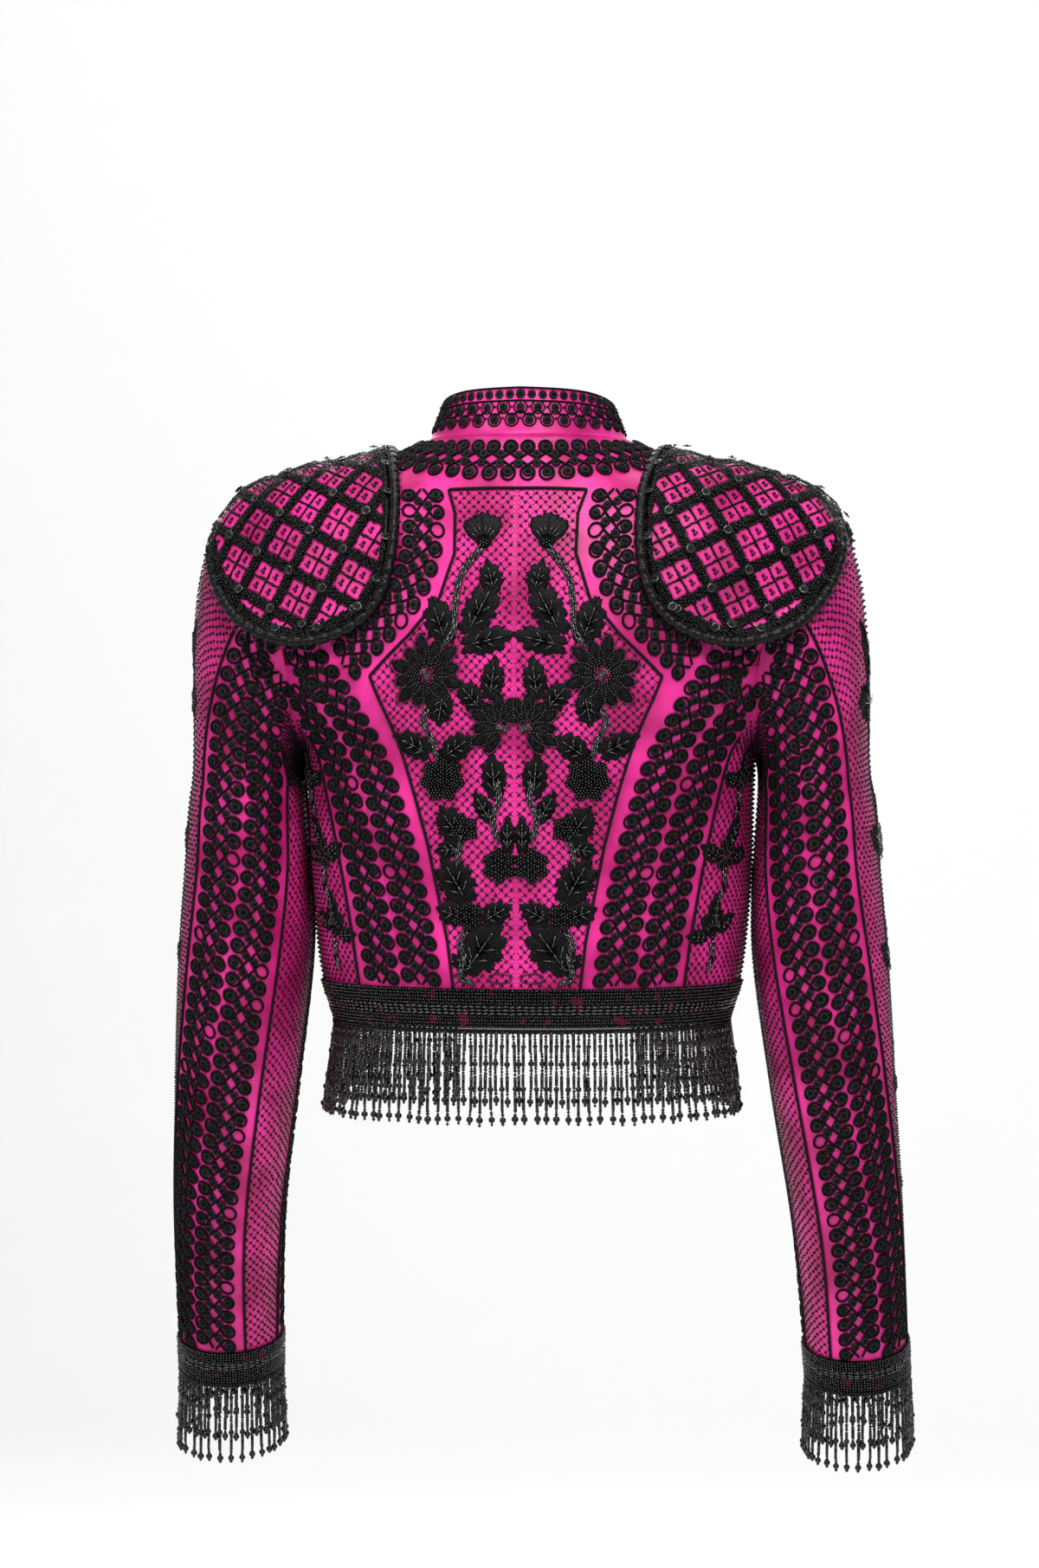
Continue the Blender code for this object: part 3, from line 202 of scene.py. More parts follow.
def top_heading(s, side):
    """Which way the cloth reaches the top row: up at the start, and level over the shoulder."""
    start = np.array([0, -0.39, 0.92]) if side > 0 else np.array([0, 0.57, 0.82])
    corner = np.array([-0.566, -0.80 * side, 0.20])
    over = np.array([0, -1.0 * side, 0])
    blend = 0.25          # share of the top row over which the heading turns level
    rising = lerp(start, corner, column(np.clip(s / NECK_SHARE, 0, 1)))
    levelling = lerp(corner, over, column(np.clip((s - NECK_SHARE) / blend, 0, 1)))
    return unit(np.where(column(s) < NECK_SHARE, rising, levelling))


def body(s, height, side):
    """The body's outer face: s from the centre back (or front edge) to the side, height up from the hem.

    Each row is a cubic curve round the body, and cubics through the rows carry the face up.
    """
    s, height = np.broadcast_arrays(np.asarray(s, float), np.asarray(height, float))
    shape, s, height = s.shape, s.ravel(), height.ravel()
    controls = BACK_CONTROLS if side > 0 else FRONT_CONTROLS
    rows = np.concatenate([bezier(controls, s), top_row(s, side)[None]])
    below = slopes(KNOTS, rows)
    above = below.copy()
    corner = column(s) ** 6       # the side seam meets the armhole at an angle, which fades away from it
    under = UNDERARM_ROW
    reach = (rows[under] - rows[under - 1]) / (KNOTS[under] - KNOTS[under - 1])
    leave = np.linalg.norm(rows[under + 1] - rows[under], axis=-1, keepdims=True) * [0, side, 0]
    below[under] = lerp(below[under], reach, corner)
    above[under] = lerp(above[under], leave / (KNOTS[under + 1] - KNOTS[under]), corner)
    last = np.linalg.norm(rows[-1] - rows[-2], axis=-1, keepdims=True) / (KNOTS[-1] - KNOTS[-2])
    below[-1] = top_heading(s, side) * last
    return through_rows(KNOTS, rows, below, above, height).reshape(*shape, 3)


# The sleeve's rings below the head. `tilt` leans a ring's back edge down, as the forearm swings forward.
Ring = namedtuple("Ring", "x y z half_width half_depth tilt")
RINGS = [
    Ring(0.1979, -0.012, -0.237, 0.0379, 0.062, 4),
    Ring(0.1989, -0.016, -0.300, 0.0434, 0.060, 4),
    Ring(0.2015, -0.021, -0.359, 0.0460, 0.058, 6),
    Ring(0.2100, -0.034, -0.451, 0.0425, 0.053, 10),
    Ring(0.2193, -0.060, -0.547, 0.0378, 0.047, 14),
    Ring(0.2245, -0.1015, -0.657, 0.0350, 0.041, 14),
]
RING_KNOTS = np.array([0.0, 1.0, 1.35, 1.70, 2.25, 2.85, 3.55])    # the armhole, then each ring
SLEEVE_END = RING_KNOTS[-1]
ARMHOLE_GAP = -0.0005     # the sleeve head starts just inside the armhole edge
ARM_WAY = unit(np.array([UNDERARM[2] - SHOULDER[2], 0, SHOULDER[0] - UNDERARM[0]]) * -1)
HEAD_FULLNESS = 0.86      # how far the sleeve head runs out before it turns down
# Where the sleeve's two seams lie, in degrees round it from its outer side.
Turn = namedtuple("Turn", "along back front")
SLEEVE_SEAMS = [
    Turn(0.0, 100, 235), Turn(1.0, 100, 232), Turn(1.70, 83, 227), Turn(2.85, 60, 218), Turn(3.55, 56, 215),
]


def armhole_edge(angle):
    """The body's own armhole edge at an angle round the sleeve (0 outer, 90 back, 180 inner, 270 front)."""
    turned = np.abs((angle + 180) % 360 - 180) / 180
    turns = np.array([0.0] + [row.turn for row in reversed(BACK_ROWS) if row.turn] + [1.0])
    height = np.interp(turned, turns, KNOTS[: UNDERARM_ROW - 1 : -1])
    behind = np.sin(np.radians(angle)) >= 0
    side = np.ones_like(angle)
    return np.where(column(behind), body(side, height, 1), body(side, height, -1))


def ring_points(ring, angle):
    """An ellipse round the arm, its back edge leant down by the tilt."""
    turn, tilt = np.radians(angle), math.radians(ring.tilt)
    back = np.array([0, math.cos(tilt), -math.sin(tilt)])
    return (
        np.array([ring.x, ring.y, ring.z])
        + column(ring.half_width * np.cos(turn)) * [1, 0, 0]
        + column(ring.half_depth * np.sin(turn)) * back
    )


def sleeve(angle, along):
    """The sleeve's outer face: angle round it in degrees, along it from the armhole (0) to the cuff.

    Cubics carry the face from the armhole edge through the ellipses of the rings.
    """
    angle, along = np.broadcast_arrays(np.asarray(angle, float), np.asarray(along, float))
    shape, angle, along = angle.shape, angle.ravel(), along.ravel()
    start = armhole_edge(angle) + ARMHOLE_GAP * ARM_WAY
    rows = np.concatenate([start[None], [ring_points(ring, angle) for ring in RINGS]])
    slope = slopes(RING_KNOTS, rows)
    down = unit(rows[2] - rows[1])
    chord = np.linalg.norm(rows[1] - rows[0], axis=-1, keepdims=True)
    top = column((1 + np.cos(np.radians(angle))) / 2)
    leaving = unit(lerp(np.array([0.55, 0, -0.83]), ARM_WAY, top ** 0.6))
    above, below = slope.copy(), slope.copy()
    above[0] = leaving * chord * HEAD_FULLNESS
    below[1] = down * chord * 0.9
    return through_rows(RING_KNOTS, rows, below, above, along).reshape(*shape, 3)


# The princess seam, from the hem to the armhole: how far from the centre back at each height.
Seam = namedtuple("Seam", "height from_centre")
PRINCESS = [
    Seam(0.0, 0.0775), Seam(0.05, 0.0830), Seam(0.10, 0.0920), Seam(0.14, 0.1017), Seam(0.18, 0.1142),
    Seam(0.2186, 0.1312), Seam(0.2372, 0.1425), Seam(0.262, 0.163),
]
TIP = 0.256               # where the side panel ends in a point at the armhole
SAMPLES = 81


def princess_share(height):
    """Where the princess seam crosses each row, as that row's s."""
    samples = np.linspace(0, 1, SAMPLES)
    rows = body(samples[None, :], np.asarray(height)[:, None], 1)
    wanted = smooth_table(PRINCESS, height)[0]
    share = np.array([np.interp(x, row[:, 0], samples) for x, row in zip(wanted, rows)])
    return np.where(height >= PRINCESS[-1].height, 1.0, share)


SEAM_HEIGHTS = np.linspace(HEM, TOP, 169)
SEAM_SHARES = princess_share(SEAM_HEIGHTS)


def back_centre(across, height):
    """The centre back panel: from the centre back to the princess seam, or the armhole above it."""
    return body(across * np.interp(height, SEAM_HEIGHTS, SEAM_SHARES), height, 1)


def back_side(across, height):
    """The side back panel: from the princess seam to the side seam."""
    return body(lerp(np.interp(height, SEAM_HEIGHTS, SEAM_SHARES), 1.0, across), height, 1)


def front(across, height):
    """The front: from its open edge to the side seam and the armhole."""
    return body(across, height, -1)


def sleeve_upper(across, along):
    """From the back seam round the outer side to the front seam."""
    back, front_turn = smooth_table(SLEEVE_SEAMS, along)
    return sleeve(lerp(back, front_turn - 360, across), along)


def sleeve_under(across, along):
    """From the back seam round the inner side to the front seam."""
    back, front_turn = smooth_table(SLEEVE_SEAMS, along)
    return sleeve(lerp(back, front_turn, across), along)


SATIN_WALL = 0.0020       # satin with its interlining
SEAM_INSET = 0.00002      # each panel stops this far short of its seam
CLOTH_STEP = 0.0075       # the mesh's step over the cloth
EDGE_COLUMNS = (0.0, 0.0007, 0.0022, 0.0050)       # the columns beside a seam, from the seam
EDGE_TURN = (0.0004, 0.0001)       # how far the first two of them turn in
NARROW = 0.03             # a panel that is narrower has these columns closer
NET_START = 0.0375        # from a seam to the net panel's outline, past the braid and a border of satin
SLEEVE_SCALE = 0.172      # metres of sleeve to one unit of its rows
# The outline of the netted panel on the centre back: a coffin shape with a corner at the shoulder blade.
Corner = namedtuple("Corner", "height from_centre")
BACK_OUTLINE = [
    Corner(0.3680, 0.0), Corner(0.3673, 0.0472), Corner(0.3500, 0.0419), Corner(0.3223, 0.0413),
    Corner(0.2924, 0.0513), Corner(0.2695, 0.0720), Corner(0.2455, 0.1009), Corner(0.2173, 0.0897),
    Corner(0.1944, 0.0814), Corner(0.1599, 0.0702), Corner(0.1258, 0.0608), Corner(0.0854, 0.0525),
    Corner(0.0584, 0.0472), Corner(0.0, 0.0400),
]


def outline_depth(across, up, outline):
    """How far inside an outline each point lies: the distance to its nearest edge, minus when outside.

    The outline is mirrored over the centre. A point is inside when a line from it crosses an odd number.
    """
    half = np.array([(row.from_centre, row.height) for row in outline])
    loop = np.concatenate([half, half[::-1] * [-1, 1]])
    start, end = loop, np.roll(loop, -1, axis=0)
    point = np.stack([across, up], axis=-1)[..., None, :]
    way = end - start
    share = np.clip(np.sum((point - start) * way, axis=-1) / np.maximum(np.sum(way**2, axis=-1), 1e-12), 0, 1)
    away = np.linalg.norm(point - start - way * share[..., None], axis=-1).min(axis=-1)
    px, py = point[..., 0], point[..., 1]
    spans = (start[:, 1] > py) != (end[:, 1] > py)
    rise = np.where(np.abs(way[:, 1]) < 1e-12, 1e-12, way[:, 1])
    crosses = spans & (px < start[:, 0] + (py - start[:, 1]) / rise * way[:, 0])
    return np.where(crosses.sum(axis=-1) % 2 == 1, away, -away)


def centre_net(across, row, width):
    """Netting inside the outline on the centre back."""
    return np.minimum(outline_depth(across, row, BACK_OUTLINE), across - 0.0004)


def side_net(across, row, width):
    """Netting from past the braid to the side seam."""
    return across - NET_START


def front_net(across, row, width):
    """Netting past the braid of the front edge, up to the braid under the neck."""
    return np.minimum(across - NET_START, (0.378 - row) + np.maximum(across - 0.10, 0) * 3)


def sleeve_net(across, row, width):
    """Netting between the braids of a sleeve piece's two seams."""
    return np.minimum(across, width - across) - NET_START


# A panel: its face, its rows from low to high, which way its normals turn, the netted part, the metres to
# one unit of its rows, its flat size (width, length), and the piece that it rests on.
Panel = namedtuple("Panel", "name face low high sense net scale cut rests_on")
PANELS = [
    Panel("back_centre", back_centre, HEM, TOP - 0.0003, -1, centre_net, 1.0, (0.205, 0.470), "collar"),
    Panel("back_side", back_side, HEM, TIP, -1, side_net, 1.0, (0.121, 0.288), "back_centre"),
    Panel("front", front, HEM, TOP - 0.0003, 1, front_net, 1.0, (0.190, 0.473), "collar"),
    Panel(
        "sleeve_upper", sleeve_upper, 0.0, SLEEVE_END, 1, sleeve_net, SLEEVE_SCALE,
        (0.257, 0.647), "back_centre",
    ),
    Panel(
        "sleeve_under", sleeve_under, 0.0, SLEEVE_END, -1, sleeve_net, SLEEVE_SCALE,
        (0.145, 0.554), "back_side",
    ),
]
Chart = namedtuple("Chart", "low high pitch points normals width")
CHART_ROWS, CHART_PITCH = 161, 0.002


def runs_of(face, rows):
    """How far each of SAMPLES shares across lies from a row's first edge, for every row."""
    samples = np.linspace(0, 1, SAMPLES)
    lines = face(np.tile(samples, (len(rows), 1)), np.tile(rows[:, None], (1, SAMPLES)))
    steps = np.linalg.norm(np.diff(lines, axis=1), axis=-1)
    return samples, np.concatenate([np.zeros((len(rows), 1)), np.cumsum(steps, axis=1)], axis=1)


def outward(face, across, rows, sense, low, high):
    """The unit normals of a face: the cross product of small steps across and up."""
    small = 1e-4
    first = face(np.clip(across + small, 0, 1), rows) - face(np.clip(across - small, 0, 1), rows)
    before, after = np.clip(rows - small, low, high), np.clip(rows + small, low, high)
    second = face(across, after) - face(across, before)
    return unit(np.cross(first, second)) * sense


def chart_of(panel):
    """A panel laid out flat: its points and normals on a grid of rows and of even distances across."""
    rows = np.linspace(panel.low, panel.high, CHART_ROWS)
    samples, run = runs_of(panel.face, rows)
    distance = np.arange(0, run[:, -1].max() + 2 * CHART_PITCH, CHART_PITCH)
    across = np.array([np.interp(distance, line, samples) for line in run])
    level = np.tile(rows[:, None], (1, len(distance)))
    points = panel.face(across, level)
    normals = outward(panel.face, across, level, panel.sense, panel.low, panel.high)
    return Chart(panel.low, panel.high, CHART_PITCH, points, normals, run[:, -1])


def grid_quads(ids):
    """The four-cornered faces of a grid of point numbers."""
    return np.stack([ids[:-1, :-1], ids[:-1, 1:], ids[1:, 1:], ids[1:, :-1]], axis=-1).reshape(-1, 4)


def ring_ids(rows, sides):
    """The point numbers of closed rings, row by row, with each row's first number again at its end."""
    ids = np.arange(rows * sides).reshape(rows, sides)
    return np.concatenate([ids, ids[:, :1]], axis=1)


def even_angles(count):
    """Angles at even steps round a circle."""
    return np.arange(count) / count * 2 * math.pi


def wall(outer, inner, closed=False):
    """Points and faces of a closed wall between two grids (rows, columns, 3), joined round their rims."""
    rows, columns = outer.shape[:2]
    ids = np.arange(rows * columns).reshape(rows, columns)
    if closed:
        ids = np.concatenate([ids, ids[:, :1]], axis=1)
    far = ids + rows * columns
    quads = grid_quads(ids)
    faces = [quads, (quads + rows * columns)[:, ::-1]]
    rims = [(ids[-1], far[-1]), (ids[0][::-1], far[0][::-1])]
    if not closed:
        rims += [(ids[::-1, -1], far[::-1, -1]), (ids[:, 0], far[:, 0])]
    faces += [np.stack([near[1:], near[:-1], back[:-1], back[1:]], axis=-1) for near, back in rims]
    return np.concatenate([outer.reshape(-1, 3), inner.reshape(-1, 3)]), np.concatenate(faces)


def made_piece(name, points, faces, finish, uv=None, marks=None, replaces=()):
    """One object of points and faces (arrays of threes or fours), riding on the jacket.

    uv is one pair for each point, and marks are named values, one for each point.
    """
    faces = [np.asarray(group) for group in (faces if isinstance(faces, list) else [faces]) if len(group)]
    corners = np.concatenate([group.ravel() for group in faces]).astype(np.int32)
    sizes = np.concatenate([np.full(len(group), group.shape[1]) for group in faces])
    mesh = bpy.data.meshes.new(name)
    mesh.vertices.add(len(points))
    mesh.vertices.foreach_set("co", np.asarray(points, np.float32).ravel())
    mesh.loops.add(len(corners))
    mesh.loops.foreach_set("vertex_index", corners)
    mesh.polygons.add(len(sizes))
    mesh.polygons.foreach_set("loop_start", (np.cumsum(sizes) - sizes).astype(np.int32))
    mesh.update(calc_edges=True)
    mesh.polygons.foreach_set("use_smooth", np.ones(len(sizes), bool))
    if uv is not None:
        mesh.uv_layers.new(name="cloth").data.foreach_set("uv", np.asarray(uv, np.float32)[corners].ravel())
    for mark, values in (marks or {}).items():
        mesh.attributes.new(mark, "FLOAT", "POINT").data.foreach_set("value", np.asarray(values, np.float32))
    mesh.materials.append(finish)
    piece = bpy.data.objects.new(name, mesh)
    bpy.context.scene.collection.objects.link(piece)
    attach(piece, "root")
    if replaces:
        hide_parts(*replaces)
    return piece


def shader(name):
    """A new material's tree, its Principled shader and its output."""
    made = bpy.data.materials.new(name)
    made.use_nodes = True
    return made, made.node_tree, made.node_tree.nodes["Principled BSDF"]


def node(tree, kind, inputs=None, **settings):
    """One shader node, with its settings, and its inputs given as values or links by name or number."""
    made = tree.nodes.new(kind)
    for key, value in settings.items():
        setattr(made, key, value)
    for key, value in (inputs or {}).items():
        if isinstance(value, bpy.types.NodeSocket):
            tree.links.new(value, made.inputs[key])
        else:
            made.inputs[key].default_value = value
    return made


def sums(tree, operation, *values):
    """The result of one Math node."""
    return node(tree, "ShaderNodeMath", dict(enumerate(values)), operation=operation).outputs[0]


def between(tree, value, low, high, start=0.0, end=1.0):
    """A smooth step from start to end as a value goes from low to high."""
    steps = {"Value": value, "From Min": low, "From Max": high, "To Min": start, "To Max": end}
    return node(tree, "ShaderNodeMapRange", steps, interpolation_type="SMOOTHSTEP").outputs[0]


def mixed(tree, share, first, second, blend="MIX"):
    """Two colours mixed by a share."""
    made = node(tree, "ShaderNodeMix", data_type="RGBA", blend_type=blend)
    for key, value in ((0, share), (6, first), (7, second)):
        if isinstance(value, bpy.types.NodeSocket):
            tree.links.new(value, made.inputs[key])
        else:
            made.inputs[key].default_value = value
    return made.outputs[2]


def noise(tree, where, scale, detail=2.0, output=0):
    """A noise texture's value, or its colour as output 1, at a place."""
    made = node(tree, "ShaderNodeTexNoise", {"Vector": where, "Scale": scale, "Detail": detail})
    return made.outputs[output]


def on_cloth(tree):
    """The place in a piece's own map."""
    return node(tree, "ShaderNodeUVMap", uv_map="cloth").outputs[0]


def on_jacket(tree):
    """The place on the jacket."""
    return node(tree, "ShaderNodeTexCoord").outputs["Object"]


def bumped(tree, surface, height, strength, depth):
    """Give a surface a bump from a height."""
    bump = node(tree, "ShaderNodeBump", {"Height": height, "Strength": strength, "Distance": depth})
    tree.links.new(bump.outputs[0], surface.inputs["Normal"])


def coloured(tree, surface, colour, roughness, gloss):
    """Give a surface its colour, its roughness (a number or a node's output) and its gloss."""
    tree.links.new(colour, surface.inputs["Base Color"])
    if isinstance(roughness, float):
        surface.inputs["Roughness"].default_value = roughness
    else:
        tree.links.new(roughness, surface.inputs["Roughness"])
    surface.inputs["Specular IOR Level"].default_value = gloss


def group(name, inputs, outputs):
    """An empty shader group with named sockets: its tree, its input node and its output node."""
    tree = bpy.data.node_groups.new(name, "ShaderNodeTree")
    for socket, kind in inputs.items():
        tree.interface.new_socket(socket, in_out="INPUT", socket_type=f"NodeSocket{kind}")
    for socket, kind in outputs.items():
        tree.interface.new_socket(socket, in_out="OUTPUT", socket_type=f"NodeSocket{kind}")
    return tree, tree.nodes.new("NodeGroupInput"), tree.nodes.new("NodeGroupOutput")


def thread_mesh_group():
    """Crossed threads: a mask of the lines a pitch apart both ways at 45 degrees, a little uneven."""
    tree, given, result = group(
        "knotted_net", {"Place": "Vector", "Pitch": "Float", "Half Thread": "Float"}, {"Mask": "Float"},
    )
    wander = noise(tree, given.outputs["Place"], 240.0, output=1)
    shift = node(tree, "ShaderNodeVectorMath", {0: wander, 1: (0.5, 0.5, 0.5)}, operation="SUBTRACT")
    shift = node(tree, "ShaderNodeVectorMath", {0: shift.outputs[0], "Scale": 0.0042}, operation="SCALE")
    place = node(
        tree, "ShaderNodeVectorMath", {0: given.outputs["Place"], 1: shift.outputs[0]}, operation="ADD",
    )
    apart = node(tree, "ShaderNodeSeparateXYZ", {0: place.outputs[0]})
    x, y = apart.outputs[0], apart.outputs[1]
    half_pitch = sums(tree, "MULTIPLY", given.outputs["Pitch"], 0.5)
    lines = []
    for way in ("ADD", "SUBTRACT"):
        along = sums(tree, "MULTIPLY", sums(tree, way, x, y), math.sqrt(0.5))
        lines.append(sums(tree, "PINGPONG", along, half_pitch))
    near = sums(tree, "MINIMUM", *lines)
    edge = sums(tree, "MULTIPLY", given.outputs["Half Thread"], 1.7)
    tree.links.new(between(tree, near, given.outputs["Half Thread"], edge, 1.0, 0.0), result.inputs["Mask"])
    return tree


def cloth_sheen_group():
    """Satin's uneven look: soft broad shadows of tone, and fine floats of thread across the cloth."""
    tree, given, result = group(
        "satin_tone", {"Place": "Vector", "Object Place": "Vector"}, {"Tone": "Float", "Height": "Float"},
    )
    broad = noise(tree, given.outputs["Object Place"], 26.0)
    fine = node(tree, "ShaderNodeMapping", {"Vector": given.outputs["Place"], "Scale": (900.0, 5200.0, 1.0)})
    floats = noise(tree, fine.outputs[0], 1.0, 1.0)
    pucker = noise(tree, given.outputs["Object Place"], 95.0, 1.5)
    tone = sums(tree, "ADD", sums(tree, "MULTIPLY", broad, 0.75), sums(tree, "MULTIPLY", floats, 0.25))
    high = sums(tree, "ADD", sums(tree, "MULTIPLY", pucker, 0.85), sums(tree, "MULTIPLY", floats, 0.06))
    tree.links.new(tone, result.inputs["Tone"])
    tree.links.new(high, result.inputs["Height"])
    return tree


NET_PITCH, NET_HALF_THREAD = 0.0046, 0.00017
SATIN_DEEP, SATIN_BRIGHT = (0.40, 0.006, 0.115, 1), (0.86, 0.034, 0.325, 1)
THREAD_BLACK = (0.003, 0.003, 0.0035, 1)
KNOTTED_NET, SATIN_TONE = thread_mesh_group(), cloth_sheen_group()
TONE_LOW, TONE_HIGH = 0.33, 0.68      # the satin's tones that are darkest and brightest


def satin_tone(tree):
    """The satin's tone, from dark to bright, and its height."""
    tone = node(tree, "ShaderNodeGroup", {}, node_tree=SATIN_TONE)
    tree.links.new(on_cloth(tree), tone.inputs["Place"])
    tree.links.new(on_jacket(tree), tone.inputs["Object Place"])
    return between(tree, tone.outputs["Tone"], TONE_LOW, TONE_HIGH), tone.outputs["Height"]


def net_mask(tree, pitch, half_thread):
    """Where the threads of a knotted net lie on a piece's own map."""
    net = node(tree, "ShaderNodeGroup", {}, node_tree=KNOTTED_NET)
    tree.links.new(on_cloth(tree), net.inputs["Place"])
    net.inputs["Pitch"].default_value = pitch
    net.inputs["Half Thread"].default_value = half_thread
    return net.outputs["Mask"]


def satin_finish(name, netted):
    """Fuchsia satin, with black netting over it where the cloth's mark `net` is above nothing."""
    made, tree, surface = shader(name)
    share, height = satin_tone(tree)
    colour = mixed(tree, share, SATIN_DEEP, SATIN_BRIGHT)
    rough = sums(tree, "ADD", 0.34, sums(tree, "MULTIPLY", share, 0.06))
    if netted:
        depth = node(tree, "ShaderNodeAttribute", attribute_name="net").outputs["Fac"]
        inside = between(tree, depth, 0.0, 0.0008)
        mask = sums(tree, "MULTIPLY", net_mask(tree, NET_PITCH, NET_HALF_THREAD), inside)
        colour = mixed(tree, mask, colour, THREAD_BLACK)
        height = sums(tree, "ADD", height, sums(tree, "MULTIPLY", mask, 0.9))
        rough = sums(tree, "ADD", rough, sums(tree, "MULTIPLY", mask, 0.3))
    bumped(tree, surface, height, 0.55, 0.0009)
    coloured(tree, surface, colour, rough, 0.24)
    surface.inputs["Sheen Weight"].default_value = 0.10
    surface.inputs["Sheen Roughness"].default_value = 0.4
    surface.inputs["Sheen Tint"].default_value = (1.0, 0.35, 0.65, 1)
    return made


NETTED_SATIN, PLAIN_SATIN = satin_finish("netted_satin", True), satin_finish("plain_satin", False)
CHARTS = {}


def cloth_grid(panel):
    """A panel's wall: its points, faces, places on the cloth and depth into the netting.

    The columns stand closer beside the two edges, where the cloth turns in towards the seam.
    """
    length = (panel.high - panel.low) * panel.scale
    rows = np.linspace(panel.low, panel.high, int(length / CLOTH_STEP) + 1)
    samples, run = runs_of(panel.face, rows)
    width = run[:, -1:]
    tight = np.minimum(1.0, width / NARROW)
    edge = np.array([EDGE_COLUMNS]) * tight
    middle = np.linspace(0, 1, int(width.max() / CLOTH_STEP) + 1)[None, 1:-1]
    inner = lerp(edge[:, -1:], width - edge[:, -1:], middle)
    places = np.concatenate([edge, inner, width - edge[:, ::-1]], axis=1)
    places = np.clip(places, SEAM_INSET * tight, width - SEAM_INSET * tight)
    across = np.array([np.interp(place, line, samples) for place, line in zip(places, run)])
    level = np.tile(rows[:, None], (1, across.shape[1]))
    points = panel.face(across, level)
    normals = outward(panel.face, across, level, panel.sense, panel.low, panel.high)
    turn_in = np.zeros(across.shape[1])
    turn_in[[0, 1, -2, -1]] = [*EDGE_TURN, *EDGE_TURN[::-1]]
    outer = points - normals * turn_in[None, :, None]
    inner = points - normals * (SATIN_WALL - 0.3 * turn_in)[None, :, None]
    joined, faces = wall(outer, inner)
    place = np.stack([places, level * panel.scale], axis=-1).reshape(-1, 2)
    depth = panel.net(places, level, np.broadcast_to(width, places.shape)).ravel()
    corner = points[:-1, :-1]
    area = np.linalg.norm(np.cross(points[1:, :-1] - corner, points[:-1, 1:] - corner), axis=-1).sum()
    return joined, faces, np.tile(place, (2, 1)), np.concatenate([depth, np.full(depth.size, -1.0)]), area


for panel in PANELS:
    CHARTS[panel.name] = chart_of(panel)
    points, faces, place, depth, area = cloth_grid(panel)
    faces = faces if panel.sense < 0 else faces[:, ::-1]
    for side, turned, twin in (("left", faces, 1), ("right", faces[:, ::-1], TWIN)):
        name = f"{panel.name}_{side}"
        piece = made_piece(
            f"satin_{name}", points * twin, turned, NETTED_SATIN, place, {"net": depth}, [name],
        )


# ================================================================ the guipure braid
# Soutache cord worked in figure-of-eight loops, with felt discs and a jet bead in the loops, sewn down in
# strips 25 mm wide beside the princess, sleeve and neck seams and the front edges.
Lay = namedtuple("Lay", "chart run across row side_across side_row")


def laid(chart, across, row, lift=0.0):
    """Points at a distance across and a row up, moved out by lift, and their normals.

    Each is the mean of the chart's four nearest, weighted by how near it is.
    """
    rows, columns = chart.points.shape[:2]
    down = np.clip((row - chart.low) / (chart.high - chart.low) * (rows - 1), 0, rows - 1.0001)
    over = np.clip(across / chart.pitch, 0, columns - 1.0001)
    down, over = np.broadcast_arrays(down, over)
    i, j = down.astype(int), over.astype(int)
    a, b = column(down - i), column(over - j)
    blend = [lerp(lerp(g[i, j], g[i, j + 1], b), lerp(g[i + 1, j], g[i + 1, j + 1], b), a)
             for g in (chart.points, chart.normals)]
    normals = unit(blend[1])
    return blend[0] + normals * column(np.broadcast_to(lift, down.shape)), normals


def length_along(points):
    """How far along a line each of its points lies."""
    return np.concatenate([[0], np.cumsum(np.linalg.norm(np.diff(points, axis=0), axis=1))])


def lay_of(chart, across, row):
    """A line on a chart, with what to add across and up to move one metre to its left.

    The two are the least-squares answer to (step across) * x + (step up) * y = sideways.
    """
    points, normals = laid(chart, across, row)
    sideways = np.cross(normals, unit(np.gradient(points, axis=0)))
    small, rise = 0.002, (chart.high - chart.low) * 0.004
    right = (laid(chart, across + small, row)[0] - laid(chart, across - small, row)[0]) / (2 * small)
    up = (laid(chart, across, row + rise)[0] - laid(chart, across, row - rise)[0]) / (2 * rise)
    aa, ab, bb = (right * right).sum(-1), (right * up).sum(-1), (up * up).sum(-1)
    p, q = (right * sideways).sum(-1), (up * sideways).sum(-1)
    det = np.maximum(aa * bb - ab**2, 1e-9)
    return Lay(chart, length_along(points), across, row, (bb * p - ab * q) / det, (aa * q - ab * p) / det)


def beside(lay, along, sideways, lift=0.0):
    """Points along a line and to its left, on the cloth, and their normals."""
    lines = (lay.across, lay.row, lay.side_across, lay.side_row)
    over, up, x, y = [np.interp(along, lay.run, values) for values in lines]
    return laid(lay.chart, over + sideways * x, up + sideways * y, lift)


def square_to(vectors, normals):
    """The unit vectors left when each vector loses its part along its normal."""
    return unit(vectors - normals * column((vectors * normals).sum(-1)))


def resampled(points, run, at):
    """Points of a line at other distances along it."""
    return np.stack([np.interp(at, run, values) for values in points.T], axis=-1)


def tube(path, up, radius, sides=3, flat=1.0):
    """A cord: a ring of sides carried along a path, flattened by `flat`, its ends closed.

    A ring's points are path + radius * (cos(angle) * sideways + flat * sin(angle) * upwards).
    """
    count = len(path)
    ahead = unit(np.gradient(path, axis=0))
    side = unit(np.cross(up, ahead))
    rise = np.cross(ahead, side)
    angle = (np.arange(sides) + 0.5) / sides * 2 * math.pi - math.pi / 2
    radius = np.broadcast_to(radius, (count,))[:, None, None]
    ring = np.cos(angle)[None, :, None] * side[:, None] + flat * np.sin(angle)[None, :, None] * rise[:, None]
    points = (path[:, None] + radius * ring).reshape(-1, 3)
    ids = ring_ids(count, sides)
    quads, caps = grid_quads(ids), np.stack([ids[0, :-1][::-1], ids[-1, :-1]])
    uv = np.stack([np.repeat(length_along(path), sides), np.tile(np.arange(sides) / sides, count)], axis=-1)
    return points, [quads, caps], uv


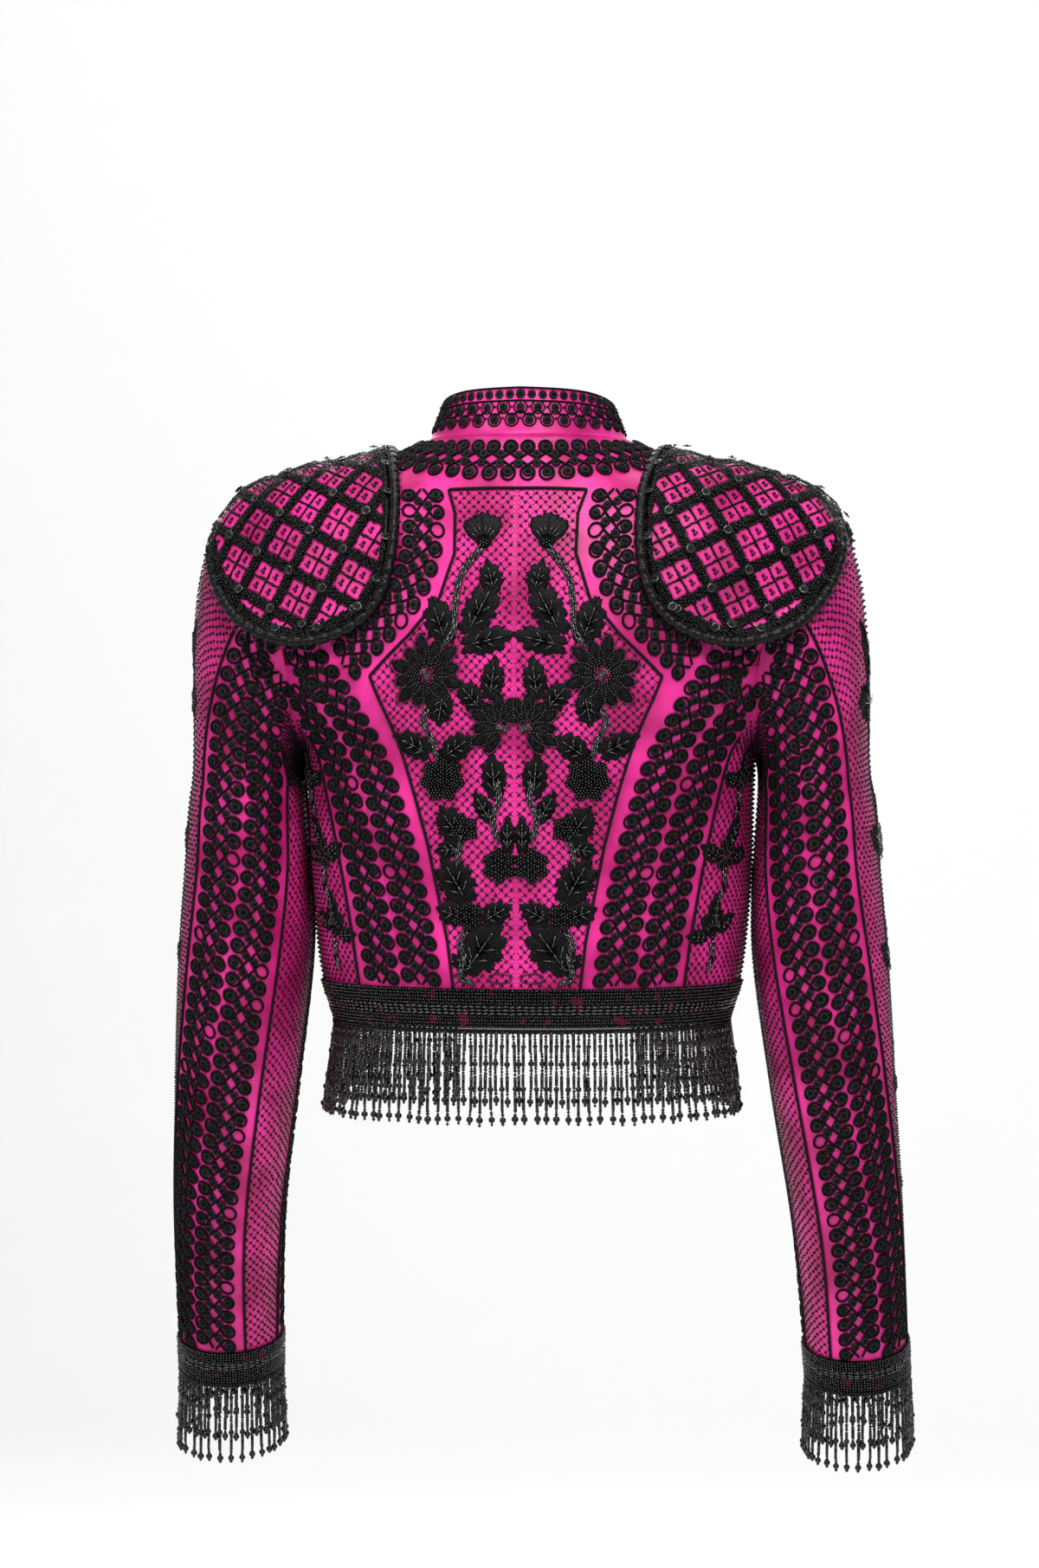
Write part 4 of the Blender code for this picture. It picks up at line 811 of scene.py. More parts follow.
def scattered(shape, centres, ahead, normals, size):
    """Copies of a small shape: each point is its centre + x * ahead + y * sideways + z * normal."""
    points, faces, uv = shape
    axes = np.stack([ahead, np.cross(normals, ahead), normals], axis=1)
    size = np.broadcast_to(size, (len(centres),)) if np.ndim(size) < 2 else size
    stretch = size[:, None, None] if size.ndim == 1 else size[:, None, :]
    placed = centres[:, None] + np.einsum("mkc,mcd->mkd", points[None] * stretch, axes)
    first = np.arange(len(centres))[:, None, None] * len(points)
    shifted = [(part[None] + first).reshape(-1, part.shape[1]) for part in faces]
    return placed.reshape(-1, 3), shifted, np.tile(uv, (len(centres), 1))


def merged(parts):
    """Several parts as one: their points in a row, and their faces numbered on."""
    first = np.cumsum([0] + [len(part[0]) for part in parts[:-1]])
    faces = [group + start for part, start in zip(parts, first) for group in part[1]]
    return np.concatenate([part[0] for part in parts]), faces, np.concatenate([part[2] for part in parts])


def with_twin(part):
    """A left part and its right twin, turned the right way out."""
    points, faces, uv = part
    return merged([part, (points * TWIN, [group[:, ::-1] for group in faces], uv)])


def lathe(profile, sides):
    """A small turned shape: the rings (radius, height) of a profile, with flat ends or a tip of radius 0."""
    angle = even_angles(sides)
    turn = np.stack([np.cos(angle), np.sin(angle)], axis=-1)
    tip = profile[-1][0] == 0
    rings = profile[:-1] if tip else profile
    points = [np.concatenate([turn * radius, np.full((sides, 1), high)], axis=1) for radius, high in rings]
    points = np.concatenate(points + ([[[0, 0, profile[-1][1]]]] if tip else []))
    ids = ring_ids(len(rings), sides)
    faces = [grid_quads(ids), ids[0, :-1][::-1][None]]
    if tip:
        top = np.full(sides, len(points) - 1)
        faces.append(np.stack([ids[-1, :-1], ids[-1, 1:], top], axis=-1))
    else:
        faces.append(ids[-1, :-1][None])
    return points, faces, points[:, :2] * 0.5 + 0.5


def octahedron():
    """The cheapest round bead: six points and eight faces."""
    points = np.array([[1, 0, 0], [0, 1, 0], [-1, 0, 0], [0, -1, 0], [0, 0, 1], [0, 0, -1]], float)
    faces = np.array([[0, 1, 4], [1, 2, 4], [2, 3, 4], [3, 0, 4], [1, 0, 5], [2, 1, 5], [3, 2, 5], [0, 3, 5]])
    return points, [faces], np.full((6, 2), 0.5)


def sewn_bead():
    """A bead that sits on something: four sides up to a tip, and a flat base a little below its middle."""
    points = np.array([[1, 0, -0.15], [0, 1, -0.15], [-1, 0, -0.15], [0, -1, -0.15], [0, 0, 1]], float)
    sides = np.array([[0, 1, 4], [1, 2, 4], [2, 3, 4], [3, 0, 4]])
    return points, [sides, np.array([[3, 2, 1, 0]])], np.full((5, 2), 0.5)


LOOP_CENTRE = 0.0098      # a loop's middle from the strip's middle
LOOP_RADIUS = 0.0046
LOOP_TURN = math.radians(152)         # how far round from its outside a loop runs before the next one
CROSS_PULL = 0.017        # how long the cord keeps its way when it leaves a loop
BRAID_SKEW = 0.22         # how far a strip's two edges are staggered, for each metre between them
CORD_HALF = 0.00108       # half the soutache's thickness
DISC, SMALL_DISC = 0.0038, 0.0034     # radii
FELT_THICK = 0.0010
EMPTY_LOOPS = 0.05        # the share of loops left without a disc
BEAD = 0.00105
DISC_TILT = 0.06          # how unevenly the discs lean
DISC_WANDER, CROSSING_WANDER = 0.00035, 0.0003     # how far they stray from their places
DISC_LIFT, SMALL_LIFT = 0.0004, 0.0009
CROSSING_ASIDE, CROSSING_BACK = 0.0034, 0.0021     # from where two cords cross to the small disc there
CORD_SINK = 0.8           # the cord's middle lies this share of its half thickness above the cloth
CORD_OVER = 0.0004        # half of how much higher one cord goes over the other
SEED, SEWN_SEED = octahedron(), sewn_bead()
FELT_BIG = lathe([(1.0, 0.0), (0.93, 0.27), (0.42, 0.30), (0.0, 0.10)], 10)
FELT_SMALL = lathe([(1.0, 0.0), (0.90, 0.32), (0.42, 0.34), (0.0, 0.16)], 7)
chance = np.random.default_rng(7)
cords, discs, beads = [], [], []


def sewn_discs(lay, along, sideways, radius, shape, lift):
    """Felt discs, each with its bead, laid at places along and beside a line."""
    centres, normals = beside(lay, along, sideways, lift)
    near = beside(lay, along + 0.001, sideways, lift)[0]
    ahead = square_to(unit(near - centres), normals)
    tilt = chance.normal(0, DISC_TILT, centres.shape)
    leaning = unit(normals + tilt)
    ahead = square_to(ahead, leaning)
    size = radius * chance.uniform(0.93, 1.06, len(centres))
    discs.append(scattered(shape, centres, ahead, leaning, size))
    beads.append(scattered(SEWN_SEED, centres + leaning * (FELT_THICK + 0.0002), ahead, leaning, BEAD))


def looped_line(half_period):
    """Half a period of a looped cord, sideways and along, from one loop's start to the next one's.

    It is an arc round the loop's middle, then a cubic curve that keeps its way at both ends.
    """
    turn = np.linspace(LOOP_TURN, -LOOP_TURN, 12)
    loop = np.stack([LOOP_CENTRE + LOOP_RADIUS * np.cos(turn), LOOP_RADIUS * np.sin(turn)], axis=-1)
    way = np.array([-math.sin(LOOP_TURN), -math.cos(LOOP_TURN)]) * CROSS_PULL
    there = loop[0] * [-1, 1] + [0, half_period]
    u = np.linspace(0, 1, 8)[1:-1, None]
    crossing = loop[-1] * (2 * u**3 - 3 * u**2 + 1) + there * (3 * u**2 - 2 * u**3)
    crossing = crossing + way * (u**3 - 2 * u**2 + u) + way * (u**3 - u**2)
    return np.concatenate([loop, crossing])


def guipure(lay, period, wide=1.0, skew=BRAID_SKEW):
    """A strip of two looped cords, each the mirror image of the other, with discs."""
    count = max(1, round(lay.run[-1] / period))
    half_period = lay.run[-1] / count / 2
    half = looped_line(half_period)
    places = (np.arange(2 * count) + 0.5) * half_period
    ends = np.concatenate([places[:1] - half_period, places])
    line = np.concatenate([half * [-((-1) ** k), 1] + [0, place] for k, place in enumerate(ends)])
    line = line[(line[:, 1] >= 0) & (line[:, 1] <= lay.run[-1])]
    over = CORD_OVER * (1 + np.cos(line[:, 1] / half_period * 2 * math.pi))
    for mirror in (1, -1):
        sideways = mirror * wide * line[:, 0]
        along = np.clip(line[:, 1] + skew * sideways, 0, lay.run[-1])
        lift = CORD_HALF * CORD_SINK + (over if mirror > 0 else CORD_OVER)
        points, normals = beside(lay, along, sideways, lift)
        cords.append(tube(points, normals, CORD_HALF))
    for mirror in (1, -1):
        kept = chance.random(len(places)) > EMPTY_LOOPS
        wander = chance.normal(0, DISC_WANDER, (2, kept.sum()))
        middle = mirror * wide * LOOP_CENTRE + wander[1]
        sewn_discs(lay, places[kept] + wander[0] + skew * middle, middle, DISC, FELT_BIG, DISC_LIFT)
        crossings = np.arange(0 if skew == 0 else 1, 2 * count) * half_period
        crossings = crossings - mirror * CROSSING_BACK * (skew != 0)
        aside = mirror * -CROSSING_ASIDE * wide + chance.normal(0, CROSSING_WANDER, len(crossings))
        sewn_discs(lay, crossings, aside, SMALL_DISC, FELT_SMALL, SMALL_LIFT)


def nearest(chart, targets):
    """The distances across and rows of the points of a chart nearest to some targets."""
    flat = chart.points.reshape(-1, 3)
    found = ((targets[:, None] - flat[None]) ** 2).sum(-1).argmin(axis=1)
    rows, columns = chart.points.shape[:2]
    across = found % columns * chart.pitch
    row = chart.low + found // columns * (chart.high - chart.low) / (rows - 1)
    return np.minimum(across, np.interp(row, np.linspace(chart.low, chart.high, rows), chart.width)), row


def smoothed(values, times=6):
    """A row of numbers with its small steps evened out, its ends kept."""
    values = np.array(values, float)
    for _ in range(times):
        values[1:-1] = (values[:-2] + 2 * values[1:-1] + values[2:]) / 4
    return values


def width_at(chart, row):
    """How wide a chart is at each row."""
    return np.interp(row, np.linspace(chart.low, chart.high, CHART_ROWS), chart.width)


NECK_END = 0.86           # the share of the neck seam where its strip begins to turn along the shoulder


def under_neck(chart, side, off):
    """A line on the cloth at a distance below the neck seam, from the middle out to the shoulder seam."""
    share = np.linspace(0.0, 1.0, 41)
    seam = neckline(share, side)
    run = unit(np.gradient(seam, axis=0))
    heading = -top_heading(share * NECK_SHARE, side)
    along_seam = unit(SHOULDER - SIDE_NECK)
    away = square_to(heading, run)
    turned = np.clip((share - NECK_END) / (1 - NECK_END), 0, 1) ** 1.5
    away = unit(lerp(away, along_seam, column(turned)))
    across, row = nearest(chart, seam + away * off)
    return smoothed(across, 12), smoothed(row, 12)


STRIP_MIDDLE = 0.0157     # from a seam to the middle of its strip
CUFF_START = 3.4063       # the sleeve's row at the cuff band's top edge
Yoke = namedtuple("Yoke", "height from_centre")
YOKE_STRIP = [
    Yoke(0.2530, 0.1220), Yoke(0.2617, 0.1114), Yoke(0.2704, 0.1004), Yoke(0.2776, 0.0924),
    Yoke(0.2865, 0.0835), Yoke(0.2955, 0.0758), Yoke(0.3050, 0.0707), Yoke(0.3150, 0.0670),
    Yoke(0.3295, 0.0642), Yoke(0.3451, 0.0642), Yoke(0.3700, 0.0665),
]
NECK_MIDDLE = 0.0205      # from the neck seam to the middle of its wider strip
NECK_WIDE = 1.05


def slanting(chart, row):
    """How much longer a step along a row is than the same step square to the panel's far seam."""
    return np.sqrt(1 + (np.gradient(width_at(chart, row)) / np.gradient(row)) ** 2)


def strip_lines():
    """Each strip on the left half: its chart, its middle line's distances and rows, its period and width."""
    lines = []
    back, side, fore = CHARTS["back_centre"], CHARTS["back_side"], CHARTS["front"]
    row = np.linspace(BAND_TOP + 0.001, 0.277, 126)
    lean = smoothed(slanting(back, row), 20)
    lines.append((back, width_at(back, row) - STRIP_MIDDLE * lean, row, 0.0236, 1.0))
    row = np.linspace(BAND_TOP + 0.001, 0.247, 120)
    lean = smoothed(slanting(back, row), 20)
    lines.append((side, np.minimum(STRIP_MIDDLE * lean, width_at(side, row) * 0.5), row, 0.0236, 1.0))
    row = np.linspace(YOKE_STRIP[0].height, YOKE_STRIP[-1].height, 90)
    lines.append((back, smooth_table(YOKE_STRIP, row)[0], row, 0.0260, 1.0))
    lines.append((back, *under_neck(back, 1, NECK_MIDDLE), 0.0250, NECK_WIDE))
    lines.append((fore, *under_neck(fore, -1, NECK_MIDDLE), 0.0250, NECK_WIDE))
    row = np.linspace(BAND_TOP + 0.001, 0.368, 140)
    lines.append((fore, np.full(140, STRIP_MIDDLE), row, 0.0240, 1.0))
    for name in ("sleeve_upper", "sleeve_under"):
        arm = CHARTS[name]
        row = np.linspace(0.05, CUFF_START - 0.012, 200)
        lines.append((arm, np.full(200, STRIP_MIDDLE), row, 0.0245, 1.0))
        lines.append((arm, width_at(arm, row) - STRIP_MIDDLE, row, 0.0245, 1.0))
    return lines


for *line, period, wide in strip_lines():
    guipure(lay_of(*line), period, wide, 0.0 if wide == NECK_WIDE else BRAID_SKEW)
row = np.linspace(0.232, 0.272, 40)
seam_side = lay_of(CHARTS["back_centre"], width_at(CHARTS["back_centre"], row) - 0.0028, row)
sewn_discs(seam_side, np.array([0.0050, 0.0125, 0.0200, 0.0275]), np.zeros(4), DISC, FELT_BIG, 0.0006)


def cord_finish(name, colour, roughness, twist, gloss=0.14):
    """Twisted silk cord: slanting plies along it, `twist` metres apart, each ply's crest lighter: a painted
    highlight.
    """
    made, tree, surface = shader(name)
    apart = node(tree, "ShaderNodeSeparateXYZ", {0: on_cloth(tree)})
    turns = sums(tree, "ADD", sums(tree, "DIVIDE", apart.outputs[0], twist), apart.outputs[1])
    ply = sums(tree, "SINE", sums(tree, "MULTIPLY", turns, 2 * math.pi))
    # Painted highlight: each ply's crest gets a lighter colour, where the light would catch it.
    light = tuple(min(1.0, 2.2 * value) for value in colour[:3]) + (1,)
    bumped(tree, surface, ply, 0.6, 0.0003)
    coloured(tree, surface, mixed(tree, between(tree, ply, -1.0, 1.0), colour, light), roughness, gloss)
    return made


def felt_finish():
    """Charcoal felt: a matt nap, lighter where its fibres catch the light, with painted shade round the bead
    and at the rim.
    """
    made, tree, surface = shader("charcoal_felt")
    nap, patch = noise(tree, on_jacket(tree), 900.0, 3.0), noise(tree, on_jacket(tree), 120.0, 1.0)
    share = sums(tree, "ADD", sums(tree, "MULTIPLY", nap, 0.6), sums(tree, "MULTIPLY", patch, 0.4))
    colour = mixed(tree, between(tree, share, 0.3, 0.7), (0.008, 0.008, 0.009, 1), (0.026, 0.026, 0.027, 1))
    middle = {0: on_cloth(tree), 1: (0.5, 0.5, 0.0)}
    from_middle = node(tree, "ShaderNodeVectorMath", middle, operation="DISTANCE").outputs["Value"]
    # Painted shade: near black in the dimple round the bead and on the disc's rim and side, where shade
    # falls.
    dimple_shade, edge = between(tree, from_middle, 0.17, 0.24, 1.0, 0.0), between(tree, from_middle, 0.43, 0.49)
    colour = mixed(tree, sums(tree, "MAXIMUM", dimple_shade, edge), colour, (0.002, 0.002, 0.0022, 1))
    bumped(tree, surface, nap, 0.6, 0.0003)
    coloured(tree, surface, colour, 0.85, 0.06)
    return made


def jet_finish(name, gloss):
    """Black glass beads: a hard gloss, with a fine unevenness so that each glints its own way."""
    made, tree, surface = shader(name)
    wave = noise(tree, on_jacket(tree), 500.0, 1.0)
    colour = mixed(tree, wave, (0.0004, 0.0004, 0.0006, 1), (0.0015, 0.0015, 0.0018, 1))
    bumped(tree, surface, wave, 0.25, 0.0004)
    coloured(tree, surface, colour, between(tree, wave, 0.3, 0.7, 0.07, 0.18), gloss)
    return made


SOUTACHE = cord_finish("soutache_cord", (0.0025, 0.0025, 0.0028, 1), 0.6, 0.0016)
FELT, JET = felt_finish(), jet_finish("jet_glass", 0.42)


def black_piece(name, parts, finish):
    """One black trimming, on both halves of the jacket."""
    points, faces, uv = with_twin(merged(parts))
    piece = made_piece(name, points, faces, finish, uv)


black_piece("guipure_cords", cords, SOUTACHE)
black_piece("guipure_discs", discs, FELT)
black_piece("guipure_beads", beads, JET)


# ================================================================ outline cords and the netting's beads
# A fine cord edges each netted panel, and a small jet bead is sewn at every knot of the net.
OUTLINE_HALF = 0.00110    # half the outline cord's thickness
BEND = 0.0006             # how close to a sharp corner of a line its points stand
outlines, knots = [], []


def outline_cord(chart, across, row):
    """One cord laid along a line on a chart."""
    points, normals = laid(chart, across, row, OUTLINE_HALF * CORD_SINK)
    outlines.append(tube(points, normals, OUTLINE_HALF, 5))


def measured_line(corners, step=0.003):
    """The points of a line with sharp corners, about a step apart."""
    corners = np.array([tuple(corner) for corner in corners], float)
    run = length_along(corners)
    bends = run[1:-1]
    at = np.sort(np.concatenate([np.arange(0, run[-1], step), bends - BEND, bends + BEND, run[-1:]]))
    return [np.interp(at, run, values) for values in corners.T]


back, side, fore = CHARTS["back_centre"], CHARTS["back_side"], CHARTS["front"]
line = [corner for corner in BACK_OUTLINE if corner.height > BAND_TOP] + [Corner(BAND_TOP, 0.0435)]
row, across = measured_line(line)
outline_cord(back, across, row)
row = np.linspace(BAND_TOP, 0.205, 70)
outline_cord(side, np.full(70, NET_START), row)
row, across = measured_line([(BAND_TOP, NET_START), (0.378, NET_START), (0.378, 0.100), (0.4195, 0.1138)])
outline_cord(fore, across, row)
for name, start in (("sleeve_upper", 0.12), ("sleeve_under", 0.45)):
    arm = CHARTS[name]
    row = np.linspace(start, CUFF_START, 130)
    outline_cord(arm, np.full(130, NET_START), row)
    outline_cord(arm, width_at(arm, row) - NET_START, row)

NET_BEAD = 0.00130
KNOT_WANDER = 0.00045     # how far a knot strays to the side
KNOT_INSIDE = 0.0014      # how far inside the netting's edge the last knots lie
KNOT_LIFT = 0.0006
SLEEVE_NET_TOP = 0.10     # the sleeve's row where its net begins
for panel in PANELS:
    chart = CHARTS[panel.name]
    reach = int((chart.width.max() + (panel.high - panel.low) * panel.scale) / NET_PITCH) + 2
    i, j = np.meshgrid(np.arange(-reach, 2 * reach), np.arange(-2 * reach, 2 * reach), indexing="ij")
    across, up = (i + j).ravel() * NET_PITCH * math.sqrt(0.5), (i - j).ravel() * NET_PITCH * math.sqrt(0.5)
    row = up / panel.scale
    first, last = (SLEEVE_NET_TOP, CUFF_START - 0.01) if "sleeve" in panel.name else (BAND_TOP, panel.high)
    kept = (row > first) & (row < last) & (across > 0.0012) & (across < width_at(chart, row) - 0.002)
    across, row = across[kept], row[kept]
    kept = panel.net(across, row, width_at(chart, row)) > KNOT_INSIDE
    across, row = across[kept] + chance.normal(0, KNOT_WANDER, kept.sum()), row[kept]
    points, normals = laid(chart, across, row, KNOT_LIFT)
    ahead = unit(np.cross(normals, [0.3, 0.2, 0.9]))
    knots.append(scattered(SEWN_SEED, points, ahead, normals, NET_BEAD))

black_piece("panel_outline_cords", outlines, SOUTACHE)
black_piece("net_beads", knots, JET)


# ================================================================ the epaulets
# A padded oval of satin over each shoulder, worked with a diamond lattice of seed beads in raised rows,
# finer lines of single beads between them, sequins where the rows cross, and a thickly beaded edge.
EPAULET_EYE = np.array([0.140, 0.0, -0.190])       # a point inside the shoulder that sees the whole epaulet
EPAULET_RINGS = np.array([0.0, 0.25, 0.47, 0.66, 0.82, 0.90, 1.0])   # from its middle to its edge
EPAULET_TURNS = 36
PAD_EDGE = 0.0050         # the pad's thickness at its edge
ON_RAY = 0.004            # radians between a ray of the pad's grid and a CAD corner that lies on it
# The outline, seen as points near the cloth, from the middle of the outer side round the back.
Outline = namedtuple("Outline", "x y z")
EPAULET = [
    Outline(0.219, 0.000, -0.038), Outline(0.216, 0.021, -0.063), Outline(0.210, 0.038, -0.089),
    Outline(0.198, 0.052, -0.114), Outline(0.178, 0.064, -0.135), Outline(0.151, 0.076, -0.144),
    Outline(0.123, 0.086, -0.135), Outline(0.101, 0.093, -0.115), Outline(0.091, 0.091, -0.086),
    Outline(0.091, 0.077, -0.058), Outline(0.095, 0.055, -0.036), Outline(0.098, 0.029, -0.019),
    Outline(0.100, 0.000, -0.006), Outline(0.098, -0.034, -0.019), Outline(0.095, -0.064, -0.034),
    Outline(0.091, -0.090, -0.056), Outline(0.091, -0.106, -0.084), Outline(0.101, -0.108, -0.113),
    Outline(0.123, -0.100, -0.133), Outline(0.151, -0.088, -0.142), Outline(0.178, -0.074, -0.133),
    Outline(0.198, -0.061, -0.112), Outline(0.210, -0.044, -0.087), Outline(0.216, -0.024, -0.063),
]


def outline_curve(turn):
    """The direction from the eye to the outline at a turn of 0..1: a closed cubic through its points."""
    ways = unit(np.array([tuple(point) for point in EPAULET]) - EPAULET_EYE)
    count = len(ways)
    place = (np.asarray(turn) % 1.0) * count
    k = place.astype(int) % count
    slope = (np.roll(ways, -1, axis=0) - np.roll(ways, 1, axis=0)) / 2
    after = (k + 1) % count
    return unit(hermite(ways[k], ways[after], slope[k], slope[after], place - np.floor(place)))


def outline_way(turn, wider=0.0):
    """The direction to the outline, pushed squarely out by `wider`, and the direction to its middle."""
    small = 1e-4
    way = outline_curve(turn)
    run = outline_curve(np.asarray(turn) + small) - outline_curve(np.asarray(turn) - small)
    middle = unit(outline_curve(np.arange(0, 1, 0.05)).mean(axis=0))
    away = unit(np.cross(way, run))
    away = away * np.sign(np.sum(away * (way - middle), axis=-1, keepdims=True))
    return unit(way + away * wider), middle


def node_points(name):
    """The corners of a CAD node, as seen from the epaulet's eye: their directions and distances."""
    mesh = bpy.data.objects[name].data
    points = np.empty(len(mesh.vertices) * 3)
    mesh.vertices.foreach_get("co", points)
    points = np.unique(np.round(points.reshape(-1, 3), 6), axis=0) - EPAULET_EYE
    distance = np.linalg.norm(points, axis=1)
    return points / distance[:, None], distance


def pad_distances():
    """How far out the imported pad's face lies on each ray of its own polar grid (rings, turns)."""
    ways, distance = node_points("epaulet_left")
    edge, middle = outline_way(np.arange(EPAULET_TURNS) / EPAULET_TURNS)
    rays = unit(lerp(middle, edge[None], EPAULET_RINGS[:, None, None]))
    on_ray = np.einsum("rtc,nc->rtn", rays, ways) > math.cos(ON_RAY)
    found = np.where(on_ray, distance, 0.0).max(axis=-1)
    return np.where(found > 0, found, found[found > 0].mean())


PAD_FAR = pad_distances()


def pad(turn, ring):
    """The pad's face: rays from the eye at a turn round it and a ring out from its middle.

    The distance along a ray is a closed cubic round each ring, and cubics carry it from ring to ring.
    """
    turn, ring = np.broadcast_arrays(np.asarray(turn, float), np.asarray(ring, float))
    shape, turn, ring = turn.shape, turn.ravel(), ring.ravel()
    place = (turn % 1.0) * EPAULET_TURNS
    k = place.astype(int) % EPAULET_TURNS
    after = (k + 1) % EPAULET_TURNS
    slope = (np.roll(PAD_FAR, -1, axis=1) - np.roll(PAD_FAR, 1, axis=1)) / 2
    ends = [values[:, each, None] for values in (PAD_FAR, slope) for each in (k, after)]
    rows = hermite(*ends, np.tile(place - np.floor(place), (len(PAD_FAR), 1)))
    steep = slopes(EPAULET_RINGS, rows)
    steep[0] = 0
    far = through_rows(EPAULET_RINGS, rows, steep, steep, ring)
    edge, middle = outline_way(turn)
    return (EPAULET_EYE + unit(lerp(middle, edge, column(ring))) * far).reshape(*shape, 3)


PAD_MIDDLE = outline_way(np.array([0.0]))[1]
PAD_RIGHT = unit(np.array([-1.0, 0, 0]) + PAD_MIDDLE[0] * PAD_MIDDLE)
PAD_DOWN = np.cross(PAD_MIDDLE, PAD_RIGHT)
PAD_DOWN = PAD_DOWN * (1 if PAD_DOWN[2] < 0 else -1)
PAD_TURNS = np.linspace(0, 1, 145)
pad_rays = outline_curve(PAD_TURNS)
PAD_BEARING = np.unwrap(np.arctan2(pad_rays @ PAD_DOWN, pad_rays @ PAD_RIGHT))
PAD_SAMPLES = np.linspace(0, 1, 41)
pad_grid = pad(PAD_TURNS[:, None], PAD_SAMPLES[None, :])
pad_steps = np.linalg.norm(np.diff(pad_grid, axis=1), axis=-1)
pad_runs = np.concatenate([np.zeros((len(PAD_TURNS), 1)), np.cumsum(pad_steps, axis=1)], axis=1)
PAD_REACH, PAD_PROFILE = pad_runs[:, -1], (pad_runs / pad_runs[:, -1:]).mean(axis=0)


def pad_place(right, down):
    """The turn, ring and distance inside the edge of a place on the pad laid flat from its middle."""
    bearing = np.arctan2(down, right)
    low = min(PAD_BEARING[0], PAD_BEARING[-1])
    bearing = low + (bearing - low) % (2 * math.pi)
    order = np.argsort(PAD_BEARING)
    turn = np.interp(bearing, PAD_BEARING[order], PAD_TURNS[order])
    reach = np.interp(turn, PAD_TURNS, PAD_REACH)
    distance = np.hypot(right, down)
    return turn, np.interp(distance / reach, PAD_PROFILE, PAD_SAMPLES), reach - distance


def on_pad(right, down, lift=0.0):
    """Points on the pad laid flat, moved out by lift, and their normals from small steps each way."""
    def face(x, y):
        return pad(*pad_place(x, y)[:2])
    small = 0.0015
    first = face(right, down + small) - face(right, down - small)
    second = face(right + small, down) - face(right - small, down)
    normals = unit(np.cross(first, second))
    normals = normals * np.sign((normals @ PAD_MIDDLE))[..., None]
    return face(right, down) + normals * column(np.broadcast_to(lift, np.shape(right))), normals


LATTICE_PITCH = 0.0300    # from one raised row of beads to the next
LATTICE_TURN = math.radians(29)
ROW_HALF = 0.0037         # half a raised row's width
RIM_WIDE = 0.0110
CREST_HALF = 0.0110       # half the beaded band over the top of the shoulder
SEED_HALF = 0.00108
BALL = 0.100              # the radius of the ball that the pad is laid flat from
# The middle of one of the lattice's squares, behind the shoulder, and the pad's way out there.
from_spot = np.linalg.norm(pad_grid[..., [0, 2]] - [0.139, -0.084], axis=-1)
behind = (from_spot + (pad_grid[..., 1] < 0.01)).argmin()
i, j = np.unravel_index(behind, pad_grid.shape[:2])
LATTICE_MIDDLE = pad_grid[i, j]
LATTICE_OUT = unit(np.cross(pad_grid[i + 1, j] - pad_grid[i - 1, j], pad_grid[i, j + 1] - pad_grid[i, j - 1]))
LATTICE_OUT = LATTICE_OUT * np.sign(LATTICE_OUT[1])
LATTICE_RIGHT = unit(np.array([-1.0, 0, 0]) + LATTICE_OUT[0] * LATTICE_OUT)
LATTICE_DOWN = np.cross(LATTICE_OUT, LATTICE_RIGHT)
LATTICE_DOWN = LATTICE_DOWN * -np.sign(LATTICE_DOWN[2])
middle_right = PAD_REACH[i] * PAD_PROFILE[j] * math.cos(PAD_BEARING[i])
middle_down = PAD_REACH[i] * PAD_PROFILE[j] * math.sin(PAD_BEARING[i])


def laid_flat(points):
    """Points of the pad laid flat round the lattice's middle; the front is the mirror image of the back.

    Their bearing is kept, and a distance d becomes the arc over it on a ball: d (1 + d^2 / (24 r^2)).
    """
    way = points * [1, 0, 1] + np.abs(points) * [0, 1, 0] - LATTICE_MIDDLE
    far = np.linalg.norm(way, axis=-1, keepdims=True)
    flat = unit(way - column((way * LATTICE_OUT).sum(-1)) * LATTICE_OUT) * far * (1 + far**2 / (24 * BALL**2))
    return flat @ LATTICE_RIGHT, flat @ LATTICE_DOWN


def lattice_of(right, down):
    """A place laid flat in steps along the lattice's two ways, which are square to each other."""
    c, s = math.cos(LATTICE_TURN), math.sin(LATTICE_TURN)
    return c * right + s * down, c * down - s * right


def flat_of(first, second):
    """The place laid flat of steps along the lattice's two ways."""
    c, s = math.cos(LATTICE_TURN), math.sin(LATTICE_TURN)
    return c * first - s * second, s * first + c * second


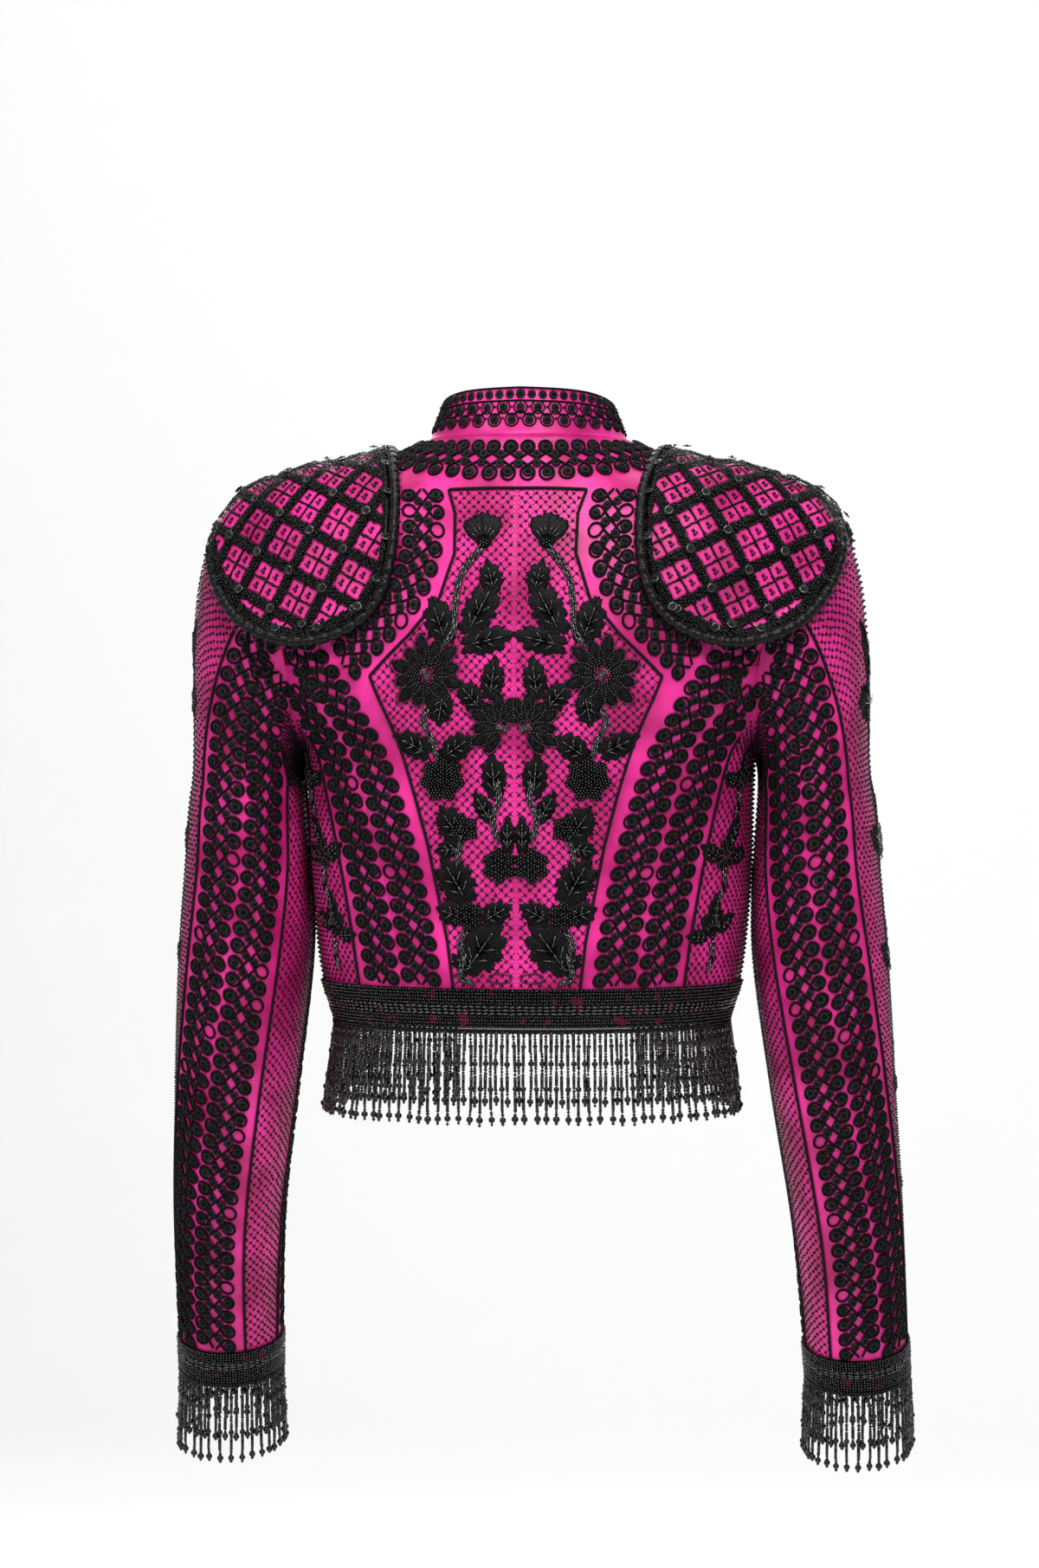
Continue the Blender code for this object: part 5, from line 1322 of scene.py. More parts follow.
def on_lattice(first, second, lift=0.0):
    """Places of the lattice on the back half and on the front half of the pad, found by Newton's steps.

    Gives the points, their normals, how far inside the edge they are, and which place each belongs to.
    """
    wanted_right, wanted_down = flat_of(first, second)
    small = 0.0005
    found = []
    for half in (1, -1):
        right = middle_right + wanted_right
        down = half * (middle_down + math.copysign(1, middle_down) * wanted_down)
        for _ in range(7):
            here, beside_it, below_it = [
                np.stack(laid_flat(pad(*pad_place(right + x, down + y)[:2])), axis=-1)
                for x, y in ((0, 0), (small, 0), (0, small))
            ]
            (a, c), (b, d) = ((beside_it - here) / small).T, ((below_it - here) / small).T
            det = a * d - b * c
            det = np.where(np.abs(det) < 0.05, 0.05, det)
            x, y = wanted_right - here[:, 0], wanted_down - here[:, 1]
            right = right + np.clip((d * x - b * y) / det, -0.01, 0.01)
            down = down + np.clip((a * y - c * x) / det, -0.01, 0.01)
        points = pad(*pad_place(right, down)[:2])
        here = np.stack(laid_flat(points), axis=-1)
        close = np.hypot(here[:, 0] - wanted_right, here[:, 1] - wanted_down) < 0.0004
        kept = np.flatnonzero(close & (points[:, 1] * half > -0.0002) & (pad_place(right, down)[2] > 0))
        lifted, normals = on_pad(right[kept], down[kept], np.broadcast_to(lift, np.shape(first))[kept])
        found.append((lifted, normals, pad_place(right[kept], down[kept])[2], kept))
    return [np.concatenate(parts) for parts in zip(*found)]


def from_line(value, pitch):
    """How far a value is from the nearest multiple of a pitch."""
    return np.abs((value + pitch / 2) % pitch - pitch / 2)


def lattice_finish():
    """Fuchsia satin, black under the raised rows of beads and under the beaded edge."""
    made, tree, surface = shader("lattice_satin")
    colour = mixed(tree, satin_tone(tree)[0], SATIN_DEEP, SATIN_BRIGHT)
    wide, fine = net_mask(tree, LATTICE_PITCH, ROW_HALF * 0.85), net_mask(tree, LATTICE_PITCH / 2, 0.0006)
    depth = node(tree, "ShaderNodeAttribute", attribute_name="rim").outputs["Fac"]
    rim = between(tree, depth, RIM_WIDE - 0.001, RIM_WIDE, 1.0, 0.0)
    mask = sums(tree, "MAXIMUM", sums(tree, "MAXIMUM", wide, fine), rim)
    bumped(tree, surface, mask, 0.5, 0.0012)
    coloured(tree, surface, mixed(tree, mask, colour, THREAD_BLACK), 0.42, 0.20)
    return made


PAD_SIDES, PAD_RINGS = 96, 22      # of the mesh of the pad
PAD_FULL = 0.0035         # how much thicker the pad is in its middle than at its edge
turns, rings = np.meshgrid(np.arange(PAD_SIDES) / PAD_SIDES, np.linspace(0, 1, PAD_RINGS + 1)[1:])
outer = pad(turns, rings)
edge, middle = outline_way(turns)
ways = unit(lerp(middle, edge, column(rings)))
deep = PAD_EDGE + PAD_FULL * np.sqrt(np.clip(1 - rings**2, 0, 1))
round_off = 0.0016 * np.clip((rings - 0.93) / 0.07, 0, 1) ** 2
inner = outer - ways * column(deep)
outer = outer - ways * column(round_off)
sink = lerp(outer[-1], inner[-1], 0.5) + (outline_way(turns[-1], 0.006)[0] - ways[-1]) * 0.16
eye = pad([0.0], [0.0])
below = eye - middle * (PAD_EDGE + PAD_FULL)
points = np.concatenate([outer.reshape(-1, 3), sink, inner[::-1].reshape(-1, 3), eye, below])
ids = ring_ids(2 * PAD_RINGS + 1, PAD_SIDES)
top, bottom = np.full(PAD_SIDES, len(points) - 2), np.full(PAD_SIDES, len(points) - 1)
faces = [
    grid_quads(ids)[:, ::-1], np.stack([ids[0, 1:], ids[0, :-1], top], axis=-1),
    np.stack([ids[-1, :-1], ids[-1, 1:], bottom], axis=-1),
]
distance = np.interp(rings, PAD_SAMPLES, PAD_PROFILE) * np.interp(turns, PAD_TURNS, PAD_REACH)
first, second = lattice_of(*laid_flat(pad(turns, rings)))
first, second = first + LATTICE_PITCH / 2, second + LATTICE_PITCH / 2
place = np.stack([(first + second), (first - second)], axis=-1) * math.sqrt(0.5)
depth = np.interp(turns, PAD_TURNS, PAD_REACH) - distance
uv = np.concatenate([place.reshape(-1, 2), place[-1], place[::-1].reshape(-1, 2), [[0.0, 0.0]] * 2])
depth = np.minimum(depth, np.abs(outer[..., 1]) + RIM_WIDE - CREST_HALF)
rim = np.concatenate([depth.ravel(), depth[-1], np.zeros(depth.size), [0.0, 0.0]])
LATTICE = lattice_finish()
orient = np.cross(outer[3, 1] - outer[3, 0], outer[4, 0] - outer[3, 0]) @ ways[3, 0]
faces = faces if orient > 0 else [group[:, ::-1] for group in faces]
for side, turned, twin in (("left", faces, 1), ("right", [group[:, ::-1] for group in faces], TWIN)):
    piece = made_piece(
        f"epaulet_pad_{side}", points * twin, turned, LATTICE, uv, {"rim": rim}, [f"epaulet_{side}"],
    )

SEED_WANDER = 0.00026     # how far the beads of a raised row stray
SEED_LIFT, SEED_UNEVEN = 0.0006, 0.0007
ROW_SWELL, RIM_SWELL = 0.0014, 0.0010      # how much higher the rows and the edge stand in their middle
LONG_BEADS = 0.16         # the share of the beads that are long
seeds, sequins = [], []
step = SEED_HALF * 1.66
i, j = np.meshgrid(np.arange(-52, 53), np.arange(-70, 56), indexing="ij")
first, second = lattice_of(((i + 0.5 * (j % 2)) * step).ravel(), (j * step * 0.87).ravel())
first, second = [value + chance.normal(0, SEED_WANDER, first.size) for value in (first, second)]
half_step = LATTICE_PITCH / 2
row_gap = np.minimum(*[from_line(value + half_step, LATTICE_PITCH) for value in (first, second)])
points, normals, inside, which = on_lattice(first, second)
from_rows = row_gap[which]
beaded = (from_rows < ROW_HALF) | (inside < RIM_WIDE) | (np.abs(points[:, 1]) < CREST_HALF)
kept = (inside > 0.0004) & beaded
points, normals, inside, from_rows = points[kept], normals[kept], inside[kept], from_rows[kept]
swell = ROW_SWELL * np.clip(1 - (from_rows / ROW_HALF) ** 2, 0, 1)
swell = np.maximum(swell, RIM_SWELL * np.sin(np.clip(inside / RIM_WIDE, 0, 1) * math.pi))
points = points + normals * column(SEED_LIFT + swell + chance.uniform(0, SEED_UNEVEN, len(points)))
turn = chance.uniform(0, math.pi, len(points))
tangent = unit(np.cross(normals, LATTICE_RIGHT))
ahead = tangent * column(np.cos(turn)) + np.cross(normals, tangent) * column(np.sin(turn))
long_bead = chance.random(len(points)) < LONG_BEADS
size = np.where(long_bead[:, None], [2.1, 0.8, 0.8], 1.0) * SEED_HALF
size = size * column(chance.uniform(0.85, 1.12, len(points)))
seeds.append(scattered(SEWN_SEED, points, ahead, normals, size))


def bead_row(first, second, lift=0.0009, size=SEED_HALF):
    """Single seed beads at places along the lattice's two ways, where they are on the satin."""
    points, normals, inside, _ = on_lattice(first, second, lift)
    kept = (inside > RIM_WIDE - 0.001) & (np.abs(points[:, 1]) > CREST_HALF)
    points, normals = points[kept], normals[kept]
    seeds.append(scattered(SEWN_SEED, points, unit(np.cross(normals, LATTICE_RIGHT)), normals, size))


along = np.arange(-0.12, 0.12, SEED_HALF * 1.80)
along = along[from_line(along + half_step, LATTICE_PITCH) > ROW_HALF]
lines = np.meshgrid(np.arange(-3, 4) * LATTICE_PITCH, along, indexing="ij")
first, second = [values.ravel() for values in lines]
bead_row(np.concatenate([first, second]), np.concatenate([second, first]))
# A drop of two or three beads in the middle of each small square.
squares = np.add.outer(np.arange(-4, 5) * LATTICE_PITCH, (0.0057, -0.0057)).ravel()
first, second = [values.ravel() for values in np.meshgrid(squares, squares, indexing="ij")]
for shift_first, shift_second, size in ((0.0, -0.0013, 1.6), (0.0005, 0.0015, 1.35), (-0.0016, 0.0010, 0.9)):
    bead_row(first + shift_first, second + shift_second, 0.0008, SEED_HALF * size)

SEQUIN = lathe([(1.0, 0.10), (0.97, 0.14), (0.45, 0.07), (0.25, 0.02), (0.0, 0.02)], 12)
SEQUIN_HALF, SEQUIN_LIFT, SEQUIN_TILT = 0.0034, 0.0041, 0.12
RIM_SEQUINS, RIM_RING, RIM_LIFT = 26, 0.955, 0.0024      # those along the edge: how many, on which ring
cross = (np.arange(-4, 4) + 0.5) * LATTICE_PITCH
first, second = [values.ravel() for values in np.meshgrid(cross, cross, indexing="ij")]
points, normals, inside, _ = on_lattice(first, second, SEQUIN_LIFT)
points, normals = points[inside > 0.004], normals[inside > 0.004]
rim_points = pad(np.arange(RIM_SEQUINS) / RIM_SEQUINS, RIM_RING)
rim_out = unit(rim_points - pad(0.0, 0.0))
rim_normals = unit(unit(rim_points - EPAULET_EYE) + 0.25 * rim_out)
points = np.concatenate([points, rim_points + rim_normals * RIM_LIFT])
normals = np.concatenate([normals, rim_normals])
tilted = unit(normals + chance.normal(0, SEQUIN_TILT, normals.shape))
ahead = unit(np.cross(tilted, LATTICE_RIGHT))
sequins.append(scattered(SEQUIN, points, ahead, tilted, SEQUIN_HALF))
seeds.append(scattered(SEED, points + tilted * 0.0008, ahead, tilted, SEED_HALF))


def sequin_finish():
    """Black cupped sequins: a hard, slightly rippled gloss that catches the light."""
    made, tree, surface = shader("black_sequin")
    wave = noise(tree, on_jacket(tree), 160.0, 1.0)
    colour = mixed(tree, wave, (0.010, 0.010, 0.011, 1), (0.045, 0.045, 0.047, 1))
    coloured(tree, surface, colour, between(tree, wave, 0.3, 0.7, 0.12, 0.26), 0.4)
    return made


SEQUIN_BLACK = sequin_finish()
black_piece("epaulet_seed_beads", seeds, JET)
black_piece("epaulet_sequins", sequins, SEQUIN_BLACK)


# ================================================================ the cord round the epaulets
# Black satin tubing bound every centimetre into barrels, with picots of two beads along its outer side.
BARRELS = 72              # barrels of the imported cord, two rings of corners to each
BOUND_EVERY, BOUND_STEPS = 0.0100, 10      # from binding to binding, and the path's steps between them
PATH_STEP = BOUND_EVERY / BOUND_STEPS
CORD_SIDES = 10
CORD_OUT = 0.0039         # from the pad's edge to the cord's middle
BARREL_HALF, WAIST_HALF = 0.0041, 0.0028
PICOT_EVERY = 0.0090


def cord_path():
    """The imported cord's middle line: the mean of the four corners that stand round each of its rings."""
    ways, distance = node_points("epaulet_cord_left")
    corners = ways * distance[:, None]
    turn = np.arange(2 * BARRELS) / (2 * BARRELS)
    edge = np.interp(turn, np.arange(EPAULET_TURNS) / EPAULET_TURNS, PAD_FAR[-1], period=1.0) - PAD_EDGE / 2
    way = outline_way(turn, column(CORD_OUT / edge))[0]
    nearest_four = np.argsort(-(way @ ways.T), axis=1)[:, :4]
    path = EPAULET_EYE + corners[nearest_four].mean(axis=1)
    closed = np.concatenate([path, path[:1]])
    run = length_along(closed)
    at = np.linspace(0, run[-1], int(run[-1] / BOUND_EVERY) * BOUND_STEPS + 1)
    for _ in range(3):
        closed[1:-1] = (closed[:-2] + 2 * closed[1:-1] + closed[2:]) / 4
    return resampled(closed, run, at)


path = cord_path()[:-1]
count = len(path)
ahead = unit(np.roll(path, -1, axis=0) - np.roll(path, 1, axis=0))
outwards = square_to(unit(path - EPAULET_EYE), ahead)
beside_cord = np.cross(ahead, outwards)
beside_cord = beside_cord * np.sign((beside_cord * (path - path.mean(axis=0))).sum(-1).mean())
swell = np.abs(np.sin(np.arange(count) / BOUND_STEPS * math.pi)) ** 0.45
radius = lerp(WAIST_HALF, BARREL_HALF, swell)
angle = even_angles(CORD_SIDES)
ring = np.cos(angle)[None, :, None] * beside_cord[:, None] + np.sin(angle)[None, :, None] * outwards[:, None]
points = (path[:, None] + ring * radius[:, None, None]).reshape(-1, 3)
ids = ring_ids(count, CORD_SIDES)
ids = np.concatenate([ids, ids[:1]])
quads = grid_quads(ids)
outside = np.cross(points[ids[0, 1]] - points[ids[0, 0]], points[ids[1, 0]] - points[ids[0, 0]]) @ ring[0, 0]
quads = quads if outside > 0 else quads[:, ::-1]
turned = np.tile(np.arange(CORD_SIDES) / CORD_SIDES, count)
uv = np.stack([np.repeat(np.arange(count) * PATH_STEP, CORD_SIDES), turned], axis=-1)
SATIN_CORD = cord_finish("black_satin_tubing", (0.003, 0.003, 0.0034, 1), 0.33, 0.0052, 0.17)
for side, turned, twin in (("left", quads, 1), ("right", quads[:, ::-1], TWIN)):
    piece = made_piece(
        f"epaulet_barrel_cord_{side}", points * twin, turned, SATIN_CORD, uv, None, [f"epaulet_cord_{side}"],
    )

picots = []
places = np.linspace(0, count, int(count * PATH_STEP / PICOT_EVERY) + 1)[:-1].astype(int)
for out, size in ((0.0047, 0.0011), (0.0066, 0.0015)):
    lean = unit(beside_cord[places] - outwards[places] * 0.15)
    picots.append(scattered(SEED, path[places] + lean * out, ahead[places], lean, size))
inner_places = np.arange(0, count, 2)
inner_way = unit(-beside_cord[inner_places] + outwards[inner_places] * 0.8)
inner_picots = path[inner_places] + inner_way * 0.0040
picots.append(scattered(SEED, inner_picots, ahead[inner_places], inner_way, SEED_HALF))
black_piece("epaulet_picots", picots, JET)


# ================================================================ the floral sprays
# Leaves and blossoms padded with black satin stitch, with bugle beads for their veins and stems, petals
# edged with seed beads, and clusters of beaded berries, sewn over the netting.
SCALES = {panel.name: panel.scale for panel in PANELS}
STITCH_RISE = 0.0016
STITCH_RINGS = (0.20, 0.55, 0.86, 1.0)
STITCH_SINK = 0.0004      # how far a motif's rim lies in the cloth
# A motif's panel, the metres up it and across it, and which way the motif points: degrees from straight
# up, towards the side.
Spot = namedtuple("Spot", "panel up across turn")
stitched, veins, sprays_seeds, berries_seeds, eyes = [], [], [], [], []
BUGLE = lathe([(1.0, -1.0), (1.0, 1.0)], 5)


def bugles(centres, ahead, normals, half_length, radius):
    """Bugle beads: short glass tubes lying along `ahead`."""
    size = np.stack(np.broadcast_arrays(radius, radius, half_length), axis=-1)
    size = np.broadcast_to(size, (len(centres), 3))
    side = np.cross(normals, ahead)
    return scattered(BUGLE, centres, side, ahead, size)


def spot_place(spot, ahead, sideways):
    """How far across and up its panel a place ahead of a motif's middle and to its side lies."""
    angle = math.radians(spot.turn)
    across = spot.across + ahead * math.sin(angle) + sideways * math.cos(angle)
    return across, spot.up + ahead * math.cos(angle) - sideways * math.sin(angle)


def on_spot(spot, ahead, sideways, lift=0.0):
    """Places ahead of a motif's middle and to its side, on its panel's cloth, and their normals."""
    across, up = spot_place(spot, ahead, sideways)
    return laid(CHARTS[spot.panel], across, up / SCALES[spot.panel], lift)


def moved(spot, ahead, sideways, turn=0.0):
    """Another motif's spot, ahead and to the side of this one and turned from it."""
    across, up = spot_place(spot, ahead, sideways)
    return Spot(spot.panel, up, across, spot.turn + turn)


def stitch_pad(spot, radius, rise, grooves=0, depth=0.0):
    """A padded motif: rays out to radius(angle), raised by rise * sqrt(1 - share squared), with grooves.

    Its rim is sunk a little into the cloth and closed underneath.
    """
    count = len(radius)
    theta = even_angles(count)
    share = np.array(STITCH_RINGS)[:, None]
    ahead, sideways = share * radius * np.cos(theta), share * radius * np.sin(theta)
    dome = np.sqrt(1 - share**2) * (1 + depth * np.cos(grooves * theta) * np.sqrt(share))
    lift = rise * dome - STITCH_SINK * (share == 1)
    rings = on_spot(spot, ahead, sideways, lift)[0]
    under = on_spot(spot, ahead[-1] * 0.97, sideways[-1] * 0.97, -0.0009)[0]
    top = on_spot(spot, np.zeros(1), np.zeros(1), rise)[0]
    points = np.concatenate([rings.reshape(-1, 3), under, top])
    ids = ring_ids(5, count)
    last = np.full(count, 5 * count)
    faces = [grid_quads(ids)[:, ::-1], np.stack([ids[0, 1:], ids[0, :-1], last], axis=-1), ids[-1, :-1][None]]
    normal = on_spot(spot, np.zeros(1), np.zeros(1))[1][0]
    a, b, c = points[faces[0][count // 2][:3]]
    faces = faces if np.cross(b - a, c - a) @ normal > 0 else [part[:, ::-1] for part in faces]
    turns = np.tile(theta * 0.006, 5)
    out = np.concatenate([(share * radius).ravel(), radius])
    uv = np.concatenate([np.stack([turns, out], axis=-1), [[0.0, 0.0]]])
    stitched.append((points, faces, uv))


def oval(half_length, half_width, count):
    """The radius of an ellipse at even turns round it."""
    theta = even_angles(count)
    return 1 / np.sqrt((np.cos(theta) / half_length) ** 2 + (np.sin(theta) / half_width) ** 2)


def vein(spot, starts, ends, lift, radius=0.00058):
    """Bugle beads from places (ahead, sideways) to others on a motif."""
    starts, ends = np.atleast_2d(starts), np.atleast_2d(ends)
    middle = (starts + ends) / 2
    near, normals = on_spot(spot, starts[:, 0], starts[:, 1], lift)
    far = on_spot(spot, ends[:, 0], ends[:, 1], lift)[0]
    centres = on_spot(spot, middle[:, 0], middle[:, 1], lift)[0]
    half = np.linalg.norm(far - near, axis=1) / 2
    veins.append(bugles(centres, unit(far - near), normals, half, radius))


LEAF_GROWN = 1.22         # how much larger a leaf's drawn edge is than the place it was given


def leaf(spot, length, width, lobes=9):
    """A leaf: an ellipse with round lobes, deep notches and ragged stitches, with bugles for its veins."""
    count = 76
    theta = even_angles(count)
    length, width = length * LEAF_GROWN, width * LEAF_GROWN
    notches = 0.80 + 0.26 * np.abs(np.cos(lobes / 2 * theta)) ** 0.7
    radius = oval(length / 2, width / 2, count) * notches * (1 + chance.normal(0, 0.045, count))
    radius = radius + 0.05 * length * np.exp(-((np.minimum(theta, 2 * math.pi - theta) / 0.2) ** 2))
    stitch_pad(spot, radius, STITCH_RISE, 38, 0.55)
    ribs = np.array([-0.28, -0.06, 0.14]) * length
    roots, ends = [np.stack([at, 0 * ribs], axis=-1) for at in (ribs, ribs + 0.19 * length)]
    vein(spot, roots, ends, 0.0020)
    for way in (1, -1):
        tips = np.stack([ribs[:2] + 0.20 * length, np.full(2, way * 0.26 * width)], axis=-1)
        roots = np.stack([ribs[:2] + 0.07 * length, np.full(2, way * 0.06 * width)], axis=-1)
        vein(spot, roots, tips, 0.0019)


def seed_line(spot, ahead, sideways, lift, every=0.0020, size=0.00108):
    """Seed beads evenly along a line of places on a motif."""
    points, normals = on_spot(spot, ahead, sideways, lift)
    run = length_along(points)
    at = np.arange(every / 2, run[-1], every)
    centres, lean = resampled(points, run, at), unit(resampled(normals, run, at))
    sprays_seeds.append(scattered(SEWN_SEED, centres, unit(np.cross(lean, [0.31, 0.2, 0.93])), lean, size))


def petal(spot, out, length, width):
    """One padded petal standing out from a blossom's middle, edged with seed beads."""
    place = moved(spot, out + length / 2, 0.0)
    radius = oval(length / 2, width / 2, 24)
    stitch_pad(place, radius, STITCH_RISE * 0.9, 12, 0.10)
    theta = np.linspace(0.25, 2 * math.pi - 0.25, 40) + math.pi
    seed_line(place, length * 0.52 * np.cos(theta), width * 0.56 * np.sin(theta), 0.0012)


def blossom(spot, radius, count=11, spread=360.0):
    """A daisy of edged petals round a beaded eye; with a smaller spread they open as a fan."""
    closed = spread >= 360
    for k in range(count):
        bearing = spread * ((k / count) if closed else (k / (count - 1) - 0.5))
        reach = radius * (0.92 + 0.08 * math.cos(3.1 * k))
        petal(moved(spot, 0.0, 0.0, bearing), radius * 0.18, reach - radius * 0.18, radius * 0.31)
    eye_of(spot, radius * 0.16)


def eye_of(spot, radius):
    """A blossom's eye: a little heap of seed beads with two sequins on it."""
    heap(spot, radius, 0.0016)
    for shift in (-0.4, 0.5):
        points, normals = on_spot(spot, np.array([shift * radius]), np.array([shift * radius * 0.5]), 0.0032)
        lean = unit(normals + chance.normal(0, 0.2, normals.shape))
        eyes.append(scattered(SEQUIN, points, unit(np.cross(lean, [0.3, 0.2, 0.9])), lean, 0.0021))


def heap(spot, radius, rise):
    """Seed beads close together over a small dome."""
    step = 0.0022
    i, j = np.meshgrid(np.arange(-6, 7), np.arange(-7, 8), indexing="ij")
    ahead, sideways = ((i + 0.5 * (j % 2)) * step).ravel(), (j * step * 0.87).ravel()
    far = np.hypot(ahead, sideways)
    kept = far < radius
    dome = rise * np.sqrt(np.clip(1 - (far[kept] / radius) ** 2, 0, 1))
    points, normals = on_spot(spot, ahead[kept], sideways[kept], 0.0006 + dome)
    points = points + chance.normal(0, 0.00012, points.shape)
    ahead = unit(np.cross(normals, [0.31, 0.2, 0.93]))
    berries_seeds.append(scattered(SEWN_SEED, points, ahead, normals, 0.00122))


def berries(spot, radius, count=6):
    """Round berries of heaped seed beads in a ring, on a lobed ground of satin stitch."""
    theta = np.arange(72) / 72 * 2 * math.pi
    stitch_pad(spot, radius * (1 + 0.12 * np.cos(count * theta)), STITCH_RISE * 0.8, 36, 0.15)
    heap(moved(spot, 0.0, 0.0), radius * 0.34, 0.0032)
    for k in range(count):
        heap(moved(moved(spot, 0.0, 0.0, 360.0 * k / count), radius * 0.66, 0.0), radius * 0.34, 0.0028)


def fan_blossom(spot, radius):
    """A ruffled blossom seen from its side: a toothed fan of long stitches over a small cup."""
    count = 96
    theta = even_angles(count)
    turned = np.abs((theta + math.pi) % (2 * math.pi) - math.pi)
    wide = 1 / (1 + np.exp((turned - 1.15) * 7))
    edge = radius * (0.34 + wide * (0.86 + 0.05 * np.cos(9 * theta) + 0.045 * np.cos(27 * theta)))
    stitch_pad(spot, edge, STITCH_RISE * 1.15, 30, 0.30)
    bearing = np.radians([-55, -35, -15, 15, 35, 55])
    starts = np.stack([np.cos(bearing), np.sin(bearing)], axis=-1) * radius * 0.30
    vein(spot, starts, starts * 2.2, 0.0020)
    heap(moved(spot, -radius * 0.10, 0.0), radius * 0.17, 0.0024)


def stem(panel, corners, radius=0.00090):
    """A stem of three rows of bugle beads along a smooth curve through (up, across) corners."""
    corners = np.array(corners, float)
    knots = np.arange(len(corners), dtype=float)
    at = np.linspace(0, knots[-1], 20 * len(corners))
    table = np.concatenate([knots[:, None], corners], axis=1)
    up, across = smooth_table([tuple(row) for row in table], at)
    points, normals = laid(CHARTS[panel], across, up / SCALES[panel], 0.0012)
    run = length_along(points)
    count = max(2, int(run[-1] / 0.0085))
    places = (np.arange(count) + 0.5) * run[-1] / count
    ahead = unit(np.gradient(points, axis=0))
    centre, way, lean = [resampled(rows, run, places) for rows in (points, ahead, normals)]
    way, lean = unit(way), unit(lean)
    side = np.cross(lean, way)
    for shift, along in ((0.0014, 0.0), (0.0, 0.0022), (-0.0014, -0.0018)):
        lift = lean * (0.0005 if shift == 0 else 0.0)
        places = centre + side * shift + way * along + lift
        veins.append(bugles(places, way, lean, run[-1] / count * 0.49, radius))


def sprig(panel, up, across, size, turn, kind):
    """A small spray: a blossom or berries with a leaf to each side and one behind."""
    spot = Spot(panel, up, across, turn)
    leaf(moved(spot, size * 0.75, size * 0.10, 8), size * 1.15, size * 0.62)
    leaf(moved(spot, size * 0.05, size * 0.85, 70), size * 1.05, size * 0.58)
    leaf(moved(spot, -size * 0.15, -size * 0.80, -75), size * 1.0, size * 0.55)
    if kind == 0:
        blossom(moved(spot, -size * 0.1, 0.0), size * 0.68, 9)
    elif kind == 1:
        berries(moved(spot, -size * 0.1, 0.0), size * 0.55)
    else:
        fan_blossom(moved(spot, -size * 0.15, 0.0), size * 0.85)


back = "back_centre"
fan_blossom(Spot(back, 0.331, 0.0215, 6), 0.0165)
stem(back, [(0.328, 0.022), (0.308, 0.036), (0.290, 0.040), (0.272, 0.041), (0.262, 0.048)])
leaf(Spot(back, 0.306, 0.0160, 15), 0.019, 0.014)
leaf(Spot(back, 0.284, 0.0235, -28), 0.037, 0.019)
leaf(Spot(back, 0.277, 0.0510, 20), 0.028, 0.018)
leaf(Spot(back, 0.264, 0.0190, -78), 0.031, 0.016)
blossom(Spot(back, 0.243, 0.0600, 10), 0.0270, 12)
leaf(Spot(back, 0.219, 0.0500, 170), 0.020, 0.015)
blossom(Spot(back, 0.205, 0.0075, 50), 0.0250, 8, 190.0)
leaf(Spot(back, 0.237, 0.0145, -8), 0.024, 0.014)
leaf(Spot(back, 0.226, 0.0290, 40), 0.022, 0.014)
stem(back, [(0.220, 0.060), (0.208, 0.062), (0.196, 0.056), (0.184, 0.053)])
leaf(Spot(back, 0.193, 0.0700, 62), 0.026, 0.016)
leaf(Spot(back, 0.191, 0.0400, -55), 0.022, 0.016)
berries(Spot(back, 0.170, 0.0500, 0), 0.0155, 7)
leaf(Spot(back, 0.171, 0.0140, 5), 0.026, 0.015)
stem(back, [(0.170, 0.0125), (0.156, 0.0105), (0.144, 0.0150), (0.128, 0.0120)])
leaf(Spot(back, 0.150, 0.0210, 30), 0.020, 0.011)
leaf(Spot(back, 0.138, 0.0430, 35), 0.024, 0.019)
berries(Spot(back, 0.136, 0.0345, 20), 0.0095, 5)
leaf(Spot(back, 0.122, 0.0460, 100), 0.016, 0.011)
stem(back, [(0.130, 0.036), (0.120, 0.039), (0.112, 0.040)])
berries(Spot(back, 0.111, 0.0110, 0), 0.0120, 6)
leaf(Spot(back, 0.131, 0.0050, 0), 0.022, 0.009)
leaf(Spot(back, 0.100, 0.0410, 30), 0.030, 0.022)
leaf(Spot(back, 0.078, 0.0140, -60), 0.020, 0.014)
leaf(Spot(back, 0.078, 0.0440, 70), 0.019, 0.014)
berries(Spot(back, 0.077, 0.0330, 0), 0.0105, 6)
stem(back, [(0.067, 0.034), (0.058, 0.038), (0.047, 0.036), (0.036, 0.038), (0.030, 0.030)])
leaf(Spot(back, 0.054, 0.0235, -35), 0.034, 0.026)
leaf(Spot(back, 0.044, 0.0350, 60), 0.017, 0.013)
ring_turn = np.linspace(0, 6.3, 40)
seed_line(Spot(back, 0.034, 0.011, 90), 0.008 * np.cos(ring_turn), 0.0032 * np.sin(ring_turn), 0.0009)

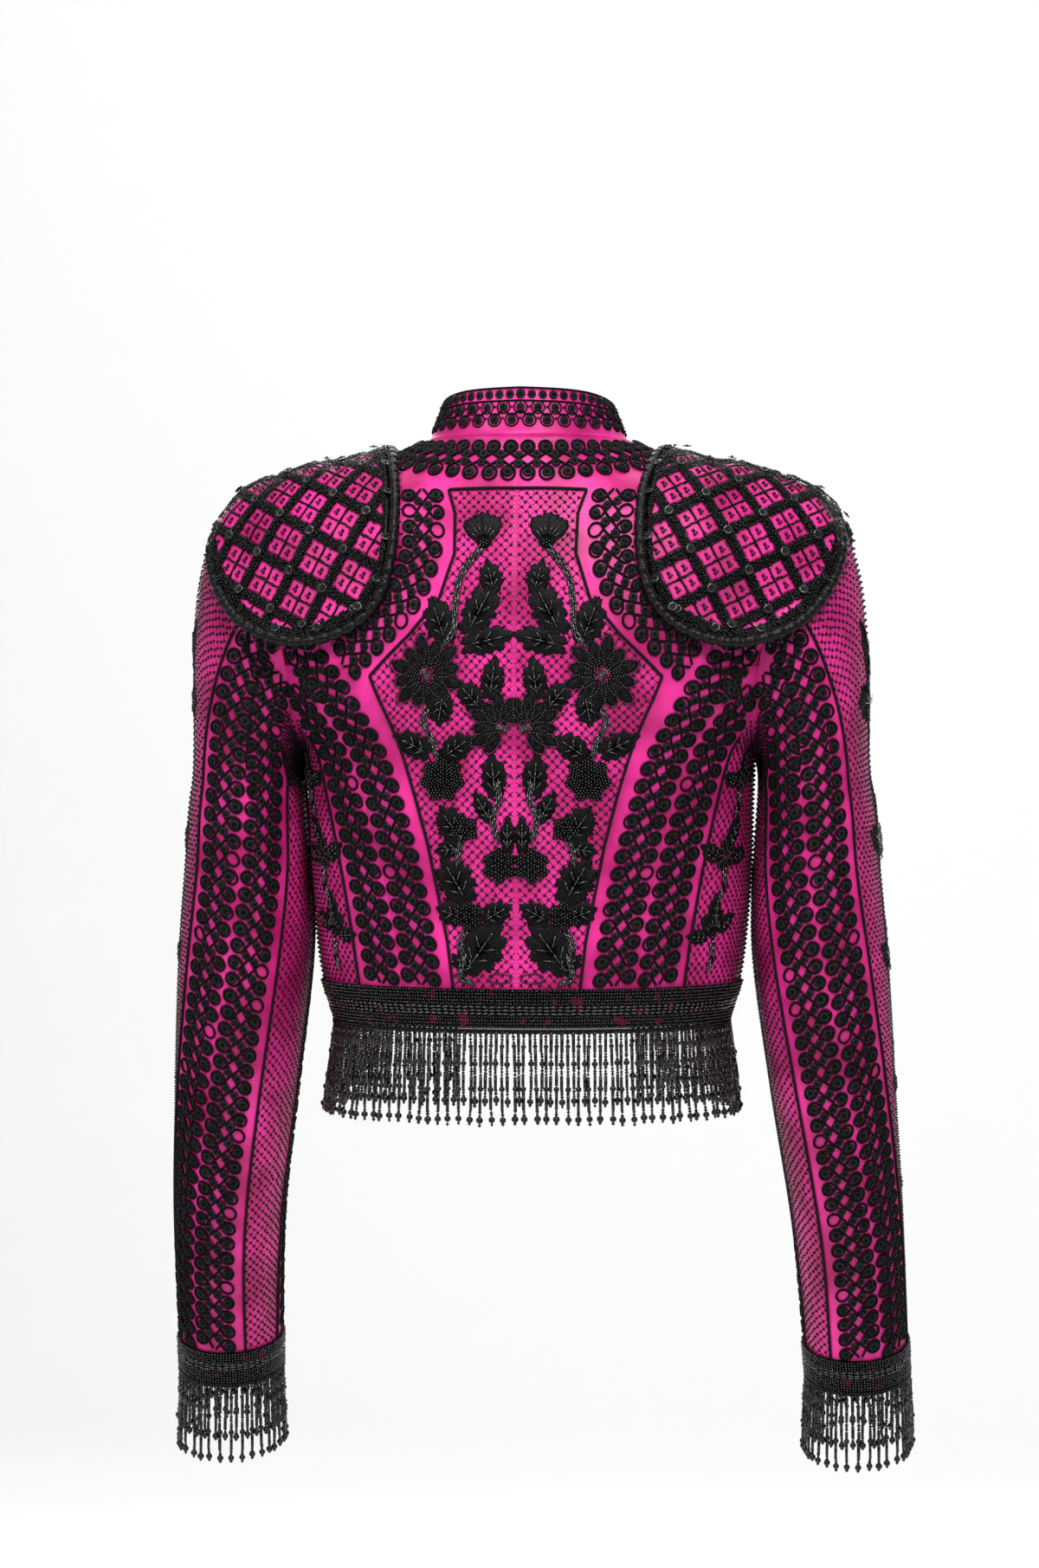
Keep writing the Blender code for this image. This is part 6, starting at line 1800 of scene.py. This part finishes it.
SIDE_FLOWERS = ((0.170, 0.060, 0.0150, 1), (0.118, 0.058, 0.0185, 0), (0.066, 0.057, 0.0165, 2))
for up, across, size, kind in SIDE_FLOWERS:
    sprig("back_side", up, across, size, 12 * (1 - kind), kind)
    stem("back_side", [
        (up - size * 0.6, across), (up - size * 1.2, across + 0.003), (up - size * 1.7, across),
    ])
for up, across, size, kind in (
    (0.325, 0.074, 0.0200, 0), (0.262, 0.070, 0.0215, 1), (0.198, 0.080, 0.0205, 2),
    (0.134, 0.074, 0.0195, 0),
    (0.072, 0.082, 0.0185, 1),
):
    sprig("front", up, across, size, 14 * (1 - kind), kind)
    stem("front", [(up - size * 0.6, across), (up - size * 1.2, across + 0.004), (up - size * 1.8, across)])
for row, across, size, kind in (
    (0.72, 0.105, 0.0270, 0), (1.22, 0.100, 0.0245, 1), (1.72, 0.092, 0.0240, 2), (2.22, 0.088, 0.0225, 0),
    (2.70, 0.080, 0.0200, 1), (3.13, 0.076, 0.0180, 2),
):
    up = row * SLEEVE_SCALE
    sprig("sleeve_upper", up, across, size, 180 + 12 * (1 - kind), kind)
    stem("sleeve_upper", [
        (up + size * 0.6, across), (up + size * 1.3, across + 0.004), (up + size * 2.0, across),
    ])


def stitch_finish():
    """Padded satin stitch in black floss: close threads side by side, with a painted sheen lighter on the
    raised floss.
    """
    made, tree, surface = shader("black_satin_stitch")
    drawn = node(tree, "ShaderNodeMapping", {"Vector": on_cloth(tree), "Scale": (2600.0, 160.0, 1.0)})
    floss, clump = noise(tree, drawn.outputs[0], 1.0), noise(tree, on_jacket(tree), 420.0)
    high = sums(tree, "ADD", sums(tree, "MULTIPLY", floss, 0.6), sums(tree, "MULTIPLY", clump, 0.4))
    share = between(tree, high, 0.35, 0.7)
    # Painted sheen: the floss is lighter where its bump stands higher.
    colour = mixed(tree, share, (0.0008, 0.0008, 0.0010, 1), (0.0050, 0.0050, 0.0055, 1))
    bumped(tree, surface, high, 1.0, 0.0009)
    coloured(tree, surface, colour, 0.55, 0.15)
    return made


CUT_JET = jet_finish("cut_jet_glass", 1.0)
black_piece("spray_stitching", stitched, stitch_finish())
black_piece("spray_bugle_beads", veins, CUT_JET)
black_piece("spray_seed_beads", sprays_seeds + berries_seeds, CUT_JET)
black_piece("spray_sequins", eyes, SEQUIN_BLACK)


# ================================================================ the collar
# A stiffened standing band of satin, open at the front, with a cord and a row of felt discs along its
# top edge and one looped cord with discs below them. Its foot is left plain satin.
COLLAR_WALL = 0.0024
COLLAR_GAP = -0.0003
# From the front neck point (0) through the side neck point (1) to the centre back (2).
Stand = namedtuple("Stand", "place height lean")
COLLAR = [
    Stand(0.0, 0.018, 20), Stand(0.6, 0.022, 22), Stand(1.0, 0.0245, 22), Stand(1.5, 0.0305, 14),
    Stand(2.0, 0.0320, 8),
]


def collar_face(place, up):
    """The collar's outer face: along the neck seam, and a share up the stand, which leans in."""
    def seam(where):
        before, behind = neckline(np.clip(where, 0, 1), -1), neckline(np.clip(2 - where, 0, 1), 1)
        return np.where(column(where) < 1, before, behind)
    small = 1e-3
    run = seam(np.clip(place + small, 0, 2)) - seam(np.clip(place - small, 0, 2))
    inward = unit(np.stack([-run[..., 1], run[..., 0], np.zeros_like(run[..., 0])], axis=-1))
    height, lean = smooth_table(COLLAR, place)
    height, lean = height * up, np.radians(lean)
    base = seam(place) + np.array([0, 0, COLLAR_GAP])
    return base + inward * column(height * np.sin(lean)) + column(height * np.cos(lean)) * [0, 0, 1]


def collar_normals(place, up):
    """The cross product of small steps along the collar and up it."""
    small = 1e-3
    along = collar_face(np.clip(place + small, 0, 2), up) - collar_face(np.clip(place - small, 0, 2), up)
    return unit(np.cross(along, collar_face(place, up + small) - collar_face(place, up - small)))


place, up = np.meshgrid(np.linspace(0.0, 2.0, 89), np.linspace(0.0, 1.0, 13))
normals = collar_normals(place, up)
rounded = 0.0007 * np.clip(np.abs(2 * up - 1) * 6 - 5, 0, 1) ** 2 * (up > 0.5)
stand = collar_face(place, up)
outer, inner = stand - normals * column(rounded), stand - normals * COLLAR_WALL
outer, inner = [np.concatenate([face, face[:, -2::-1] * TWIN], axis=1) for face in (outer, inner)]
points, faces = wall(outer, inner)
facing = np.cross(outer[0, 1] - outer[0, 0], outer[1, 0] - outer[0, 0]) @ normals[0, 0]
faces = faces if facing > 0 else faces[:, ::-1]
run = length_along(outer[0])
high = np.linspace(0, COLLAR[-1].height, len(outer))
uv = np.stack(np.broadcast_arrays(run[None, :], high[:, None]), axis=-1).reshape(-1, 2)
collar = made_piece("satin_collar", points, faces, PLAIN_SATIN, np.tile(uv, (2, 1)), None, ["collar"])

COLLAR_SAMPLES = np.linspace(0.0, 2.0, 241)
COLLAR_RUN = length_along(collar_face(COLLAR_SAMPLES, np.full(241, 0.5)))
LOOP_EVERY, DISC_EVERY = 0.0120, 0.0077


def on_collar(along, up, lift=0.0):
    """Points a distance round the collar's left half from the front, a share up it, and their normals."""
    place = np.interp(along, COLLAR_RUN, COLLAR_SAMPLES)
    place, up = np.broadcast_arrays(place, up)
    normals = collar_normals(place, up)
    return collar_face(place, up) + normals * column(np.broadcast_to(lift, place.shape)), normals


def collar_disc(along, up, radius, shape):
    """Felt discs with their beads, sewn to the collar."""
    centres, normals = on_collar(along, up, 0.0002)
    leaning = unit(normals + chance.normal(0, DISC_TILT, centres.shape))
    ahead = unit(np.cross(leaning, [0.2, 0.1, 0.95]))
    size = radius * chance.uniform(0.94, 1.05, len(centres))
    collar_discs.append(scattered(shape, centres, ahead, leaning, size))
    collar_beads.append(scattered(SEWN_SEED, centres + leaning * (FELT_THICK + 0.0002), ahead, leaning, BEAD))


def collar_cord(along, up, radius=0.00090):
    """One cord laid along a line on the collar."""
    points, normals = on_collar(along, up, radius * 0.7)
    collar_cords.append(tube(points, normals, radius))


collar_cords, collar_discs, collar_beads = [], [], []
end = COLLAR_RUN[-1]
fine = np.linspace(0.0, end, 400)
collar_cord(fine, np.full(400, 1.005), 0.0008)
collar_cord(fine, np.full(400, 0.72))
places = end - np.arange(0, end - 0.003, DISC_EVERY)
collar_disc(places, 0.865, 0.0034, FELT_SMALL)
# One cord in a wave between the loops, and a loop of it round each disc above and below.
wave = 2 * math.pi * (end - fine) / LOOP_EVERY
collar_cord(fine, 0.455 + 0.055 * np.cos(wave))
places = end - np.arange(0, end - 0.004, LOOP_EVERY)
turn = np.linspace(0, 2 * math.pi, 15)
for up, shift, radius in ((0.585, 0.0, 0.0033), (0.305, 0.5, 0.0035)):
    centres = places - shift * LOOP_EVERY
    centres = centres[centres > 0.004]
    collar_disc(centres, up, radius, FELT_SMALL)
    for centre in centres:
        collar_cord(centre + 0.0045 * np.sin(turn), up + 0.140 * np.cos(turn), 0.0007)
for up, shift in ((0.59, 0.5), (0.34, 0.0), (0.455, 0.25), (0.455, 0.75)):
    centres = places - shift * LOOP_EVERY
    points, normals = on_collar(centres[centres > 0.002], up, 0.0009)
    ahead = unit(np.cross(normals, [0.2, 0.1, 0.95]))
    collar_beads.append(scattered(SEWN_SEED, points, ahead, normals, 0.0012))
black_piece("collar_cords", collar_cords, SOUTACHE)
black_piece("collar_discs", collar_discs, FELT)
black_piece("collar_beads", collar_beads, JET)


# ================================================================ the beaded bands
# A band of black cloth over the hem and each wrist, worked solid with rows of seed beads and, in its
# middle rows, bugle beads laid along it.
BAND_OFF = 0.0005         # the band lies just off the cloth
BAND_THICK = 0.0014
BAND_ROWS = 12
BUGLE_ROWS = (4, 5, 6)
END_ROOM = 0.004
SEED_EVERY, BUGLE_EVERY = 0.0020, 0.0046
BAND_SEED = np.array([0.0011, 0.00125, 0.0011])    # half its size along, across and out
BAND_BUGLE = (0.00205, 0.00085)    # half its length, and its radius


def hem_line(where, height, lift):
    """Round the hem from the left front edge (0) by the centre back (1) to the right front edge (2)."""
    where = np.asarray(where, float)
    left = np.where(where <= 1, where, 2 - where)
    behind = left > 0.5
    s = np.where(behind, 2 - 2 * left, 2 * left)
    level = np.full_like(s, height)
    points = np.where(column(behind), body(s, level, 1), body(s, level, -1))
    small = 1e-4
    run_back = body(np.clip(s + small, 0, 1), level, 1) - body(np.clip(s - small, 0, 1), level, 1)
    run_front = body(np.clip(s + small, 0, 1), level, -1) - body(np.clip(s - small, 0, 1), level, -1)
    run = np.where(column(behind), -run_back, run_front)
    out = unit(np.stack([run[..., 1], -run[..., 0], np.zeros_like(s)], axis=-1))
    points = points + out * lift
    twin = np.where(column(where) <= 1, 1, TWIN)
    return points * twin, out * twin


def cuff_line(where, along, lift):
    """Round the left cuff from its outer side (0) by the back to the outer side again (2)."""
    angle = np.asarray(where, float) * 180
    points = sleeve(angle, along)
    middle = sleeve(np.arange(0, 360, 10.0), along).mean(axis=0)
    small = 0.5
    run = sleeve(angle + small, along) - sleeve(angle - small, along)
    down = points - sleeve(angle, along - 0.01)
    out = unit(np.cross(run, down))
    out = out * np.sign(np.sum(out * (points - middle), axis=-1, keepdims=True))
    return points + out * lift, out


def even_places(line, count, closed, ends=END_ROOM):
    """The places of count points evenly spaced along a line given as a function of 0..2."""
    samples = np.linspace(0, 2, 401)
    run = length_along(line(samples)[0])
    if closed:
        return np.interp(np.linspace(0, run[-1], count + 1)[:-1], run, samples)
    return np.interp(np.linspace(ends, run[-1] - ends, count), run, samples)


def ground_finish():
    """Black cloth, close and dull, with a fine cross weave, and painted pink glints here and there, a painted
    reflection of the fuchsia.
    """
    made, tree, surface = shader("black_ground_cloth")
    weave, pink_glints = noise(tree, on_jacket(tree), 1400.0), noise(tree, on_jacket(tree), 130.0)
    colour = mixed(tree, weave, (0.002, 0.002, 0.0022, 1), (0.009, 0.009, 0.0095, 1))
    # Painted pink glints: spots of fuchsia on the black cloth, a painted reflection of the satin round it.
    colour = mixed(tree, between(tree, pink_glints, 0.60, 0.66), colour, (0.22, 0.004, 0.06, 1))
    bumped(tree, surface, weave, 0.5, 0.0003)
    coloured(tree, surface, colour, 0.9, 0.1)
    return made


GROUND = ground_finish()


def banded(line, levels, closed, count):
    """A band's ground, and the beads worked over it row by row: its wall, its seeds and its bugles."""
    where = even_places(lambda at: line(at, levels[0], 0.0), count, closed, 0.0)
    where = where if closed else np.concatenate([[0.0], where[1:-1], [2.0]])
    lifts = (BAND_OFF + BAND_THICK, BAND_OFF)
    faces = [np.array([line(where, level, lift)[0] for level in levels]) for lift in lifts]
    ground = wall(*faces, closed=closed)
    run = np.linalg.norm(np.diff(faces[0][0], axis=0), axis=1).sum()
    seeds, tubes = [], []
    for k in range(BAND_ROWS):
        level = lerp(levels[0], levels[1], (k + 0.5) / BAND_ROWS)
        every, ends = (BUGLE_EVERY, 0.003) if k in BUGLE_ROWS else (SEED_EVERY, 0.002)
        at = even_places(lambda place: line(place, level, 0.0), int(run / every), closed, ends)
        at = at + chance.normal(0, 0.0004, at.size)
        at = at if closed else np.clip(at, 0.004, 1.996)
        centres, out = line(at, level, BAND_OFF + BAND_THICK + 0.0004)
        centres = centres + out * column(chance.uniform(-0.0002, 0.0004, at.size))
        centres = centres + chance.normal(0, 0.00012, centres.shape)
        ahead = unit(line(at + 1e-3, level, 0.0)[0] - line(at - 1e-3, level, 0.0)[0])
        ahead = square_to(unit(ahead + chance.normal(0, 0.10, ahead.shape)), out)
        if k in BUGLE_ROWS:
            tubes.append(bugles(centres, ahead, out, *BAND_BUGLE))
        else:
            size = BAND_SEED * column(chance.uniform(0.85, 1.1, at.size))
            seeds.append(scattered(SEWN_SEED, centres, ahead, out, size))
    return ground, run, merged(seeds), merged(tubes)


def band_pieces(name, ground, run, seeds, tubes, node_name, turned):
    """One band: its cloth, its seed beads and its bugle beads."""
    points, faces = ground
    first = points[: len(points) // 2]
    uv = np.tile(np.stack([np.linspace(0, run, len(first)), np.zeros(len(first))], axis=-1), (2, 1))
    faces = faces[:, ::-1] if turned else faces
    cloth = made_piece(f"{name}_cloth", points, faces, GROUND, uv, None, [node_name])
    for kind, (shape_points, shape_faces, shape_uv) in (("seed_beads", seeds), ("bugle_beads", tubes)):
        turned_faces = [part[:, ::-1] for part in shape_faces] if turned else shape_faces
        piece = made_piece(f"{name}_{kind}", shape_points, turned_faces, CUT_JET, shape_uv)
    return cloth


def outwards_first(ground, out):
    """The faces of a wall, turned so that its first face looks outwards."""
    points, faces = ground
    a, b, c = points[faces[0][:3]]
    return (points, faces) if np.cross(b - a, c - a) @ out > 0 else (points, faces[:, ::-1])


ground, run, seeds, tubes = banded(hem_line, (HEM, BAND_TOP), False, 181)
ground = outwards_first(ground, hem_line(np.array([0.01]), HEM, 0.0)[1][0])
hem_cloth = band_pieces("hem_band", ground, run, seeds, tubes, "hem_band", False)
ground, run, seeds, tubes = banded(cuff_line, (CUFF_START, SLEEVE_END), True, 72)
ground = outwards_first(ground, cuff_line(np.array([0.01]), CUFF_START, 0.0)[1][0])
for side, twin in (("left", 1), ("right", TWIN)):
    parts = [(part[0] * twin, part[1], part[2]) for part in (seeds, tubes)]
    cuff_cloth = band_pieces(
        f"cuff_band_{side}", (ground[0] * twin, ground[1]), run, *parts, f"cuff_band_{side}", side == "right",
    )


# ================================================================ the beaded fringe
# Strands of jet strung on thread from a narrow tape under the hem and the cuffs, long and short in turn:
# bugle and seed beads without a gap, round pearls part of the way down, and a pearl at the end.
STRIP_GAP, STRIP_TALL, STRIP_THICK = 0.0003, 0.0030, 0.0016
THREAD_HALF = 0.00034
HEM_STRANDS, CUFF_STRANDS = 178, 66
HEM_LENGTHS, CUFF_LENGTHS = (0.0650, 0.0520), (0.0560, 0.0400)
HEM_FLARE, CUFF_FLARE = 0.12, 0.03   # how far a strand swings out at the sides, for each metre down
PEARL = lathe([(0.35, -0.92), (0.85, -0.5), (1.0, 0.0), (0.85, 0.5), (0.35, 0.92), (0.0, 0.96)], 7)
Bead = namedtuple("Bead", "share half kind")
# What hangs on a long and on a short strand: a share of the way down it, half the share that it takes up,
# and the kind of bead.
LONG_STRAND = [
    Bead(0.020, 0.015, "seed"), Bead(0.052, 0.015, "seed"), Bead(0.084, 0.015, "seed"),
    Bead(0.116, 0.015, "seed"), Bead(0.155, 0.020, "small_pearl"), Bead(0.275, 0.100, "bugle"),
    Bead(0.395, 0.015, "seed"), Bead(0.427, 0.015, "seed"), Bead(0.459, 0.015, "seed"),
    Bead(0.530, 0.052, "bugle"), Bead(0.612, 0.026, "pearl"), Bead(0.740, 0.100, "bugle"),
    Bead(0.856, 0.015, "seed"), Bead(0.886, 0.015, "seed"), Bead(0.935, 0.030, "end"),
    Bead(0.982, 0.014, "seed"),
]
SHORT_STRAND = [
    Bead(0.140, 0.135, "bugle"), Bead(0.296, 0.018, "seed"), Bead(0.334, 0.018, "seed"),
    Bead(0.372, 0.018, "seed"), Bead(0.425, 0.032, "pearl"), Bead(0.478, 0.018, "seed"),
    Bead(0.516, 0.018, "seed"), Bead(0.554, 0.018, "seed"), Bead(0.670, 0.096, "bugle"),
    Bead(0.786, 0.018, "seed"), Bead(0.824, 0.018, "seed"), Bead(0.862, 0.018, "seed"),
    Bead(0.918, 0.036, "end"), Bead(0.974, 0.018, "seed"),
]
RADII = {"seed": 0.00150, "bugle": 0.00120, "small_pearl": 0.00175, "pearl": 0.00215, "end": 0.00245}


def fringed(line, down, count, lengths, closed, flare):
    """A tape and its strands: the tape's wall, the threads, and the beads of each kind.

    Strand k hangs from a place on the tape and runs down, swung outwards by flare times its outward x.
    """
    edge = even_places(line, 121 if not closed else 64, closed, 0.0)
    top, out = line(edge)
    levels = [top + down * STRIP_GAP, top + down * (STRIP_GAP + STRIP_TALL)]
    tape = wall(np.array(levels), np.array([level - out * STRIP_THICK for level in levels]), closed=closed)
    where = even_places(line, count, closed)
    top, out = line(where)
    start = top + down * (STRIP_GAP + STRIP_TALL * 0.6) - out * 0.0006
    length = np.where(np.arange(count) % 2 == 0, *lengths) * chance.uniform(0.975, 1.0, count)
    flaring = out * [1, 1, 0] * flare * np.abs(out[:, :1])
    way = unit(np.array([0, 0, -1.0]) + flaring + chance.normal(0, 0.012, (count, 3)) * [1, 1, 0])
    bow = chance.normal(0, 0.0005, (count, 3)) * [1, 1, 0]

    def on_strand(share, which=slice(None)):
        """Places down some of the strands: along their way, with a slight bow sideways."""
        straight = start[which] + way[which] * column(length[which] * share)
        return straight + bow[which] * column(np.sin(share * math.pi))

    shares = np.linspace(0.0, 0.985, 6)
    path = np.stack([on_strand(share) for share in shares], axis=1)
    threads = merged([tube(points, np.tile(side, (6, 1)), THREAD_HALF) for points, side in zip(path, out)])
    seeds, pearls, tubes = [], [], []
    for strand, hung in ((LONG_STRAND, np.arange(0, count, 2)), (SHORT_STRAND, np.arange(1, count, 2))):
        for bead in strand:
            share = bead.share + chance.normal(0, 0.003, len(hung))
            centres = on_strand(share, hung)
            turn = chance.uniform(0, math.pi, len(hung))
            across = unit(np.cross(way[hung], out[hung]))
            across = unit(across * column(np.cos(turn)) + np.cross(way[hung], across) * column(np.sin(turn)))
            radius = RADII[bead.kind] * chance.uniform(0.94, 1.06, len(hung))
            if bead.kind == "seed":
                seeds.append(scattered(SEED, centres, across, way[hung], radius))
            elif bead.kind == "bugle":
                tubes.append(bugles(centres, way[hung], across, length[hung] * bead.half, radius))
            else:
                pearls.append(scattered(PEARL, centres, across, way[hung], radius))
    # A row of seed beads along the tape hides it.
    at = even_places(line, int(length_along(line(np.linspace(0, 2, 401))[0])[-1] / 0.0021), closed, 0.001)
    for fall in (0.35, 0.9):
        centres, leaning = line(at)
        centres = centres + down * (STRIP_GAP + STRIP_TALL * fall) + chance.normal(0, 0.00015, centres.shape)
        seeds.append(scattered(SEED, centres, unit(np.cross(leaning, down)), leaning, 0.0012))
    return tape, threads, merged(seeds), merged(pearls), merged(tubes)


def fringe_pieces(name, parts, node_name, twin):
    """The pieces of one fringe, mirrored for the right side."""
    turned = np.ndim(twin) > 0
    tape_points, tape_faces = parts[0]
    whole = [("tape", (tape_points, [tape_faces], np.zeros((len(tape_points), 2))), SOUTACHE)]
    kinds = ("threads", "seed_beads", "pearls", "bugle_beads")
    whole += list(zip(kinds, parts[1:], (SOUTACHE, JET, JET, JET)))
    for kind, (points, faces, uv), finish in whole:
        faces = [part[:, ::-1] for part in faces] if turned else faces
        replaced = [node_name] if kind == "tape" else ()
        piece = made_piece(f"{name}_{kind}", points * twin, faces, finish, uv, None, replaced)


def hem_edge(where):
    """The outside of the hem band's bottom edge."""
    return hem_line(where, HEM, 0.0024)


def cuff_edge(where):
    """The outside of the cuff band's bottom edge."""
    return cuff_line(where, SLEEVE_END, 0.0024)


hem_parts = fringed(hem_edge, np.array([0, 0, -1.0]), HEM_STRANDS, HEM_LENGTHS, False, HEM_FLARE)
hem_parts = (outwards_first(hem_parts[0], hem_edge(np.array([0.01]))[1][0]), *hem_parts[1:])
fringe_pieces("hem_fringe", hem_parts, "hem_fringe", 1)
tilt = math.radians(RINGS[-1].tilt)
cuff_down = np.array([0, -math.sin(tilt), -math.cos(tilt)])
cuff_parts = fringed(cuff_edge, cuff_down, CUFF_STRANDS, CUFF_LENGTHS, True, CUFF_FLARE)
cuff_parts = (outwards_first(cuff_parts[0], cuff_edge(np.array([0.01]))[1][0]), *cuff_parts[1:])
for side, twin in (("left", 1), ("right", TWIN)):
    fringe_pieces(f"cuff_fringe_{side}", cuff_parts, f"cuff_fringe_{side}", twin)


# ================================================================ floor, light and camera
# A plain pale floor with soft studio light from large panels, and the camera behind the jacket.
def plain_finish(name, colour, roughness):
    """A smooth matt surface with a faint unevenness of tone."""
    made, tree, surface = shader(name)
    darker = tuple(0.985 * value for value in colour[:3]) + (1,)
    tone = noise(tree, on_jacket(tree), 1.5)
    tree.links.new(mixed(tree, tone, darker, colour), surface.inputs["Base Color"])
    surface.inputs["Roughness"].default_value = roughness
    return made


# The floor sweeps up into a backdrop well beyond the front of the jacket: its distance and its height.
FLOOR_LEVEL, FLOOR_HALF = -1.40, 7.0
angle = np.linspace(0, math.pi / 2, 13)
sweep = np.stack([-4.8 - 1.6 * np.sin(angle), FLOOR_LEVEL + 1.6 * (1 - np.cos(angle))], axis=-1)
sweep = np.concatenate([[[FLOOR_HALF, FLOOR_LEVEL]], sweep, [[-6.4, 4.5]]])
points = np.array([[side * FLOOR_HALF, y, z] for side in (1, -1) for y, z in sweep])
ids = np.arange(len(points)).reshape(2, -1)
floor_mesh = bpy.data.meshes.new("floor")
floor_mesh.from_pydata(points.tolist(), [], grid_quads(ids).tolist())
floor_mesh.polygons.foreach_set("use_smooth", np.ones(len(sweep) - 1, bool))
floor_mesh.materials.append(plain_finish("floor_paint", (0.93, 0.93, 0.93, 1), 0.9))
floor = bpy.data.objects.new("floor", floor_mesh)
bpy.context.scene.collection.objects.link(floor)

world = bpy.data.worlds.new("studio")
world.use_nodes = True
world.node_tree.nodes["Background"].inputs["Color"].default_value = (1.0, 1.0, 1.0, 1)
world.node_tree.nodes["Background"].inputs["Strength"].default_value = 0.34
bpy.context.scene.world = world

# Each light: where it hangs, what it looks at, its size and its power.
Lamp = namedtuple("Lamp", "name place size power")
LAMPS = [
    Lamp("key_panel", (-0.9, 2.4, 1.7), 1.1, 62),
    Lamp("side_panel", (1.9, 2.1, 1.1), 0.9, 26),
    Lamp("top_panel", (0.1, 0.9, 2.3), 1.0, 34),
    Lamp("front_panel", (0.6, -3.0, 1.2), 2.0, 26),
    Lamp("backdrop_panel", (0.0, -1.6, 3.4), 3.0, 180),
]
BACKDROP_AIM = np.array([0.0, -6.2, -0.2])
AIM = np.array([0.0, 0.05, -0.25])


def aimed(item, place, target):
    """Set an object at a place, with its -Z turned to the target and its Y upwards."""
    away = unit(np.asarray(place, float) - target)
    side = unit(np.cross([0.0, 0.0, 1.0], away))
    turn = np.stack([side, np.cross(away, side), away], axis=1)
    matrix = np.eye(4)
    matrix[:3, :3], matrix[:3, 3] = turn, place
    item.matrix_world = matrix.T.tolist()


for lamp in LAMPS:
    light = bpy.data.lights.new(lamp.name, "AREA")
    light.energy, light.size = lamp.power, lamp.size
    item = bpy.data.objects.new(lamp.name, light)
    bpy.context.scene.collection.objects.link(item)
    aimed(item, lamp.place, AIM if lamp.name != "backdrop_panel" else BACKDROP_AIM)

# The camera stands 4 m behind, a little to the wearer's left of the middle and just above the level.
AZIMUTH, ELEVATION, DISTANCE = math.radians(5.7), math.radians(2.0), 4.0
PICTURE_TALL = 1811 * 0.0006      # metres that the view is tall at the target
SENSOR = 36.0
away = np.array([
    -math.sin(AZIMUTH) * math.cos(ELEVATION), math.cos(AZIMUTH) * math.cos(ELEVATION), math.sin(ELEVATION),
])
right = np.array([-math.cos(AZIMUTH), -math.sin(AZIMUTH), 0.0])
above = np.cross(right, -away)
target = -0.0066 * right - 0.2385 * above
camera_data = bpy.data.cameras.new("camera")
camera_data.sensor_fit, camera_data.sensor_width = "AUTO", SENSOR
camera_data.lens = SENSOR * DISTANCE / PICTURE_TALL
camera = bpy.data.objects.new("camera", camera_data)
bpy.context.scene.collection.objects.link(camera)
aimed(camera, target + away * DISTANCE, target)
bpy.context.scene.camera = camera
bpy.context.scene.view_settings.view_transform = "Standard"
